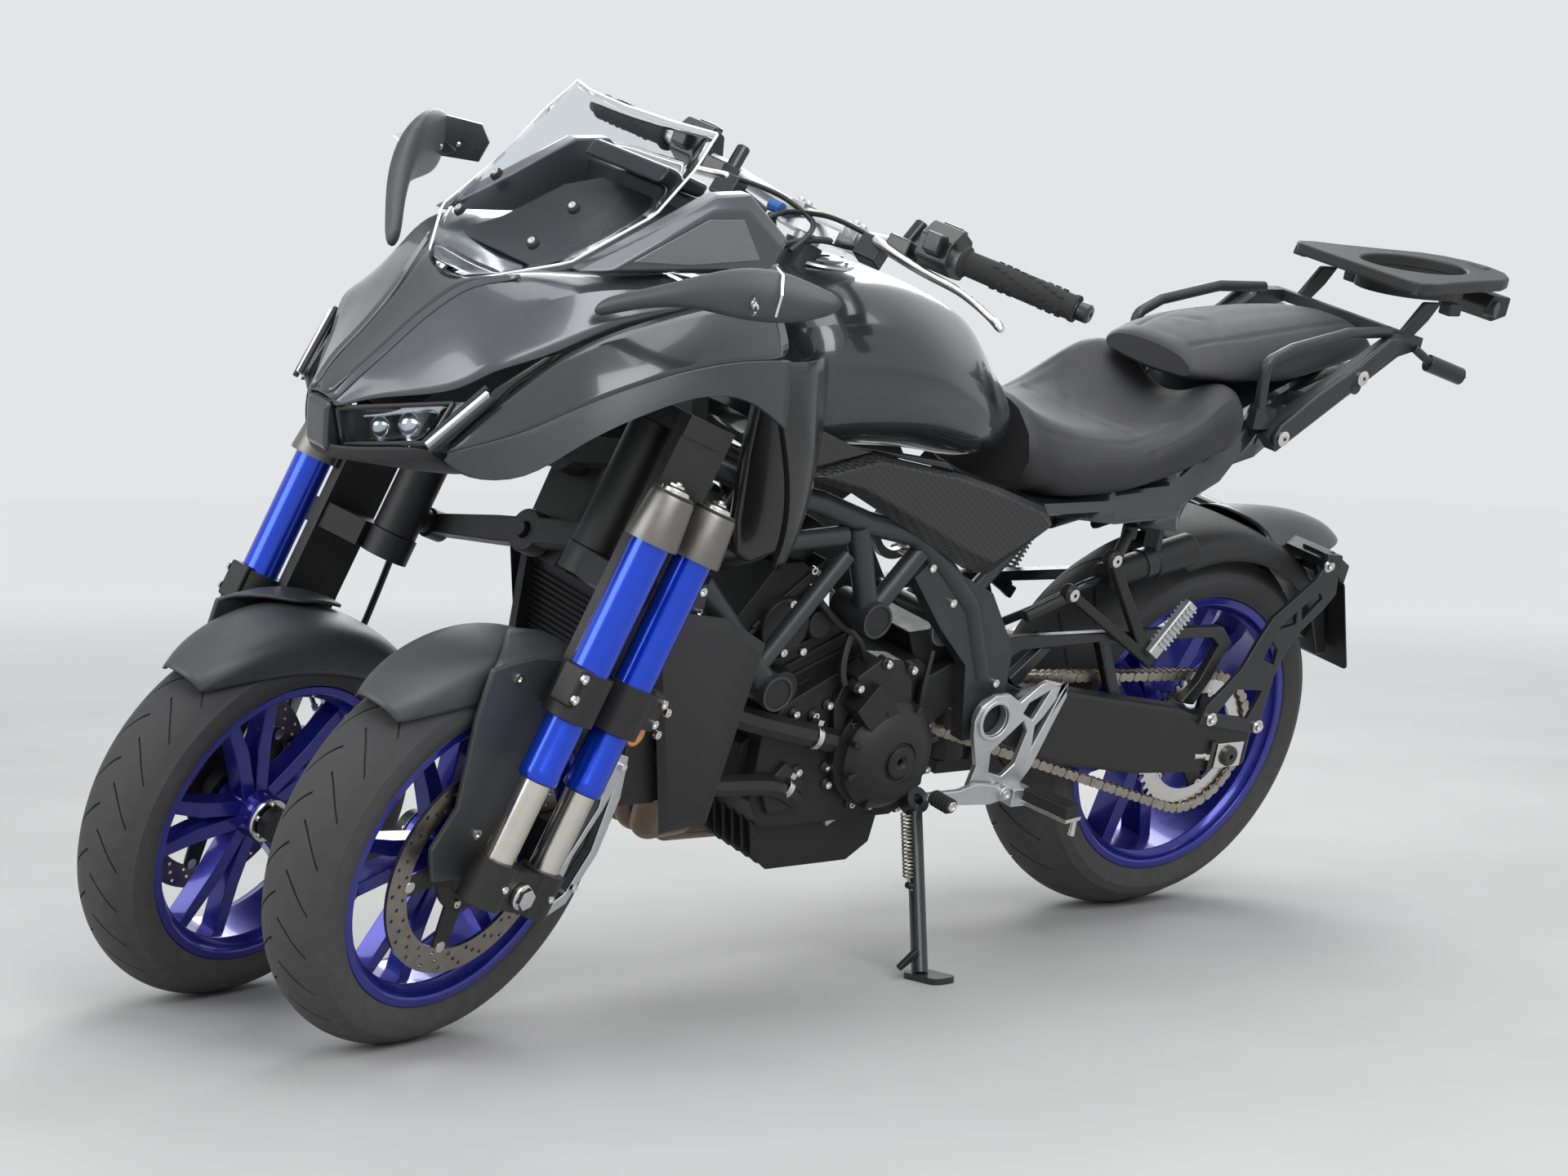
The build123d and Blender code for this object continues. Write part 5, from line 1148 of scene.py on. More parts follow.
RIDER = {
    510: [(0, 878), (44, 876), (80, 866), (112, 836), (124, 800), (110, 762)],
    470: [(0, 862), (50, 862), (96, 850), (130, 822), (138, 780), (118, 754)],
    440: [(0, 850), (54, 850), (104, 842), (142, 812), (150, 770), (130, 748)],
    390: [(0, 838), (58, 838), (114, 834), (156, 812), (162, 770), (134, 748)],
    330: [(0, 830), (60, 832), (122, 834), (166, 818), (172, 775), (140, 758)],
    270: [(0, 832), (60, 836), (124, 844), (172, 840), (178, 795), (142, 772)],
    220: [(0, 840), (58, 846), (122, 862), (174, 866), (180, 810), (142, 788)],
    170: [(0, 862), (56, 872), (114, 898), (166, 898), (176, 828), (136, 808)],
    140: [(0, 872), (54, 884), (110, 912), (160, 906), (170, 830), (132, 818)],
    118: [(0, 870), (50, 882), (98, 906), (146, 898), (156, 838), (120, 828)],
}
PILLION = {
    178: [(0, 948), (40, 946), (70, 941), (88, 932), (92, 922), (80, 916)],
    150: [(0, 962), (46, 960), (84, 950), (106, 936), (110, 922), (92, 914)],
    110: [(0, 972), (50, 970), (90, 962), (118, 940), (121, 924), (100, 916)],
    50: [(0, 984), (52, 982), (94, 972), (122, 948), (126, 928), (102, 916)],
    0: [(0, 990), (52, 988), (94, 978), (124, 950), (127, 928), (102, 916)],
    -80: [(0, 998), (50, 996), (88, 986), (114, 962), (118, 938), (96, 928)],
    -150: [(0, 1002), (46, 1000), (80, 990), (104, 970), (108, 950), (88, 942)],
    -205: [(0, 1000), (40, 998), (70, 988), (92, 974), (94, 956), (78, 950)],
    -236: [(0, 994), (36, 992), (60, 983), (80, 970), (84, 958), (70, 953)],
    -249: [(0, 984), (30, 982), (52, 976), (68, 968), (72, 960), (60, 956)],
}


def padded_form(name, table, finish, seams, fill):
    """A padded seat drawn through its sections, with sewn seams sunk along some of its lines."""
    bm = bmesh.new()
    rows = []
    for x, half in table.items():
        left = [(x, y, z) for y, z in half]
        rows.append([(x, -y, z) for x, y, z in reversed(left[1:])] + left)
    skin(bm, rows, closed=True, caps=True)
    bmesh.ops.recalc_face_normals(bm, faces=bm.faces)
    piece = make(name, bm, finish, "chassis", smooth=0)
    with_seams(piece, seams)
    return piece


def with_seams(piece, seams):
    """Two rounds of smoothing, then a narrow groove along each seam, given as points in mm."""
    bm = bmesh.new()
    bm.from_mesh(piece.data)
    for _ in range(2):
        bmesh.ops.subdivide_edges(bm, edges=bm.edges, cuts=1, smooth=0.55, use_grid_fill=True)
    bmesh.ops.subdivide_edges(bm, edges=bm.edges, cuts=1, use_grid_fill=True)
    bmesh.ops.smooth_vert(bm, verts=bm.verts, factor=0.4, use_axis_x=True, use_axis_y=True, use_axis_z=True)
    place = MM @ UPRIGHT
    lines = [[place @ Vector(p) for p in seam] for seam in seams]
    bm.normal_update()
    for vert in bm.verts:
        near = min((closest(vert.co, a, b) for line in lines for a, b in zip(line, line[1:])), default=1)
        if near < 0.009:
            vert.co -= vert.normal * 0.0032 * (1 - near / 0.009) ** 1.5
    for face in bm.faces:
        face.smooth = True
    bm.to_mesh(piece.data)
    bm.free()


def closest(point, start, end):
    """How far a point lies from a straight run."""
    line = end - start
    share = max(0, min(1, (point - start).dot(line) / line.length_squared))
    return (point - start - share * line).length


class TRIKE_OT_seats(bpy.types.Operator):
    """The rider's and the passenger's seats, padded and stitched"""
    bl_idname = "trike.seats"
    bl_label = "Seats"

    def execute(self, context):
        across = [(300, -178, 822), (300, -120, 836), (286, 0, 834), (300, 120, 836), (300, 178, 822)]
        sides = [[(500, s * 106, 838), (440, s * 124, 836), (330, s * 146, 830), (240, s * 152, 862),
                  (150, s * 148, 908)] for s in (1, -1)]
        wings = [[(262, s * 60, 838), (232, s * 122, 858), (180, s * 176, 880)] for s in (1, -1)]
        rider = padded_form("rider_cushion", RIDER, "seat cover", [across, *sides, *wings], 0.8)
        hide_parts("rider_seat")
        oval = [[(150, s * 58, 958), (60, s * 78, 978), (-40, s * 74, 988), (-150, s * 62, 995), (-226, s * 40, 992)]
                for s in (1, -1)]
        front = [(108, -96, 958), (60, 0, 986), (108, 96, 958)]
        pillion = padded_form("passenger_cushion", PILLION, "seat cover", [*oval, front], 0.8)
        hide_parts("passenger_seat")
        return {"FINISHED"}


class TRIKE_OT_tank(bpy.types.Operator):
    """The tank with its filler, and the textured covers below it"""
    bl_idname = "trike.tank"
    bl_label = "Tank"

    def execute(self, context):
        rows = []
        for x, half in TANK.items():
            rows.append([(x, y, z) for y, z in half])
        bm = bmesh.new()
        skin(bm, [[(x, -y, z) for x, y, z in reversed(row[1:])] + row for row in rows], closed=True, caps=True)
        bmesh.ops.recalc_face_normals(bm, faces=bm.faces)
        make("tank_shell", bm, "tank paint", "chassis", smooth=2, stands_for=["fuel_tank"])
        bm = bmesh.new()
        at = shift(872, 0, 1054) @ turn(90, "X") @ turn(2, "Z")
        lathe(bm, [(0, 3), (0, 52), (4, 50), (6, 44), (6, 36), (9, 34), (9, 3)], steps=56, closed=False, place=at)
        make("filler_cap", bm, "cast alloy", "chassis", rounded=0.6)
        bm = bmesh.new()
        slab(bm, [(866, 1064), (884, 1064), (884, 1067), (866, 1067)], -16, 16)
        for angle in range(0, 360, 60):
            spot = Vector((875 + 44 * cos(radians(angle)), 44 * sin(radians(angle)), 1060))
            bolt(bm, spot, (0, 0, 1), 3.2, 2)
        make("filler_latch", bm, "dark panel", "chassis", rounded=0.5)
        for name, side in SIDES:
            bm = bmesh.new()
            near = [(985, 800), (880, 770), (760, 712), (640, 652), (590, 642), (478, 716), (500, 744), (600, 776),
                    (700, 802), (860, 832)]
            far = [(950, 802), (872, 784), (760, 736), (660, 690), (602, 668), (502, 720), (520, 740), (610, 770),
                   (704, 796), (852, 822)]
            inner = [bm.verts.new((x, side * 167, z)) for x, z in near]
            outer = [bm.verts.new((x, side * 189, z)) for x, z in far]
            for a in range(len(near)):
                b = (a + 1) % len(near)
                bm.faces.new((inner[a], inner[b], outer[b], outer[a]))
            bm.faces.new(outer)
            bm.faces.new(list(reversed(inner)))
            make(f"{name}_side_cover", bm, "tank side weave", "chassis", rounded=4,
                 stands_for=["tank_side_covers"] if side > 0 else ())
            bm = bmesh.new()
            slab(bm, [(700, 802), (860, 832), (985, 806), (1000, 880), (900, 842), (720, 816)], side * 160, side * 176)
            make(f"{name}_tank_skirt", bm, "dark panel", "chassis", rounded=3)
        return {"FINISHED"}


# ------------------------------------------------------------------ engine
CASE = [(915, 300), (915, 400), (880, 446), (800, 486), (645, 502), (600, 470), (588, 300), (640, 256), (885, 256)]
SUMP = [(660, 262), (884, 262), (868, 214), (842, 190), (700, 190), (664, 214)]
CYLINDERS = [(884, 430), (968, 540), (866, 622), (716, 492)]
HEAD_COVER = [(972, 534), (992, 566), (930, 650), (884, 652), (812, 600), (862, 618)]
CLUTCH_PLATE = [(789, 492), (748, 518), (708, 514), (682, 480), (668, 420), (724, 440), (752, 470), (776, 462)]
LONG_PLATE = [(792, 392), (802, 446), (792, 472), (776, 476), (766, 450), (776, 410), (784, 380)]
CASE_BOLTS = ((740, 512), (689, 500), (785, 478), (807, 442), (830, 427), (753, 410), (634, 424), (590, 326),
              (788, 345), (841, 342), (780, 318), (726, 283), (633, 269), (867, 432))


class TRIKE_OT_engine(bpy.types.Operator):
    """The engine: its cases, ribbed cylinders, round covers, bolts and coolant hoses"""
    bl_idname = "trike.engine"
    bl_label = "Engine"

    def execute(self, context):
        bm = bmesh.new()
        slab(bm, CASE, -124, 124)
        slab(bm, SUMP, -60, 108)
        for y in range(-50, 110, 22):
            slab(bm, [(650, 262), (892, 262), (878, 206), (846, 182), (694, 182), (656, 208)], y, y + 5)
        slab(bm, [(905, 300), (930, 310), (930, 380), (905, 396)], -100, 100)
        slab(bm, [(645, 502), (600, 470), (560, 468), (556, 500), (600, 540), (660, 536)], -60, 108)
        make("engine_cases", bm, "engine black", "chassis", rounded=4, stands_for=["engine"])
        bm = bmesh.new()
        slab(bm, CYLINDERS, -96, 96)
        for row in range(7):
            start, end = Vector((898 + row * 11, 0, 440 + row * 13.5)), Vector((736 + row * 20, 0, 500 + row * 17))
            slab(bm, [(start.x + 6, start.z - 2), (start.x + 10, start.z + 3), (end.x - 2, end.z + 7),
                      (end.x - 7, end.z + 2)], -101, 101)
        make("engine_cylinders", bm, "engine black", "chassis", rounded=1)
        bm = bmesh.new()
        slab(bm, HEAD_COVER, -106, 106)
        for step in (0, 1, 2):
            lift = step * 13
            slab(bm, [(968 - lift, 538 + lift * 1.2), (973 - lift, 544 + lift * 1.2), (874 - lift, 628 + lift * 1.1),
                      (869 - lift, 622 + lift * 1.1)], -111, 111)
        rod(bm, (905, 100, 560), (905, 118, 560), 46, 42, sides=48)
        rod(bm, (838, 96, 560), (838, 116, 560), 26, 22, sides=32)
        for y in (-70, 0, 70):
            rod(bm, (900, y, 640), (930, y, 686), 20, sides=24)
            rod(bm, (884, y, 640), (850, y, 700), 24, sides=24)
        make("engine_head", bm, "engine black", "chassis", rounded=2.5)
        self.covers()
        self.bolts()
        self.hoses()
        return {"FINISHED"}

    def covers(self):
        bm = bmesh.new()
        at = shift(GENERATOR[0], 0, GENERATOR[1])
        lathe(bm, [(110, 5), (110, 87), (140, 87), (146, 83), (158, 82), (172, 70), (181, 52), (185, 40), (185, 29),
                   (182, 28), (182, 25), (189, 24), (189, 10), (186, 8), (186, 5)], place=at, closed=True)
        slab(bm, [(788, 445), (756, 484), (726, 468), (700, 426), (738, 402), (764, 420)], 120, 172)
        for angle in (18, 66, 198, 246, 294, 342):
            rib = turn(angle, "Y")
            block(bm, (40, 84), (150, 172), (-4, 4), place=at @ rib)
        make("generator_cover", bm, "black cast", "chassis", rounded=2)
        bm = bmesh.new()
        slab(bm, CLUTCH_PLATE, 118, 158)
        slab(bm, LONG_PLATE, 118, 136)
        slab(bm, [(905, 320), (868, 360), (828, 330), (838, 290), (884, 280)], 118, 134)
        slab(bm, [(640, 470), (585, 495), (552, 440), (602, 400), (640, 420)], 110, 134)
        rod(bm, (654, 108, 300), (654, 142, 300), 30, sides=40)
        rod(bm, (622, 106, 372), (622, 138, 372), 22, sides=32)
        rod(bm, (896, 108, 470), (896, 128, 470), 30, 26, sides=40)
        make("case_plates", bm, "black cast", "chassis", rounded=3)
        bm = bmesh.new()
        lathe(bm, [(-110, 5), (-110, 92), (-144, 92), (-158, 84), (-168, 62), (-170, 30), (-170, 5)],
              place=shift(690, 0, 370))
        lathe(bm, [(-112, 5), (-112, 50), (-140, 50), (-148, 42), (-150, 5)], place=shift(830, 0, 320))
        slab(bm, [(880, 300), (880, 400), (830, 440), (640, 470), (600, 400), (610, 290), (700, 262)], -136, -112)
        make("right_covers", bm, "black cast", "chassis", rounded=2)
        bm = bmesh.new()
        for angle in range(0, 360, 40):
            spot = (690 + 84 * cos(radians(angle)), -148, 370 + 84 * sin(radians(angle)))
            bolt(bm, spot, (0, -1, 0), 6, 7)
        make("right_cover_bolts", bm, "bright steel", "chassis")

    def bolts(self):
        bm = bmesh.new()
        for x, z in CASE_BOLTS:
            far = 158 if z > 474 else 126
            rod(bm, (x, far - 12, z), (x, far + 2, z), 10.5, 9, sides=20)
        make("bolt_bosses", bm, "black cast", "chassis", rounded=1)
        bm = bmesh.new()
        for x, z in CASE_BOLTS:
            far = 160 if z > 474 else 128
            bolt(bm, (x, far, z), (0, 1, 0), 6, 6)
        for x, z, y in ((905, 596, 119), (870, 524, 119), (905, 524, 119), (868, 640, 108), (606, 536, 110)):
            bolt(bm, (x, y - 1, z), (0, 1, 0), 6, 7)
        for angle in (35, 155, 275):
            spot = (700 + 83 * cos(radians(angle)), 145, 368 + 83 * sin(radians(angle)))
            bolt(bm, spot, (0, 1, 0), 5, 6)
        make("case_bolts", bm, "bright steel", "chassis")
        bm = bmesh.new()
        slab(bm, [(756, 246), (760, 254), (722, 268), (716, 262), (734, 258)], 112, 120)
        lathe(bm, [(108, 10), (108, 24), (116, 24), (116, 10)], place=shift(598, 0, 538))
        make("case_fittings", bm, "cast alloy", "chassis", rounded=1)
        bm = bmesh.new()
        lathe(bm, [(-6, 34), (-6, 48), (6, 48), (6, 34)], place=shift(700, 80, 690) @ turn(20, "Y"))
        for angle in (20, 120, 240):
            rod(bm, (700 + 44 * cos(radians(angle)), 86, 690 + 44 * sin(radians(angle))),
                (700 + 44 * cos(radians(angle)), 96, 690 + 44 * sin(radians(angle))), 7)
        make("throttle_body", bm, "bright steel", "chassis", rounded=1)

    def hoses(self):
        bm = bmesh.new()
        tube(bm, [(1060, 110, 470), (1010, 132, 448), (925, 140, 424), (868, 141, 410), (800, 139, 392)], 18)
        tube(bm, [(1062, 112, 350), (1014, 132, 335), (940, 134, 333), (876, 132, 326), (838, 126, 300)], 16)
        tube(bm, [(1040, 60, 640), (985, 96, 652), (930, 104, 690), (900, 96, 742)], 12)
        tube(bm, [(790, 128, 552), (812, 138, 500), (800, 146, 478)], 6)
        tube(bm, [(862, 120, 604), (824, 132, 566), (792, 132, 552), (760, 130, 522), (744, 134, 470)], 5)
        tube(bm, [(640, 142, 520), (652, 150, 470), (648, 148, 440)], 4.5)
        make("coolant_hoses", bm, "hose", "chassis")
        bm = bmesh.new()
        for spot, along, radius in (((836, 140.4, 401.4), (-0.95, 0, -0.25), 20), ((1010, 132.4, 335), (1, -0.2, 0), 18),
                                    ((862, 130, 322), (-0.9, 0, -0.5), 17.6)):
            place = Matrix.Translation(spot) @ Vector(along).to_track_quat("Y", "Z").to_matrix().to_4x4()
            lathe(bm, [(-5, radius - 3), (-5, radius), (5, radius), (5, radius - 3)], steps=40, place=place)
            block(bm, (-7, 7), (-5, 5), (radius - 2, radius + 6), place=place)
        make("hose_clamps", bm, "bright steel", "chassis", rounded=0.6)


class TRIKE_OT_frame(bpy.types.Operator):
    """The open tube ends, bolts and bosses of the frame"""
    bl_idname = "trike.frame"
    bl_label = "Frame"

    def execute(self, context):
        for name, side in SIDES:
            rim, hole = bmesh.new(), bmesh.new()
            for x, z, radius in ((946, 484, 25), (788, 583, 25), (520, 415, 31)):
                low, high = sorted((side * 160, side * 175))
                lathe(rim, [(low, radius - 3.5), (low, radius + 1), (high, radius + 1), (high, radius - 3.5)],
                      place=shift(x, 0, z), steps=56)
                # A thin dark disc in the rubber finish sits in each tube mouth: painted shade that stands in for the
                # shadow inside the open tube.
                rod(hole, (x, side * 171.9, z), (x, side * 172.4, z), radius - 3, sides=40)
            make(f"{name}_tube_ends", rim, "frame grey", "chassis", rounded=1)
            make(f"{name}_tube_painted_shade", hole, "rubber", "chassis")
            bm = bmesh.new()
            for x, z, y in ((1098, 634, 153), (1098, 604, 153), (520, 470, 159), (505, 400, 159), (640, 600, 159),
                            (694, 655, 159)):
                bolt(bm, (x, side * y, z), (0, side, 0), 6.5, 6)
            make(f"{name}_frame_bolts", bm, "bright steel", "chassis")
        return {"FINISHED"}


class TRIKE_OT_radiator(bpy.types.Operator):
    """The fins of the radiator core, between its tanks"""
    bl_idname = "trike.radiator"
    bl_label = "Radiator"

    def execute(self, context):
        bm = bmesh.new()
        lean = atan2(1150 - 1116, 640 - 330)
        for row in range(26):
            z = 338 + row * 9.2
            x = 1134 + (z - 330) * tan(lean)
            block(bm, (x - 1, x + 4.5), (-146, 146), (z, z + 3.4))
        make("radiator_fins", bm, "radiator fins", "chassis")
        return {"FINISHED"}


# ------------------------------------------------------------------ rear end
ARM = [(75, 60, 182), (64, 90, 181), (30, 117, 179), (-4, 146, 176), (-35, 194, 171), (-60, 226, 168), (-150, 282, 160),
       (-166, 304, 158), (-160, 326, 156), (-176, 324, 156), (-204, 282, 158), (-206, 256, 160), (-180, 232, 163),
       (-128, 196, 168), (-104, 170, 172), (-84, 132, 176), (-72, 60, 181), (-72, 34, 183)]
ARM_HOLES = ([(38, 74, 181), (0, 112, 178), (-62, 106, 178), (-38, 62, 181)],
             [(-50, 158, 174), (-66, 186, 171), (-80, 172, 173), (-78, 148, 175)],
             [(-78, 206, 168), (-114, 232, 166), (-116, 212, 168)],
             [(-124, 238, 165), (-164, 260, 162), (-172, 250, 163), (-132, 216, 166)])


def pierced_strip(bm, outline, holes, depth):
    """A plate with holes, given by points of its outer face, thickened inwards along Y."""
    loops = []
    for points in (outline, *holes):
        verts = [bm.verts.new(p) for p in points]
        loops += [bm.edges.new((verts[a], verts[a - 1])) for a in range(len(verts))]
    made = bmesh.ops.triangle_fill(bm, use_beauty=True, use_dissolve=False, edges=loops)["geom"]
    faces = [f for f in made if isinstance(f, bmesh.types.BMFace)]
    solid = bmesh.ops.extrude_face_region(bm, geom=faces, use_keep_orig=True)["geom"]
    bmesh.ops.translate(bm, verts=[v for v in solid if isinstance(v, bmesh.types.BMVert)], vec=(0, depth, 0))


class TRIKE_OT_mudguard(bpy.types.Operator):
    """The rear mudguard on its pierced arms, with its tail and the blank plate"""
    bl_idname = "trike.mudguard"
    bl_label = "Rear mudguard"

    def execute(self, context):
        bm = bmesh.new()
        rows = []
        for angle in range(-20, 51, 5):
            swing = radians(angle)
            half = []
            for y, radius in ((0, 350), (50, 349), (86, 345), (101, 336), (107, 320), (108, 302)):
                half.append((-radius * sin(swing), y, radius * cos(swing)))
            rows.append(both_halves(half))
        skin(bm, rows)
        outward(bm)
        make("hugger", bm, "grained plastic", "chassis", REAR, wall=3.5, smooth=1, stands_for=["rear_mudguard"])
        bm = bmesh.new()
        rows = [both_halves(half) for half in (
            [(-96, 0, 349), (-96, 40, 347), (-98, 74, 338), (-104, 96, 318), (-110, 96, 306)],
            [(-150, 0, 353), (-150, 36, 349), (-152, 62, 338), (-156, 84, 314), (-158, 84, 296)],
            [(-215, 0, 351), (-215, 30, 347), (-216, 52, 334), (-218, 72, 310), (-220, 72, 282)],
            [(-272, 0, 342), (-272, 24, 338), (-274, 42, 326), (-276, 58, 304), (-278, 58, 288)],
            [(-322, 0, 326), (-322, 18, 323), (-323, 32, 314), (-324, 42, 302), (-324, 42, 296)],
            [(-338, 0, 314), (-338, 14, 312), (-338, 24, 308), (-338, 32, 302), (-338, 32, 298)])]
        skin(bm, rows)
        bmesh.ops.holes_fill(bm, edges=bm.edges, sides=12)
        outward(bm, (-220, 0, 300))
        make("tail_piece", bm, "dark panel", "chassis", REAR, wall=3, smooth=2)
        bm = bmesh.new()
        slab(bm, [(-226, 300), (-282, 292), (-300, 250), (-352, 110), (-330, 104), (-262, 232), (-232, 262)], -52, 52)
        slab(bm, [(-150, 318), (-200, 294), (-232, 268), (-236, 300), (-190, 326)], -150, 150)
        rod(bm, (-318, -30, 148), (-318, 30, 148), 20, sides=32)
        make("plate_carrier", bm, "dark panel", "chassis", REAR, rounded=3)
        for name, side in SIDES:
            bm = bmesh.new()
            flip = [[(x, side * y, z) for x, z, y in points] for points in (ARM, *ARM_HOLES)]
            pierced_strip(bm, flip[0], flip[1:], -side * 9)
            make(f"{name}_tail_arm", bm, "black paint", "chassis", REAR, rounded=2)
            bm = bmesh.new()
            for x, z, y in ((52, 68, 182), (-62, 48, 182), (-172, 306, 157)):
                lathe(bm, [(0, 4), (0, 11), (side * 3, 11), (side * 3, 4)], steps=32, place=shift(x, side * y, z))
                bolt(bm, (x, side * (y + 2), z), (0, side, 0), 7.5, 6)
            bolt(bm, (-242, side * 110, 262), (0, side, 0), 6, 6)
            make(f"{name}_arm_bolts", bm, "bright steel", "chassis", REAR)
            bm = bmesh.new()
            slab(bm, [(-176, 318), (-196, 314), (-252, 268), (-250, 250), (-232, 252)], side * 96, side * 112)
            slab(bm, [(-162, 326), (-200, 322), (-206, 296), (-166, 300)], side * 104, side * 160)
            make(f"{name}_tail_stay", bm, "black paint", "chassis", REAR, rounded=2)
        bm = bmesh.new()
        lean = atan2(64, 164)
        place = UPRIGHT @ shift(-336, 0, 490) @ turn(degrees(lean), "Y")
        corners = []
        for x, z in ((84, 76), (-84, 76), (-84, -76), (84, -76)):
            start = {(84, 76): 0, (-84, 76): 90, (-84, -76): 180, (84, -76): 270}[(x, z)]
            corners += [(x + 8 * cos(radians(start + a)), z + 8 * sin(radians(start + a))) for a in range(0, 91, 18)]
        slab(bm, corners, -1.5, 1.5, place=turn(90, "Z"))
        make("blank_plate", bm, "blank plate", "chassis", place, rounded=0.8, stands_for=["number_plate"])
        return {"FINISHED"}


class TRIKE_OT_chain(bpy.types.Operator):
    """The drive chain, link by link round both sprockets"""
    bl_idname = "trike.chain"
    bl_label = "Chain"

    def execute(self, context):
        front, rear = (DRIVE_AXLE[0], DRIVE_AXLE[1] - REAR_R), (0, 0)
        big = CHAIN_PITCH / (2 * sin(pi / REAR_TEETH))
        small = CHAIN_PITCH / (2 * sin(pi / FRONT_TEETH))
        gap = sqrt(front[0] ** 2 + front[1] ** 2)
        slope, wrap = atan2(front[1], front[0]), atan2(big - small, sqrt(gap**2 - (big - small) ** 2))
        points = []
        top, low = slope + pi / 2 - wrap, slope - pi / 2 + wrap
        for centre, radius, start, end in ((rear, big, top, low + 2 * pi), (front, small, low, top)):
            steps = 60
            points += [(centre[0] + radius * cos(start + (end - start) * k / steps),
                        centre[1] + radius * sin(start + (end - start) * k / steps)) for k in range(steps + 1)]
        points.append(points[0])
        lengths = [0]
        for a, b in zip(points, points[1:]):
            lengths.append(lengths[-1] + sqrt((b[0] - a[0]) ** 2 + (b[1] - a[1]) ** 2))
        count = round(lengths[-1] / CHAIN_PITCH / 2) * 2
        pins, at = [], 0
        for k in range(count):
            target = lengths[-1] * k / count
            while lengths[at + 1] < target:
                at += 1
            share = (target - lengths[at]) / (lengths[at + 1] - lengths[at])
            a, b = points[at], points[at + 1]
            pins.append((a[0] + share * (b[0] - a[0]), a[1] + share * (b[1] - a[1])))
        links = bmesh.new()
        for k in range(count):
            a, b = Vector((pins[k][0], 0, pins[k][1])), Vector((pins[(k + 1) % count][0], 0, pins[(k + 1) % count][1]))
            along = (b - a).normalized()
            up = Vector((-along.z, 0, along.x))
            out = 8.6 if k % 2 else 6.4
            outline = []
            for share, width in ((-0.45, 4.2), (-0.2, 7.2), (0.15, 7.4), (0.5, 5.0), (0.85, 7.4), (1.2, 7.2), (1.45, 4.2)):
                outline.append(a + (b - a) * share + up * width)
            outline += [p - 2 * up * (p - a).dot(up) for p in reversed(outline)]
            flat = [(p.x, p.z) for p in outline]
            for side in (1, -1):
                slab(links, flat, CHAIN_Y + side * out, CHAIN_Y + side * (out + 2))
            rod(links, (a.x, CHAIN_Y - 10.8, a.z), (a.x, CHAIN_Y + 10.8, a.z), 2.6, sides=10)
            rod(links, (a.x, CHAIN_Y - 6, a.z), (a.x, CHAIN_Y + 6, a.z), 5, sides=12)
        make("chain_links", links, "chain steel", "chassis", REAR, stands_for=["drive_chain"])
        return {"FINISHED"}


class TRIKE_OT_swingarm(bpy.types.Operator):
    """The swinging arm with its upper truss, chain adjusters and axle"""
    bl_idname = "trike.swingarm"
    bl_label = "Swinging arm"

    def execute(self, context):
        for name, side in SIDES:
            bm = bmesh.new()
            near, far = sorted((side * (ARM_IN + 2), side * (ARM_OUT - 2)))
            slab(bm, [(486, 444), (384, 454), (300, 438), (110, 405), (62, 384), (-66, 362), (-66, 296), (60, 292),
                      (180, 300), (365, 330), (488, 372)], near, far, shift(0, 0, 0))
            make(f"{name}_swingarm_beam", bm, "black cast", "chassis", rounded=9,
                 stands_for=["swingarm"] if side > 0 else ())
            bm = bmesh.new()
            low, high = sorted((side * 132, side * 148))
            slab(bm, [(520, 521), (486, 534), (100, 530), (30, 528), (2, 500), (12, 480), (50, 510), (90, 512),
                      (300, 516), (464, 512), (482, 500), (478, 462), (446, 448), (470, 436), (500, 456)], low, high)
            slab(bm, [(300, 516), (250, 418), (230, 426), (278, 516)], low, high)
            slab(bm, [(58, 398), (30, 440), (12, 486), (30, 500), (58, 440), (90, 404)], low, high)
            slab(bm, [(460, 452), (400, 512), (424, 514), (478, 468)], low, high)
            make(f"{name}_swingarm_truss", bm, "black paint", "chassis", rounded=3)
            bm = bmesh.new()
            low, high = sorted((side * (ARM_OUT - 4), side * (ARM_OUT + 3)))
            slab(bm, [(-46, 300), (14, 300), (14, 342), (-46, 342)], low, high)
            make(f"{name}_adjuster", bm, "bright steel", "chassis", rounded=1.5)
            bm = bmesh.new()
            lathe(bm, [(0, 4), (0, 17), (side * 6, 17), (side * 9, 13), (side * 9, 4)], steps=40,
                  place=shift(-14, side * (ARM_OUT + 2), 320))
            block(bm, (20, 30), (side * (ARM_OUT - 6), side * (ARM_OUT + 4)), (296, 346))
            make(f"{name}_axle_nut", bm, "dark panel", "chassis", rounded=1)
            bm = bmesh.new()
            rod(bm, (22, side * (ARM_OUT - 4), 320), (60, side * (ARM_OUT - 4), 322), 5)
            rod(bm, (30, side * (ARM_OUT - 4), 320.4), (38, side * (ARM_OUT - 4), 321), 9, sides=6)
            make(f"{name}_adjuster_screw", bm, "bright steel", "chassis")
        bm = bmesh.new()
        block(bm, (345, 385), (-ARM_IN - 1, ARM_IN + 1), (352, 426))
        slab(bm, [(350, 356), (380, 356), (392, 300), (396, 286), (462, 286), (462, 262), (380, 262)], -20, 20)
        for side in (1, -1):
            slab(bm, [(542, 438), (542, 392), (480, 372), (400, 372), (400, 438)], side * 122, side * 131)
        make("swingarm_bridge", bm, "black cast", "chassis", rounded=4)
        return {"FINISHED"}


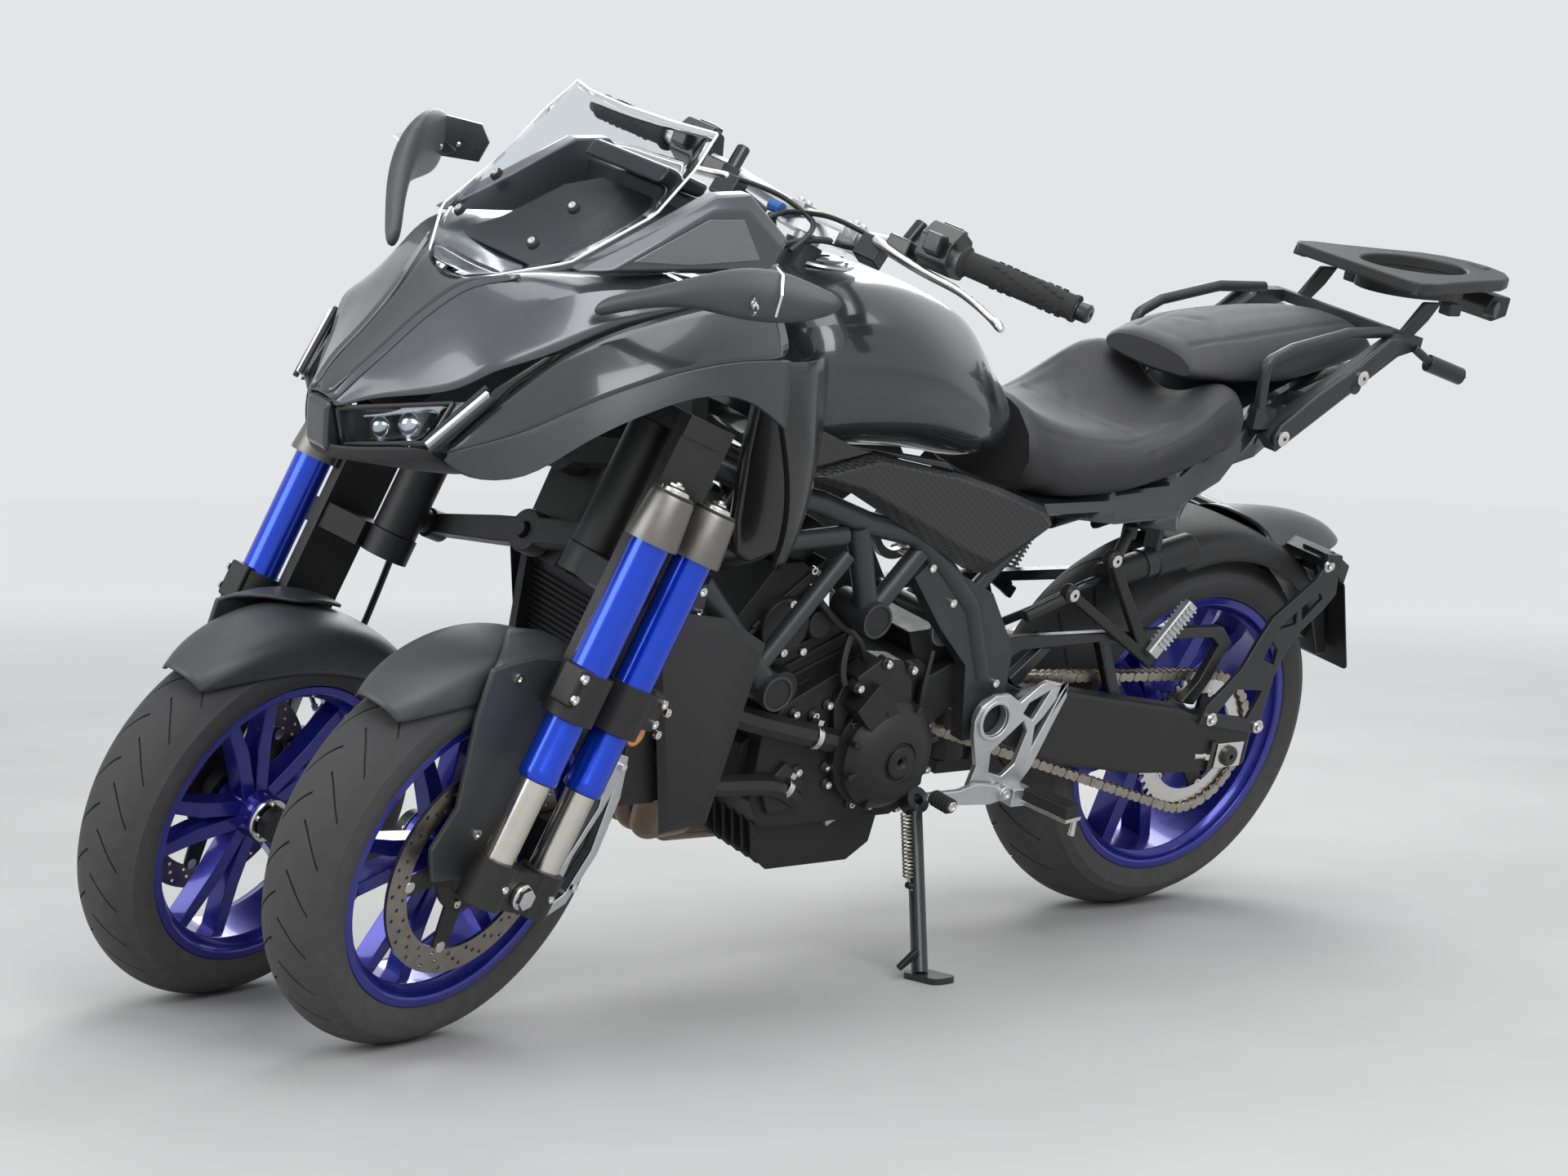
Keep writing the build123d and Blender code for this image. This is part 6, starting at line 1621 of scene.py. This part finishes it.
# ------------------------------------------------------------------ fittings
PEG_ROOT, RACK_TOP = (463, 304), 1066
PASSENGER_ROOT, PASSENGER_TIP = (214, 168, 502), (160, 178, 586)
PEG_PLATE = [(574, 424), (566, 446), (540, 462), (512, 462), (488, 448), (452, 474), (438, 478), (398, 470), (394, 452),
             (438, 340), (470, 296), (500, 288), (548, 296), (560, 320), (552, 352), (570, 400)]
PEG_HOLES = ([(430, 464), (470, 446), (478, 430), (456, 418)], [(408, 458), (436, 420), (448, 408), (446, 372)],
             [(500, 396), (474, 418), (462, 400), (474, 350), (496, 332), (524, 340), (528, 372)])
PEG_EYE = [(536 + 24 * cos(a * pi / 12), 424 + 24 * sin(a * pi / 12)) for a in range(24)]
TAIL_RAIL = [(40, 842), (30, 862), (-40, 912), (-120, 958), (-180, 1002), (-206, 1004), (-204, 984), (-130, 926),
             (-40, 866), (20, 828), (36, 828)]


class TRIKE_OT_pegs(bpy.types.Operator):
    """The pierced peg plates with their levers, and all four footpegs"""
    bl_idname = "trike.pegs"
    bl_label = "Footpegs"

    def execute(self, context):
        for name, side in SIDES:
            bm = bmesh.new()
            outer = [(x, side * 192, z) for x, z in PEG_PLATE]
            holes = [[(x, side * 192, z) for x, z in hole] for hole in (*PEG_HOLES, PEG_EYE)]
            pierced_strip(bm, outer, holes, -side * 10)
            make(f"{name}_peg_plate", bm, "cast alloy", "chassis", rounded=2.2,
                 stands_for=["rider_peg_brackets", "rider_pegs"] if side > 0 else ())
            bm = bmesh.new()
            low, high = sorted((side * 176, side * 197))
            lathe(bm, [(low, 25), (low, 32), (high, 32), (high, 25)], place=shift(536, 0, 424), steps=56)
            block(bm, (448, 486), (side * 188, side * 214), (290, 318))
            slab(bm, [(556, 330), (590, 322), (650, 322), (652, 312), (600, 300), (520, 294), (500, 306), (510, 324)],
                 side * 196, side * 206)
            rod(bm, (500, side * 194, 312), (500, side * 212, 312), 11)
            make(f"{name}_pedal", bm, "cast alloy", "chassis", rounded=2)
            bm = bmesh.new()
            rod(bm, (640, side * 206, 317), (640, side * 246, 319), 11)
            for step in range(5):
                rod(bm, (640, side * (209 + step * 7), 317), (640, side * (212 + step * 7), 317.3), 12.4)
            swing = shift(PEG_ROOT[0], side * 210, PEG_ROOT[1]) @ turn(side * 10, "Z")
            block(bm, (-31, 3), (0, side * 84), (-4, 14), place=swing)
            for row in range(4):
                block(bm, (-29 + row * 8, -25 + row * 8), (side * 4, side * 82), (12, 17), place=swing)
            make(f"{name}_peg_rubbers", bm, "rubber", "chassis", rounded=1.6)
            bm = bmesh.new()
            block(bm, (-33, 5), (0, side * 88), (-9, -3), place=swing)
            rod(bm, swing @ Vector((-26, side * 82, -8)), swing @ Vector((-26, side * 82, -34)), 3.6, 5)
            bolt(bm, (500, side * 212, 312), (0, side, 0), 8, 4)
            bolt(bm, (640, side * 246, 319), (0, side, 0), 8, 3)
            make(f"{name}_peg_steel", bm, "bright steel", "chassis", rounded=1)
            self.passenger(name, side)
        return {"FINISHED"}

    def passenger(self, name, side):
        bm = bmesh.new()
        for start, end, wide in (((330, 655), (210, 494), 17), ((404, 604), (214, 494), 15), ((214, 494), (196, 484), 18)):
            a, b = Vector((start[0], 0, start[1])), Vector((end[0], 0, end[1]))
            across = (b - a).normalized().cross(Vector((0, 1, 0)))
            slab(bm, [((a + across * wide * 0.5).x, (a + across * wide * 0.5).z),
                      ((b + across * wide * 0.6).x, (b + across * wide * 0.6).z),
                      ((b - across * wide * 0.6).x, (b - across * wide * 0.6).z),
                      ((a - across * wide * 0.5).x, (a - across * wide * 0.5).z)], side * 153, side * 167)
        for x, z in ((330, 655), (404, 604)):
            rod(bm, (x, side * 152, z), (x, side * 168, z), 14)
        rod(bm, (322, side * 158, 648), (262, side * 120, 684), 9)
        rod(bm, (262, side * 120, 672), (262, side * 120, 694), 12)
        rod(bm, (392, side * 158, 602), (478, side * 152, 567), 9)
        rod(bm, (300, side * 118, 610), (120, side * 118, 650), 22, sides=40)
        rod(bm, (200, side * 118, 632), (118, side * 118, 650), 26, sides=40)
        make(f"{name}_passenger_bracket", bm, "black cast", "chassis", rounded=3,
             stands_for=["passenger_brackets"] if side > 0 else ())
        bm = bmesh.new()
        for x, z in ((330, 655), (404, 604)):
            lathe(bm, [(0, 3), (0, 9.5), (side * 4, 9.5), (side * 5, 7), (side * 5, 3)], steps=32,
                  place=shift(x, side * 168, z))
        make(f"{name}_passenger_bolts", bm, "bright steel", "chassis")
        bm = bmesh.new()
        root = Vector((PASSENGER_ROOT[0], side * (PASSENGER_ROOT[1] + 6), PASSENGER_ROOT[2]))
        tip = Vector((PASSENGER_TIP[0], side * (PASSENGER_TIP[1] + 6), PASSENGER_TIP[2]))
        line = (tip - root).normalized()
        place = Matrix.Translation(root) @ line.to_track_quat("Z", "Y").to_matrix().to_4x4()
        for row in range(10):
            block(bm, (-13.5, 13.5), (-8.5, 8.5), (18 + row * 8, 22 + row * 8), place=place)
        make(f"{name}_passenger_peg_ribs", bm, "cast alloy", f"{name}_passenger_peg", rounded=1)


class TRIKE_OT_stand(bpy.types.Operator):
    """The side stand's return spring and tang"""
    bl_idname = "trike.stand"
    bl_label = "Side stand"

    def execute(self, context):
        pivot, foot = Vector((622, 150, 286)), Vector((690, 303, 87))
        line = (foot - pivot).normalized()
        aside = line.cross(Vector((0, 1, 0))).normalized()
        start, end = pivot + line * 24 + aside * 19, pivot + line * 122 + aside * 19
        bm = bmesh.new()
        turns, steps = 17, 10
        other = line.cross(aside)
        points = []
        for k in range(turns * steps + 1):
            angle = 2 * pi * k / steps
            points.append(start + (end - start) * k / (turns * steps) + 7 * (aside * cos(angle) + other * sin(angle)))
        tube(bm, points, 1.5, sides=8, sharp=True)
        rod(bm, end, end + line * 16 - aside * 8, 2, sides=10)
        make("stand_spring", bm, "chain steel", "side_stand")
        bm = bmesh.new()
        rod(bm, pivot + line * 132, pivot + line * 132 + aside * 22, 5)
        slab(bm, [(690, 112), (722, 92), (726, 98), (696, 124)], 288, 296)
        make("stand_tang", bm, "black paint", "side_stand", rounded=1)
        return {"FINISHED"}


class TRIKE_OT_bar(bpy.types.Operator):
    """Clamps, grips, switches, levers and cables of the handlebar"""
    bl_idname = "trike.bar"
    bl_label = "Handlebar"

    def execute(self, context):
        body = "handlebar"
        for name, side in SIDES:
            bm = bmesh.new()
            start, end = Vector((22, side * 306, 53.6)), Vector((-8, side * 433, 57))
            line = (end - start).normalized()
            place = Matrix.Translation(start) @ line.to_track_quat("Y", "Z").to_matrix().to_4x4()
            lathe(bm, [(-44, 14), (-44, 20), (-38, 22), (-34, 17), (0, 17.4), (60, 18.2), (118, 17), (122, 18.6),
                       (127, 18.6), (127, 12)], place=place, steps=48)
            for row in range(9):
                for around in range(0, 360, 60):
                    spoke = place @ turn(around + row * 9, "Y")
                    block(bm, (-2, 2), (4 + row * 12, 12 + row * 12), (15, 19.2), place=spoke)
            make(f"{name}_grip", bm, "rubber", body, BAR, rounded=1)
            bm = bmesh.new()
            lathe(bm, [(127.5, 4), (127.5, 12), (132, 13.2), (144, 13), (147, 10), (147, 4)], place=place, steps=40)
            make(f"{name}_bar_end", bm, "dark panel", body, BAR)
            bm = bmesh.new()
            slab(bm, [(-8, 30), (-12, 56), (6, 84), (34, 90), (50, 66), (46, 36), (20, 26)], side * 196, side * 250)
            slab(bm, [(36, 40), (48, 74), (66, 70), (62, 44)], side * 214, side * 240)
            block(bm, (2, 26), (side * 206, side * 236), (84, 93))
            rod(bm, (12, side * 158, 44), (2, side * 162, 82), 10, sides=24)
            block(bm, (-4, 44), (side * 148, side * 186), (24, 50))
            slab(bm, [(28, -4), (20, 34), (48, 38), (54, 4)], side * 112, side * 150)
            make(f"{name}_switchgear", bm, "dark panel", body, BAR, rounded=3,
                 stands_for=["handlebar_controls"] if side > 0 else ())
            bm = bmesh.new()
            rows = []
            for x, y, z, wide, tall in ((44, 126, 32, 9, 9), (50, 160, 26, 12, 8), (56, 200, 20, 11, 7),
                                        (58, 250, 15, 9, 6.5), (58, 292, 14, 9, 6), (64, 336, 4, 8, 5.5),
                                        (66, 368, -6, 5, 5), (67, 378, -9, 8.5, 8.5), (67, 388, -12, 4, 4)):
                rows.append([(x + wide * cos(a * pi / 5), side * y, z + tall * sin(a * pi / 5)) for a in range(10)])
            skin(bm, rows, closed=True, caps=True)
            make(f"{name}_lever", bm, "bright steel", body, BAR, smooth=2)
            bm = bmesh.new()
            block(bm, (-46, -14), (side * 38, side * 62), (10, 46))
            for x in (-40, -20):
                bolt(bm, (x, side * 50, 46), (0, 0, 1), 5, 5)
            make(f"{name}_bar_clamp", bm, "cast alloy", body, BAR, rounded=4)
            bm = bmesh.new()
            tube(bm, [(44, side * 122, 34), (40, side * 60, 40), (30, side * 0, 30), (40, -side * 40, 14),
                      (80, -side * 40, -30)], 4)
            tube(bm, [(30, side * 150, 30), (0, side * 90, 14), (40, side * 30, 4), (70, 0, -40)], 5)
            make(f"{name}_cables", bm, "hose", body, BAR)
        bm = bmesh.new()
        tube(bm, [(38, -52, 20), (38, -32, 20)], 9, sides=16)
        make("cable_tie", bm, "blue clip", body, BAR)
        return {"FINISHED"}


class TRIKE_OT_rack(bpy.types.Operator):
    """The luggage rack plate with its lugs and latch, the tail rails and the indicators"""
    bl_idname = "trike.rack"
    bl_label = "Rack and tail rails"

    def execute(self, context):
        half = [(-248, 60), (-250, 122), (-262, 138), (-300, 138), (-350, 124), (-440, 106), (-520, 92), (-560, 72),
                (-590, 40), (-600, 0)]
        outline = [(x, -y) for x, y in reversed(half[:-1])] + half
        hole = [(-400 + 112 * cos(a * pi / 18), 66 * sin(a * pi / 18)) for a in range(36)]
        level = UPRIGHT @ shift(0, 0, RACK_TOP) @ turn(90, "X")
        bm = bmesh.new()
        pierced_strip(bm, [(x, 0, y) for x, y in outline], [[(x, 0, y) for x, y in hole]], 20)
        make("rack_plate", bm, "grained plastic", "chassis", level, rounded=4, stands_for=["luggage_rack"])
        bm = bmesh.new()
        lip = [(x, y, RACK_TOP + 1) for x, y in hole]
        ring = [(-400 + 122 * cos(a * pi / 18), 76 * sin(a * pi / 18), RACK_TOP + 0.5) for a in range(36)]
        inner = [(x, y, RACK_TOP - 24) for x, y in hole]
        skin(bm, [ring, [(0.75 * a[0] + 0.25 * b[0], 0.75 * a[1] + 0.25 * b[1], RACK_TOP + 4)
                         for a, b in zip(ring, lip)], lip, inner], closed=True)
        outward(bm)
        make("rack_lip", bm, "grained plastic", "chassis", wall=2)
        bm = bmesh.new()
        slab(bm, [(-552, 1050), (-598, 1048), (-596, 1016), (-560, 1006), (-540, 1030)], -58, 58)
        slab(bm, [(-540, 1064), (-556, 1088), (-574, 1088), (-592, 1064)], -20, 20)
        for side in (1, -1):
            slab(bm, [(-252, 1064), (-256, 1080), (-270, 1082), (-300, 1068)], side * 106, side * 134)
            slab(bm, [(-266, 985), (-266, 1003), (-306, 1050), (-345, 1050), (-322, 1020), (-284, 985)],
                 side * 107, side * 117)
            rod(bm, (-342, side * 84, 1060), (-342, side * 84, 1069), 8, 7)
            rod(bm, (-520, side * 66, 1060), (-520, side * 66, 1071), 9, 8)
            block(bm, (-400, -370), (side * 92, side * 116), (RACK_TOP - 38, RACK_TOP - 18))
        make("rack_lugs", bm, "grained plastic", "chassis", rounded=3)
        bm = bmesh.new()
        block(bm, (-566, -560), (-10, 10), (1068, 1084))
        rod(bm, (-556, 44, 1028), (-562, 62, 1028), 15, 14, sides=40)
        make("rack_badge", bm, "frame grey", "chassis", rounded=1)
        for name, side in SIDES:
            bm = bmesh.new()
            slab(bm, TAIL_RAIL, side * 158, side * 168)
            make(f"{name}_tail_rail", bm, "frame grey", "chassis", rounded=4)
            bm = bmesh.new()
            for x, z in ((24, 843), (-128, 940)):
                lathe(bm, [(0, 3), (0, 12), (side * 4, 12), (side * 6, 8), (side * 6, 3)], steps=32,
                      place=shift(x, side * 168, z))
            make(f"{name}_rail_bolts", bm, "bright steel", "chassis")
            bm = bmesh.new()
            rows = []
            for x, y, z, wide in ((-262, 172, 972, 6), (-276, 178, 968, 13), (-300, 186, 962, 16), (-326, 196, 955, 10),
                                  (-342, 200, 951, 3)):
                rows.append([(x, side * (y + wide * cos(a * pi / 5)), z + 0.75 * wide * sin(a * pi / 5))
                             for a in range(10)])
            skin(bm, rows, closed=True, caps=True)
            make(f"{name}_rear_indicator", bm, "dark panel", "chassis", smooth=2)
        return {"FINISHED"}


class TRIKE_OT_ducts(bpy.types.Operator):
    """The dark ducts inside the wings and the wiring under the nose"""
    bl_idname = "trike.ducts"
    bl_label = "Ducts"

    def execute(self, context):
        for name, side in SIDES:
            bm = bmesh.new()
            slab(bm, [(1080, 827), (1076, 905), (1040, 917), (975, 860), (952, 761), (985, 693), (1040, 676),
                      (1066, 690), (1076, 737)], side * 150, side * 174)
            make(f"{name}_inner_duct", bm, "dark panel", "chassis", rounded=10)
        bm = bmesh.new()
        for start in (-46, -18, 14, 40):
            tube(bm, [(1496, start, 826), (1460, start * 1.5, 796), (1404, start * 2, 806), (1352, start, 790),
                      (1300, start * 1.4, 812)], 4.5)
        tube(bm, [(1480, -60, 828), (1452, -70, 790), (1400, -50, 786), (1340, -20, 800)], 5.5)
        tube(bm, [(1452, 20, 810), (1380, 46, 796), (1290, 40, 800)], 6)
        make("nose_wiring", bm, "hose", "chassis")
        return {"FINISHED"}


# ------------------------------------------------------------------ frame and castings
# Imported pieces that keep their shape, with the finish and the edge rounding of each in mm.
SHELLS = {
    "frame": ("frame grey", 1.5), "lean_head": ("black cast", 2), "radiator": ("black cast", 1),
    "radiator_shrouds": ("grained plastic", 2), "exhaust": ("tinted steel", 2), "subframe": ("frame grey", 1.2),
    "rear_shock": ("black paint", 1), "side_stand": ("black paint", 1.2), "lower_arm": ("black cast", 2.5),
    "upper_arm": ("black cast", 2.5), "left_knuckle": ("black cast", 2), "right_knuckle": ("black cast", 2),
    "tail_cowl": ("tank paint", 3), "rear_lights": ("dark panel", 1),
    "left_passenger_peg": ("cast alloy", 1), "right_passenger_peg": ("cast alloy", 1),
    "handlebar": ("cast alloy", 1),
}


class TRIKE_OT_shells(bpy.types.Operator):
    """The frame, the arms and other castings, with softened edges"""
    bl_idname = "trike.shells"
    bl_label = "Frame and castings"

    def execute(self, context):
        for node, (finish, rounded) in SHELLS.items():
            dress(node, finish, rounded)
        return {"FINISHED"}


# ------------------------------------------------------------------ stage
class TRIKE_OT_stage(bpy.types.Operator):
    """The pale floor, the soft lamps and the camera"""
    bl_idname = "trike.stage"
    bl_label = "Stage"

    def execute(self, context):
        scene = context.scene
        scene.view_settings.view_transform = "Standard"
        self.world(scene)
        self.floor()
        for name, spot, aim, size, power in (
                ("key_lamp", (1.6, 4.4, 3.6), (0.1, 0, 0.5), 3.2, 150), ("fill_lamp", (4.6, -0.6, 2.6), (0.2, 0, 0.6), 2.6, 80),
                ("rim_lamp", (-2.6, -3.2, 3.2), (0, 0, 0.7), 2.6, 110), ("top_lamp", (-0.2, 0.6, 4.6), (0, 0, 0.5), 4.0, 110)):
            light = bpy.data.lights.new(name, "AREA")
            light.size = size
            light.energy = power
            lamp = bpy.data.objects.new(name, light)
            line = Vector(aim) - Vector(spot)
            lamp.matrix_world = Matrix.Translation(spot) @ line.to_track_quat("-Z", "Y").to_matrix().to_4x4()
            scene.collection.objects.link(lamp)
        self.camera(scene)
        return {"FINISHED"}

    def camera(self, scene):
        data = bpy.data.cameras.new("camera")
        data.lens = 71.79
        data.sensor_width = 36
        data.sensor_fit = "HORIZONTAL"
        yaw, pitch, roll = radians(230.30), radians(4.49), radians(0.85)
        forward = Vector((cos(yaw) * cos(pitch), sin(yaw) * cos(pitch), -sin(pitch)))
        right = forward.cross(Vector((0, 0, 1))).normalized()
        up = right.cross(forward)
        across = cos(roll) * right + sin(roll) * up
        above = -sin(roll) * right + cos(roll) * up
        camera = bpy.data.objects.new("camera", data)
        turned = Matrix((across, above, -forward)).transposed().to_4x4()
        camera.matrix_world = Matrix.Translation((3.0918, 3.3778, 0.907)) @ turned
        scene.collection.objects.link(camera)
        scene.camera = camera

    def world(self, scene):
        world = bpy.data.worlds.new("studio")
        world.use_nodes = True
        tree = world.node_tree
        path = tree.nodes.new("ShaderNodeLightPath")
        seen = path.outputs["Is Camera Ray"]
        for ray in ("Is Transmission Ray", "Is Glossy Ray"):
            seen = node_with(tree, "ShaderNodeMath", {0: seen, 1: path.outputs[ray]}, operation="MAXIMUM").outputs[0]
        strength = node_with(tree, "ShaderNodeMapRange", {"Value": seen, "To Min": 0.34, "To Max": 0.80})
        back = tree.nodes["Background"]
        back.inputs["Color"].default_value = (0.96, 0.98, 1.0, 1.0)
        tree.links.new(strength.outputs[0], back.inputs["Strength"])
        scene.world = world

    def floor(self):
        bm = bmesh.new()
        bmesh.ops.create_grid(bm, x_segments=2, y_segments=2, size=12)
        mesh = bpy.data.meshes.new("floor")
        bm.to_mesh(mesh)
        bm.free()
        floor = bpy.data.objects.new("floor", mesh)
        bpy.context.scene.collection.objects.link(floor)
        material = bpy.data.materials.new("pale floor")
        material.use_nodes = True
        tree = material.node_tree
        shader = tree.nodes["Principled BSDF"]
        place = tree.nodes.new("ShaderNodeTexCoord").outputs["Object"]
        cloud = node_with(tree, "ShaderNodeTexNoise", {"Vector": place, "Scale": 2.2, "Detail": 6.0})
        tone = node_with(tree, "ShaderNodeMapRange", {"Value": cloud.outputs["Fac"], "To Min": 0.46, "To Max": 0.58})
        away = node_with(tree, "ShaderNodeVectorMath", {0: place}, operation="LENGTH")
        far = node_with(tree, "ShaderNodeMapRange", {"Value": away.outputs["Value"], "From Min": 2.4, "From Max": 7.0},
                        interpolation_type="SMOOTHSTEP")
        near = node_with(tree, "ShaderNodeMath", {0: 1.0, 1: far.outputs[0]}, operation="SUBTRACT")
        shade = node_with(tree, "ShaderNodeMath", {0: tone.outputs[0], 1: near.outputs[0]}, operation="MULTIPLY")
        glow = node_with(tree, "ShaderNodeMath", {0: far.outputs[0], 1: 0.78}, operation="MULTIPLY")
        tree.links.new(shade.outputs[0], shader.inputs["Base Color"])
        tree.links.new(glow.outputs[0], shader.inputs["Emission Strength"])
        shine = node_with(tree, "ShaderNodeMath", {0: near.outputs[0], 1: 0.5}, operation="MULTIPLY")
        tree.links.new(shine.outputs[0], shader.inputs["Specular IOR Level"])
        shader.inputs["Emission Color"].default_value = (0.96, 0.98, 1.0, 1.0)
        shader.inputs["Roughness"].default_value = 0.7
        mesh.materials.append(material)


# ------------------------------------------------------------------ panel and registration
class TRIKE_PG_sizes(bpy.types.PropertyGroup):
    groove_depth: bpy.props.FloatProperty(
        name="Groove depth", description="How deep the tyre grooves are cut", default=0.003, min=0.0005, max=0.006,
        unit="LENGTH", subtype="DISTANCE")


class TRIKE_PG_colours(bpy.types.PropertyGroup):
    __annotations__ = {
        name.replace(" ", "_"): bpy.props.FloatVectorProperty(
            name=name.capitalize(), description=f"Base colour of the {name}", default=row[1], size=3, min=0.0, max=1.0,
            subtype="COLOR")
        for name, row in FINISHES.items()
    }


class TRIKE_PT_panel(bpy.types.Panel):
    """Lists every group of pieces"""
    bl_idname = "TRIKE_PT_panel"
    bl_label = "Leaning trike"
    bl_space_type = "VIEW_3D"
    bl_region_type = "UI"
    bl_category = "Trike"

    def draw(self, context):
        layout = self.layout
        layout.prop(context.scene.trike_sizes, "groove_depth")
        for step in STEPS:
            layout.operator(step.bl_idname)
        for finish in FINISHES:
            layout.prop(context.scene.trike_colours, finish.replace(" ", "_"))


STEPS = (TRIKE_OT_stage, TRIKE_OT_tyres, TRIKE_OT_wheels, TRIKE_OT_discs, TRIKE_OT_forks, TRIKE_OT_calipers,
         TRIKE_OT_fenders, TRIKE_OT_nose, TRIKE_OT_wings, TRIKE_OT_screen, TRIKE_OT_mirrors, TRIKE_OT_tank,
         TRIKE_OT_seats, TRIKE_OT_engine, TRIKE_OT_frame, TRIKE_OT_radiator, TRIKE_OT_mudguard, TRIKE_OT_chain,
         TRIKE_OT_swingarm, TRIKE_OT_pegs, TRIKE_OT_stand, TRIKE_OT_bar, TRIKE_OT_rack, TRIKE_OT_ducts,
         TRIKE_OT_shells)
CLASSES = (TRIKE_PG_sizes, TRIKE_PG_colours, *STEPS, TRIKE_PT_panel)


def register():
    for kind in CLASSES:
        bpy.utils.register_class(kind)
    bpy.types.Scene.trike_sizes = bpy.props.PointerProperty(type=TRIKE_PG_sizes)
    bpy.types.Scene.trike_colours = bpy.props.PointerProperty(type=TRIKE_PG_colours)


def unregister():
    del bpy.types.Scene.trike_colours
    del bpy.types.Scene.trike_sizes
    for kind in reversed(CLASSES):
        bpy.utils.unregister_class(kind)


def main():
    register()
    for step in STEPS:
        group, title = step.bl_idname.split(".")
        getattr(getattr(bpy.ops, group), title)()


if __name__ == "__main__":
    main()
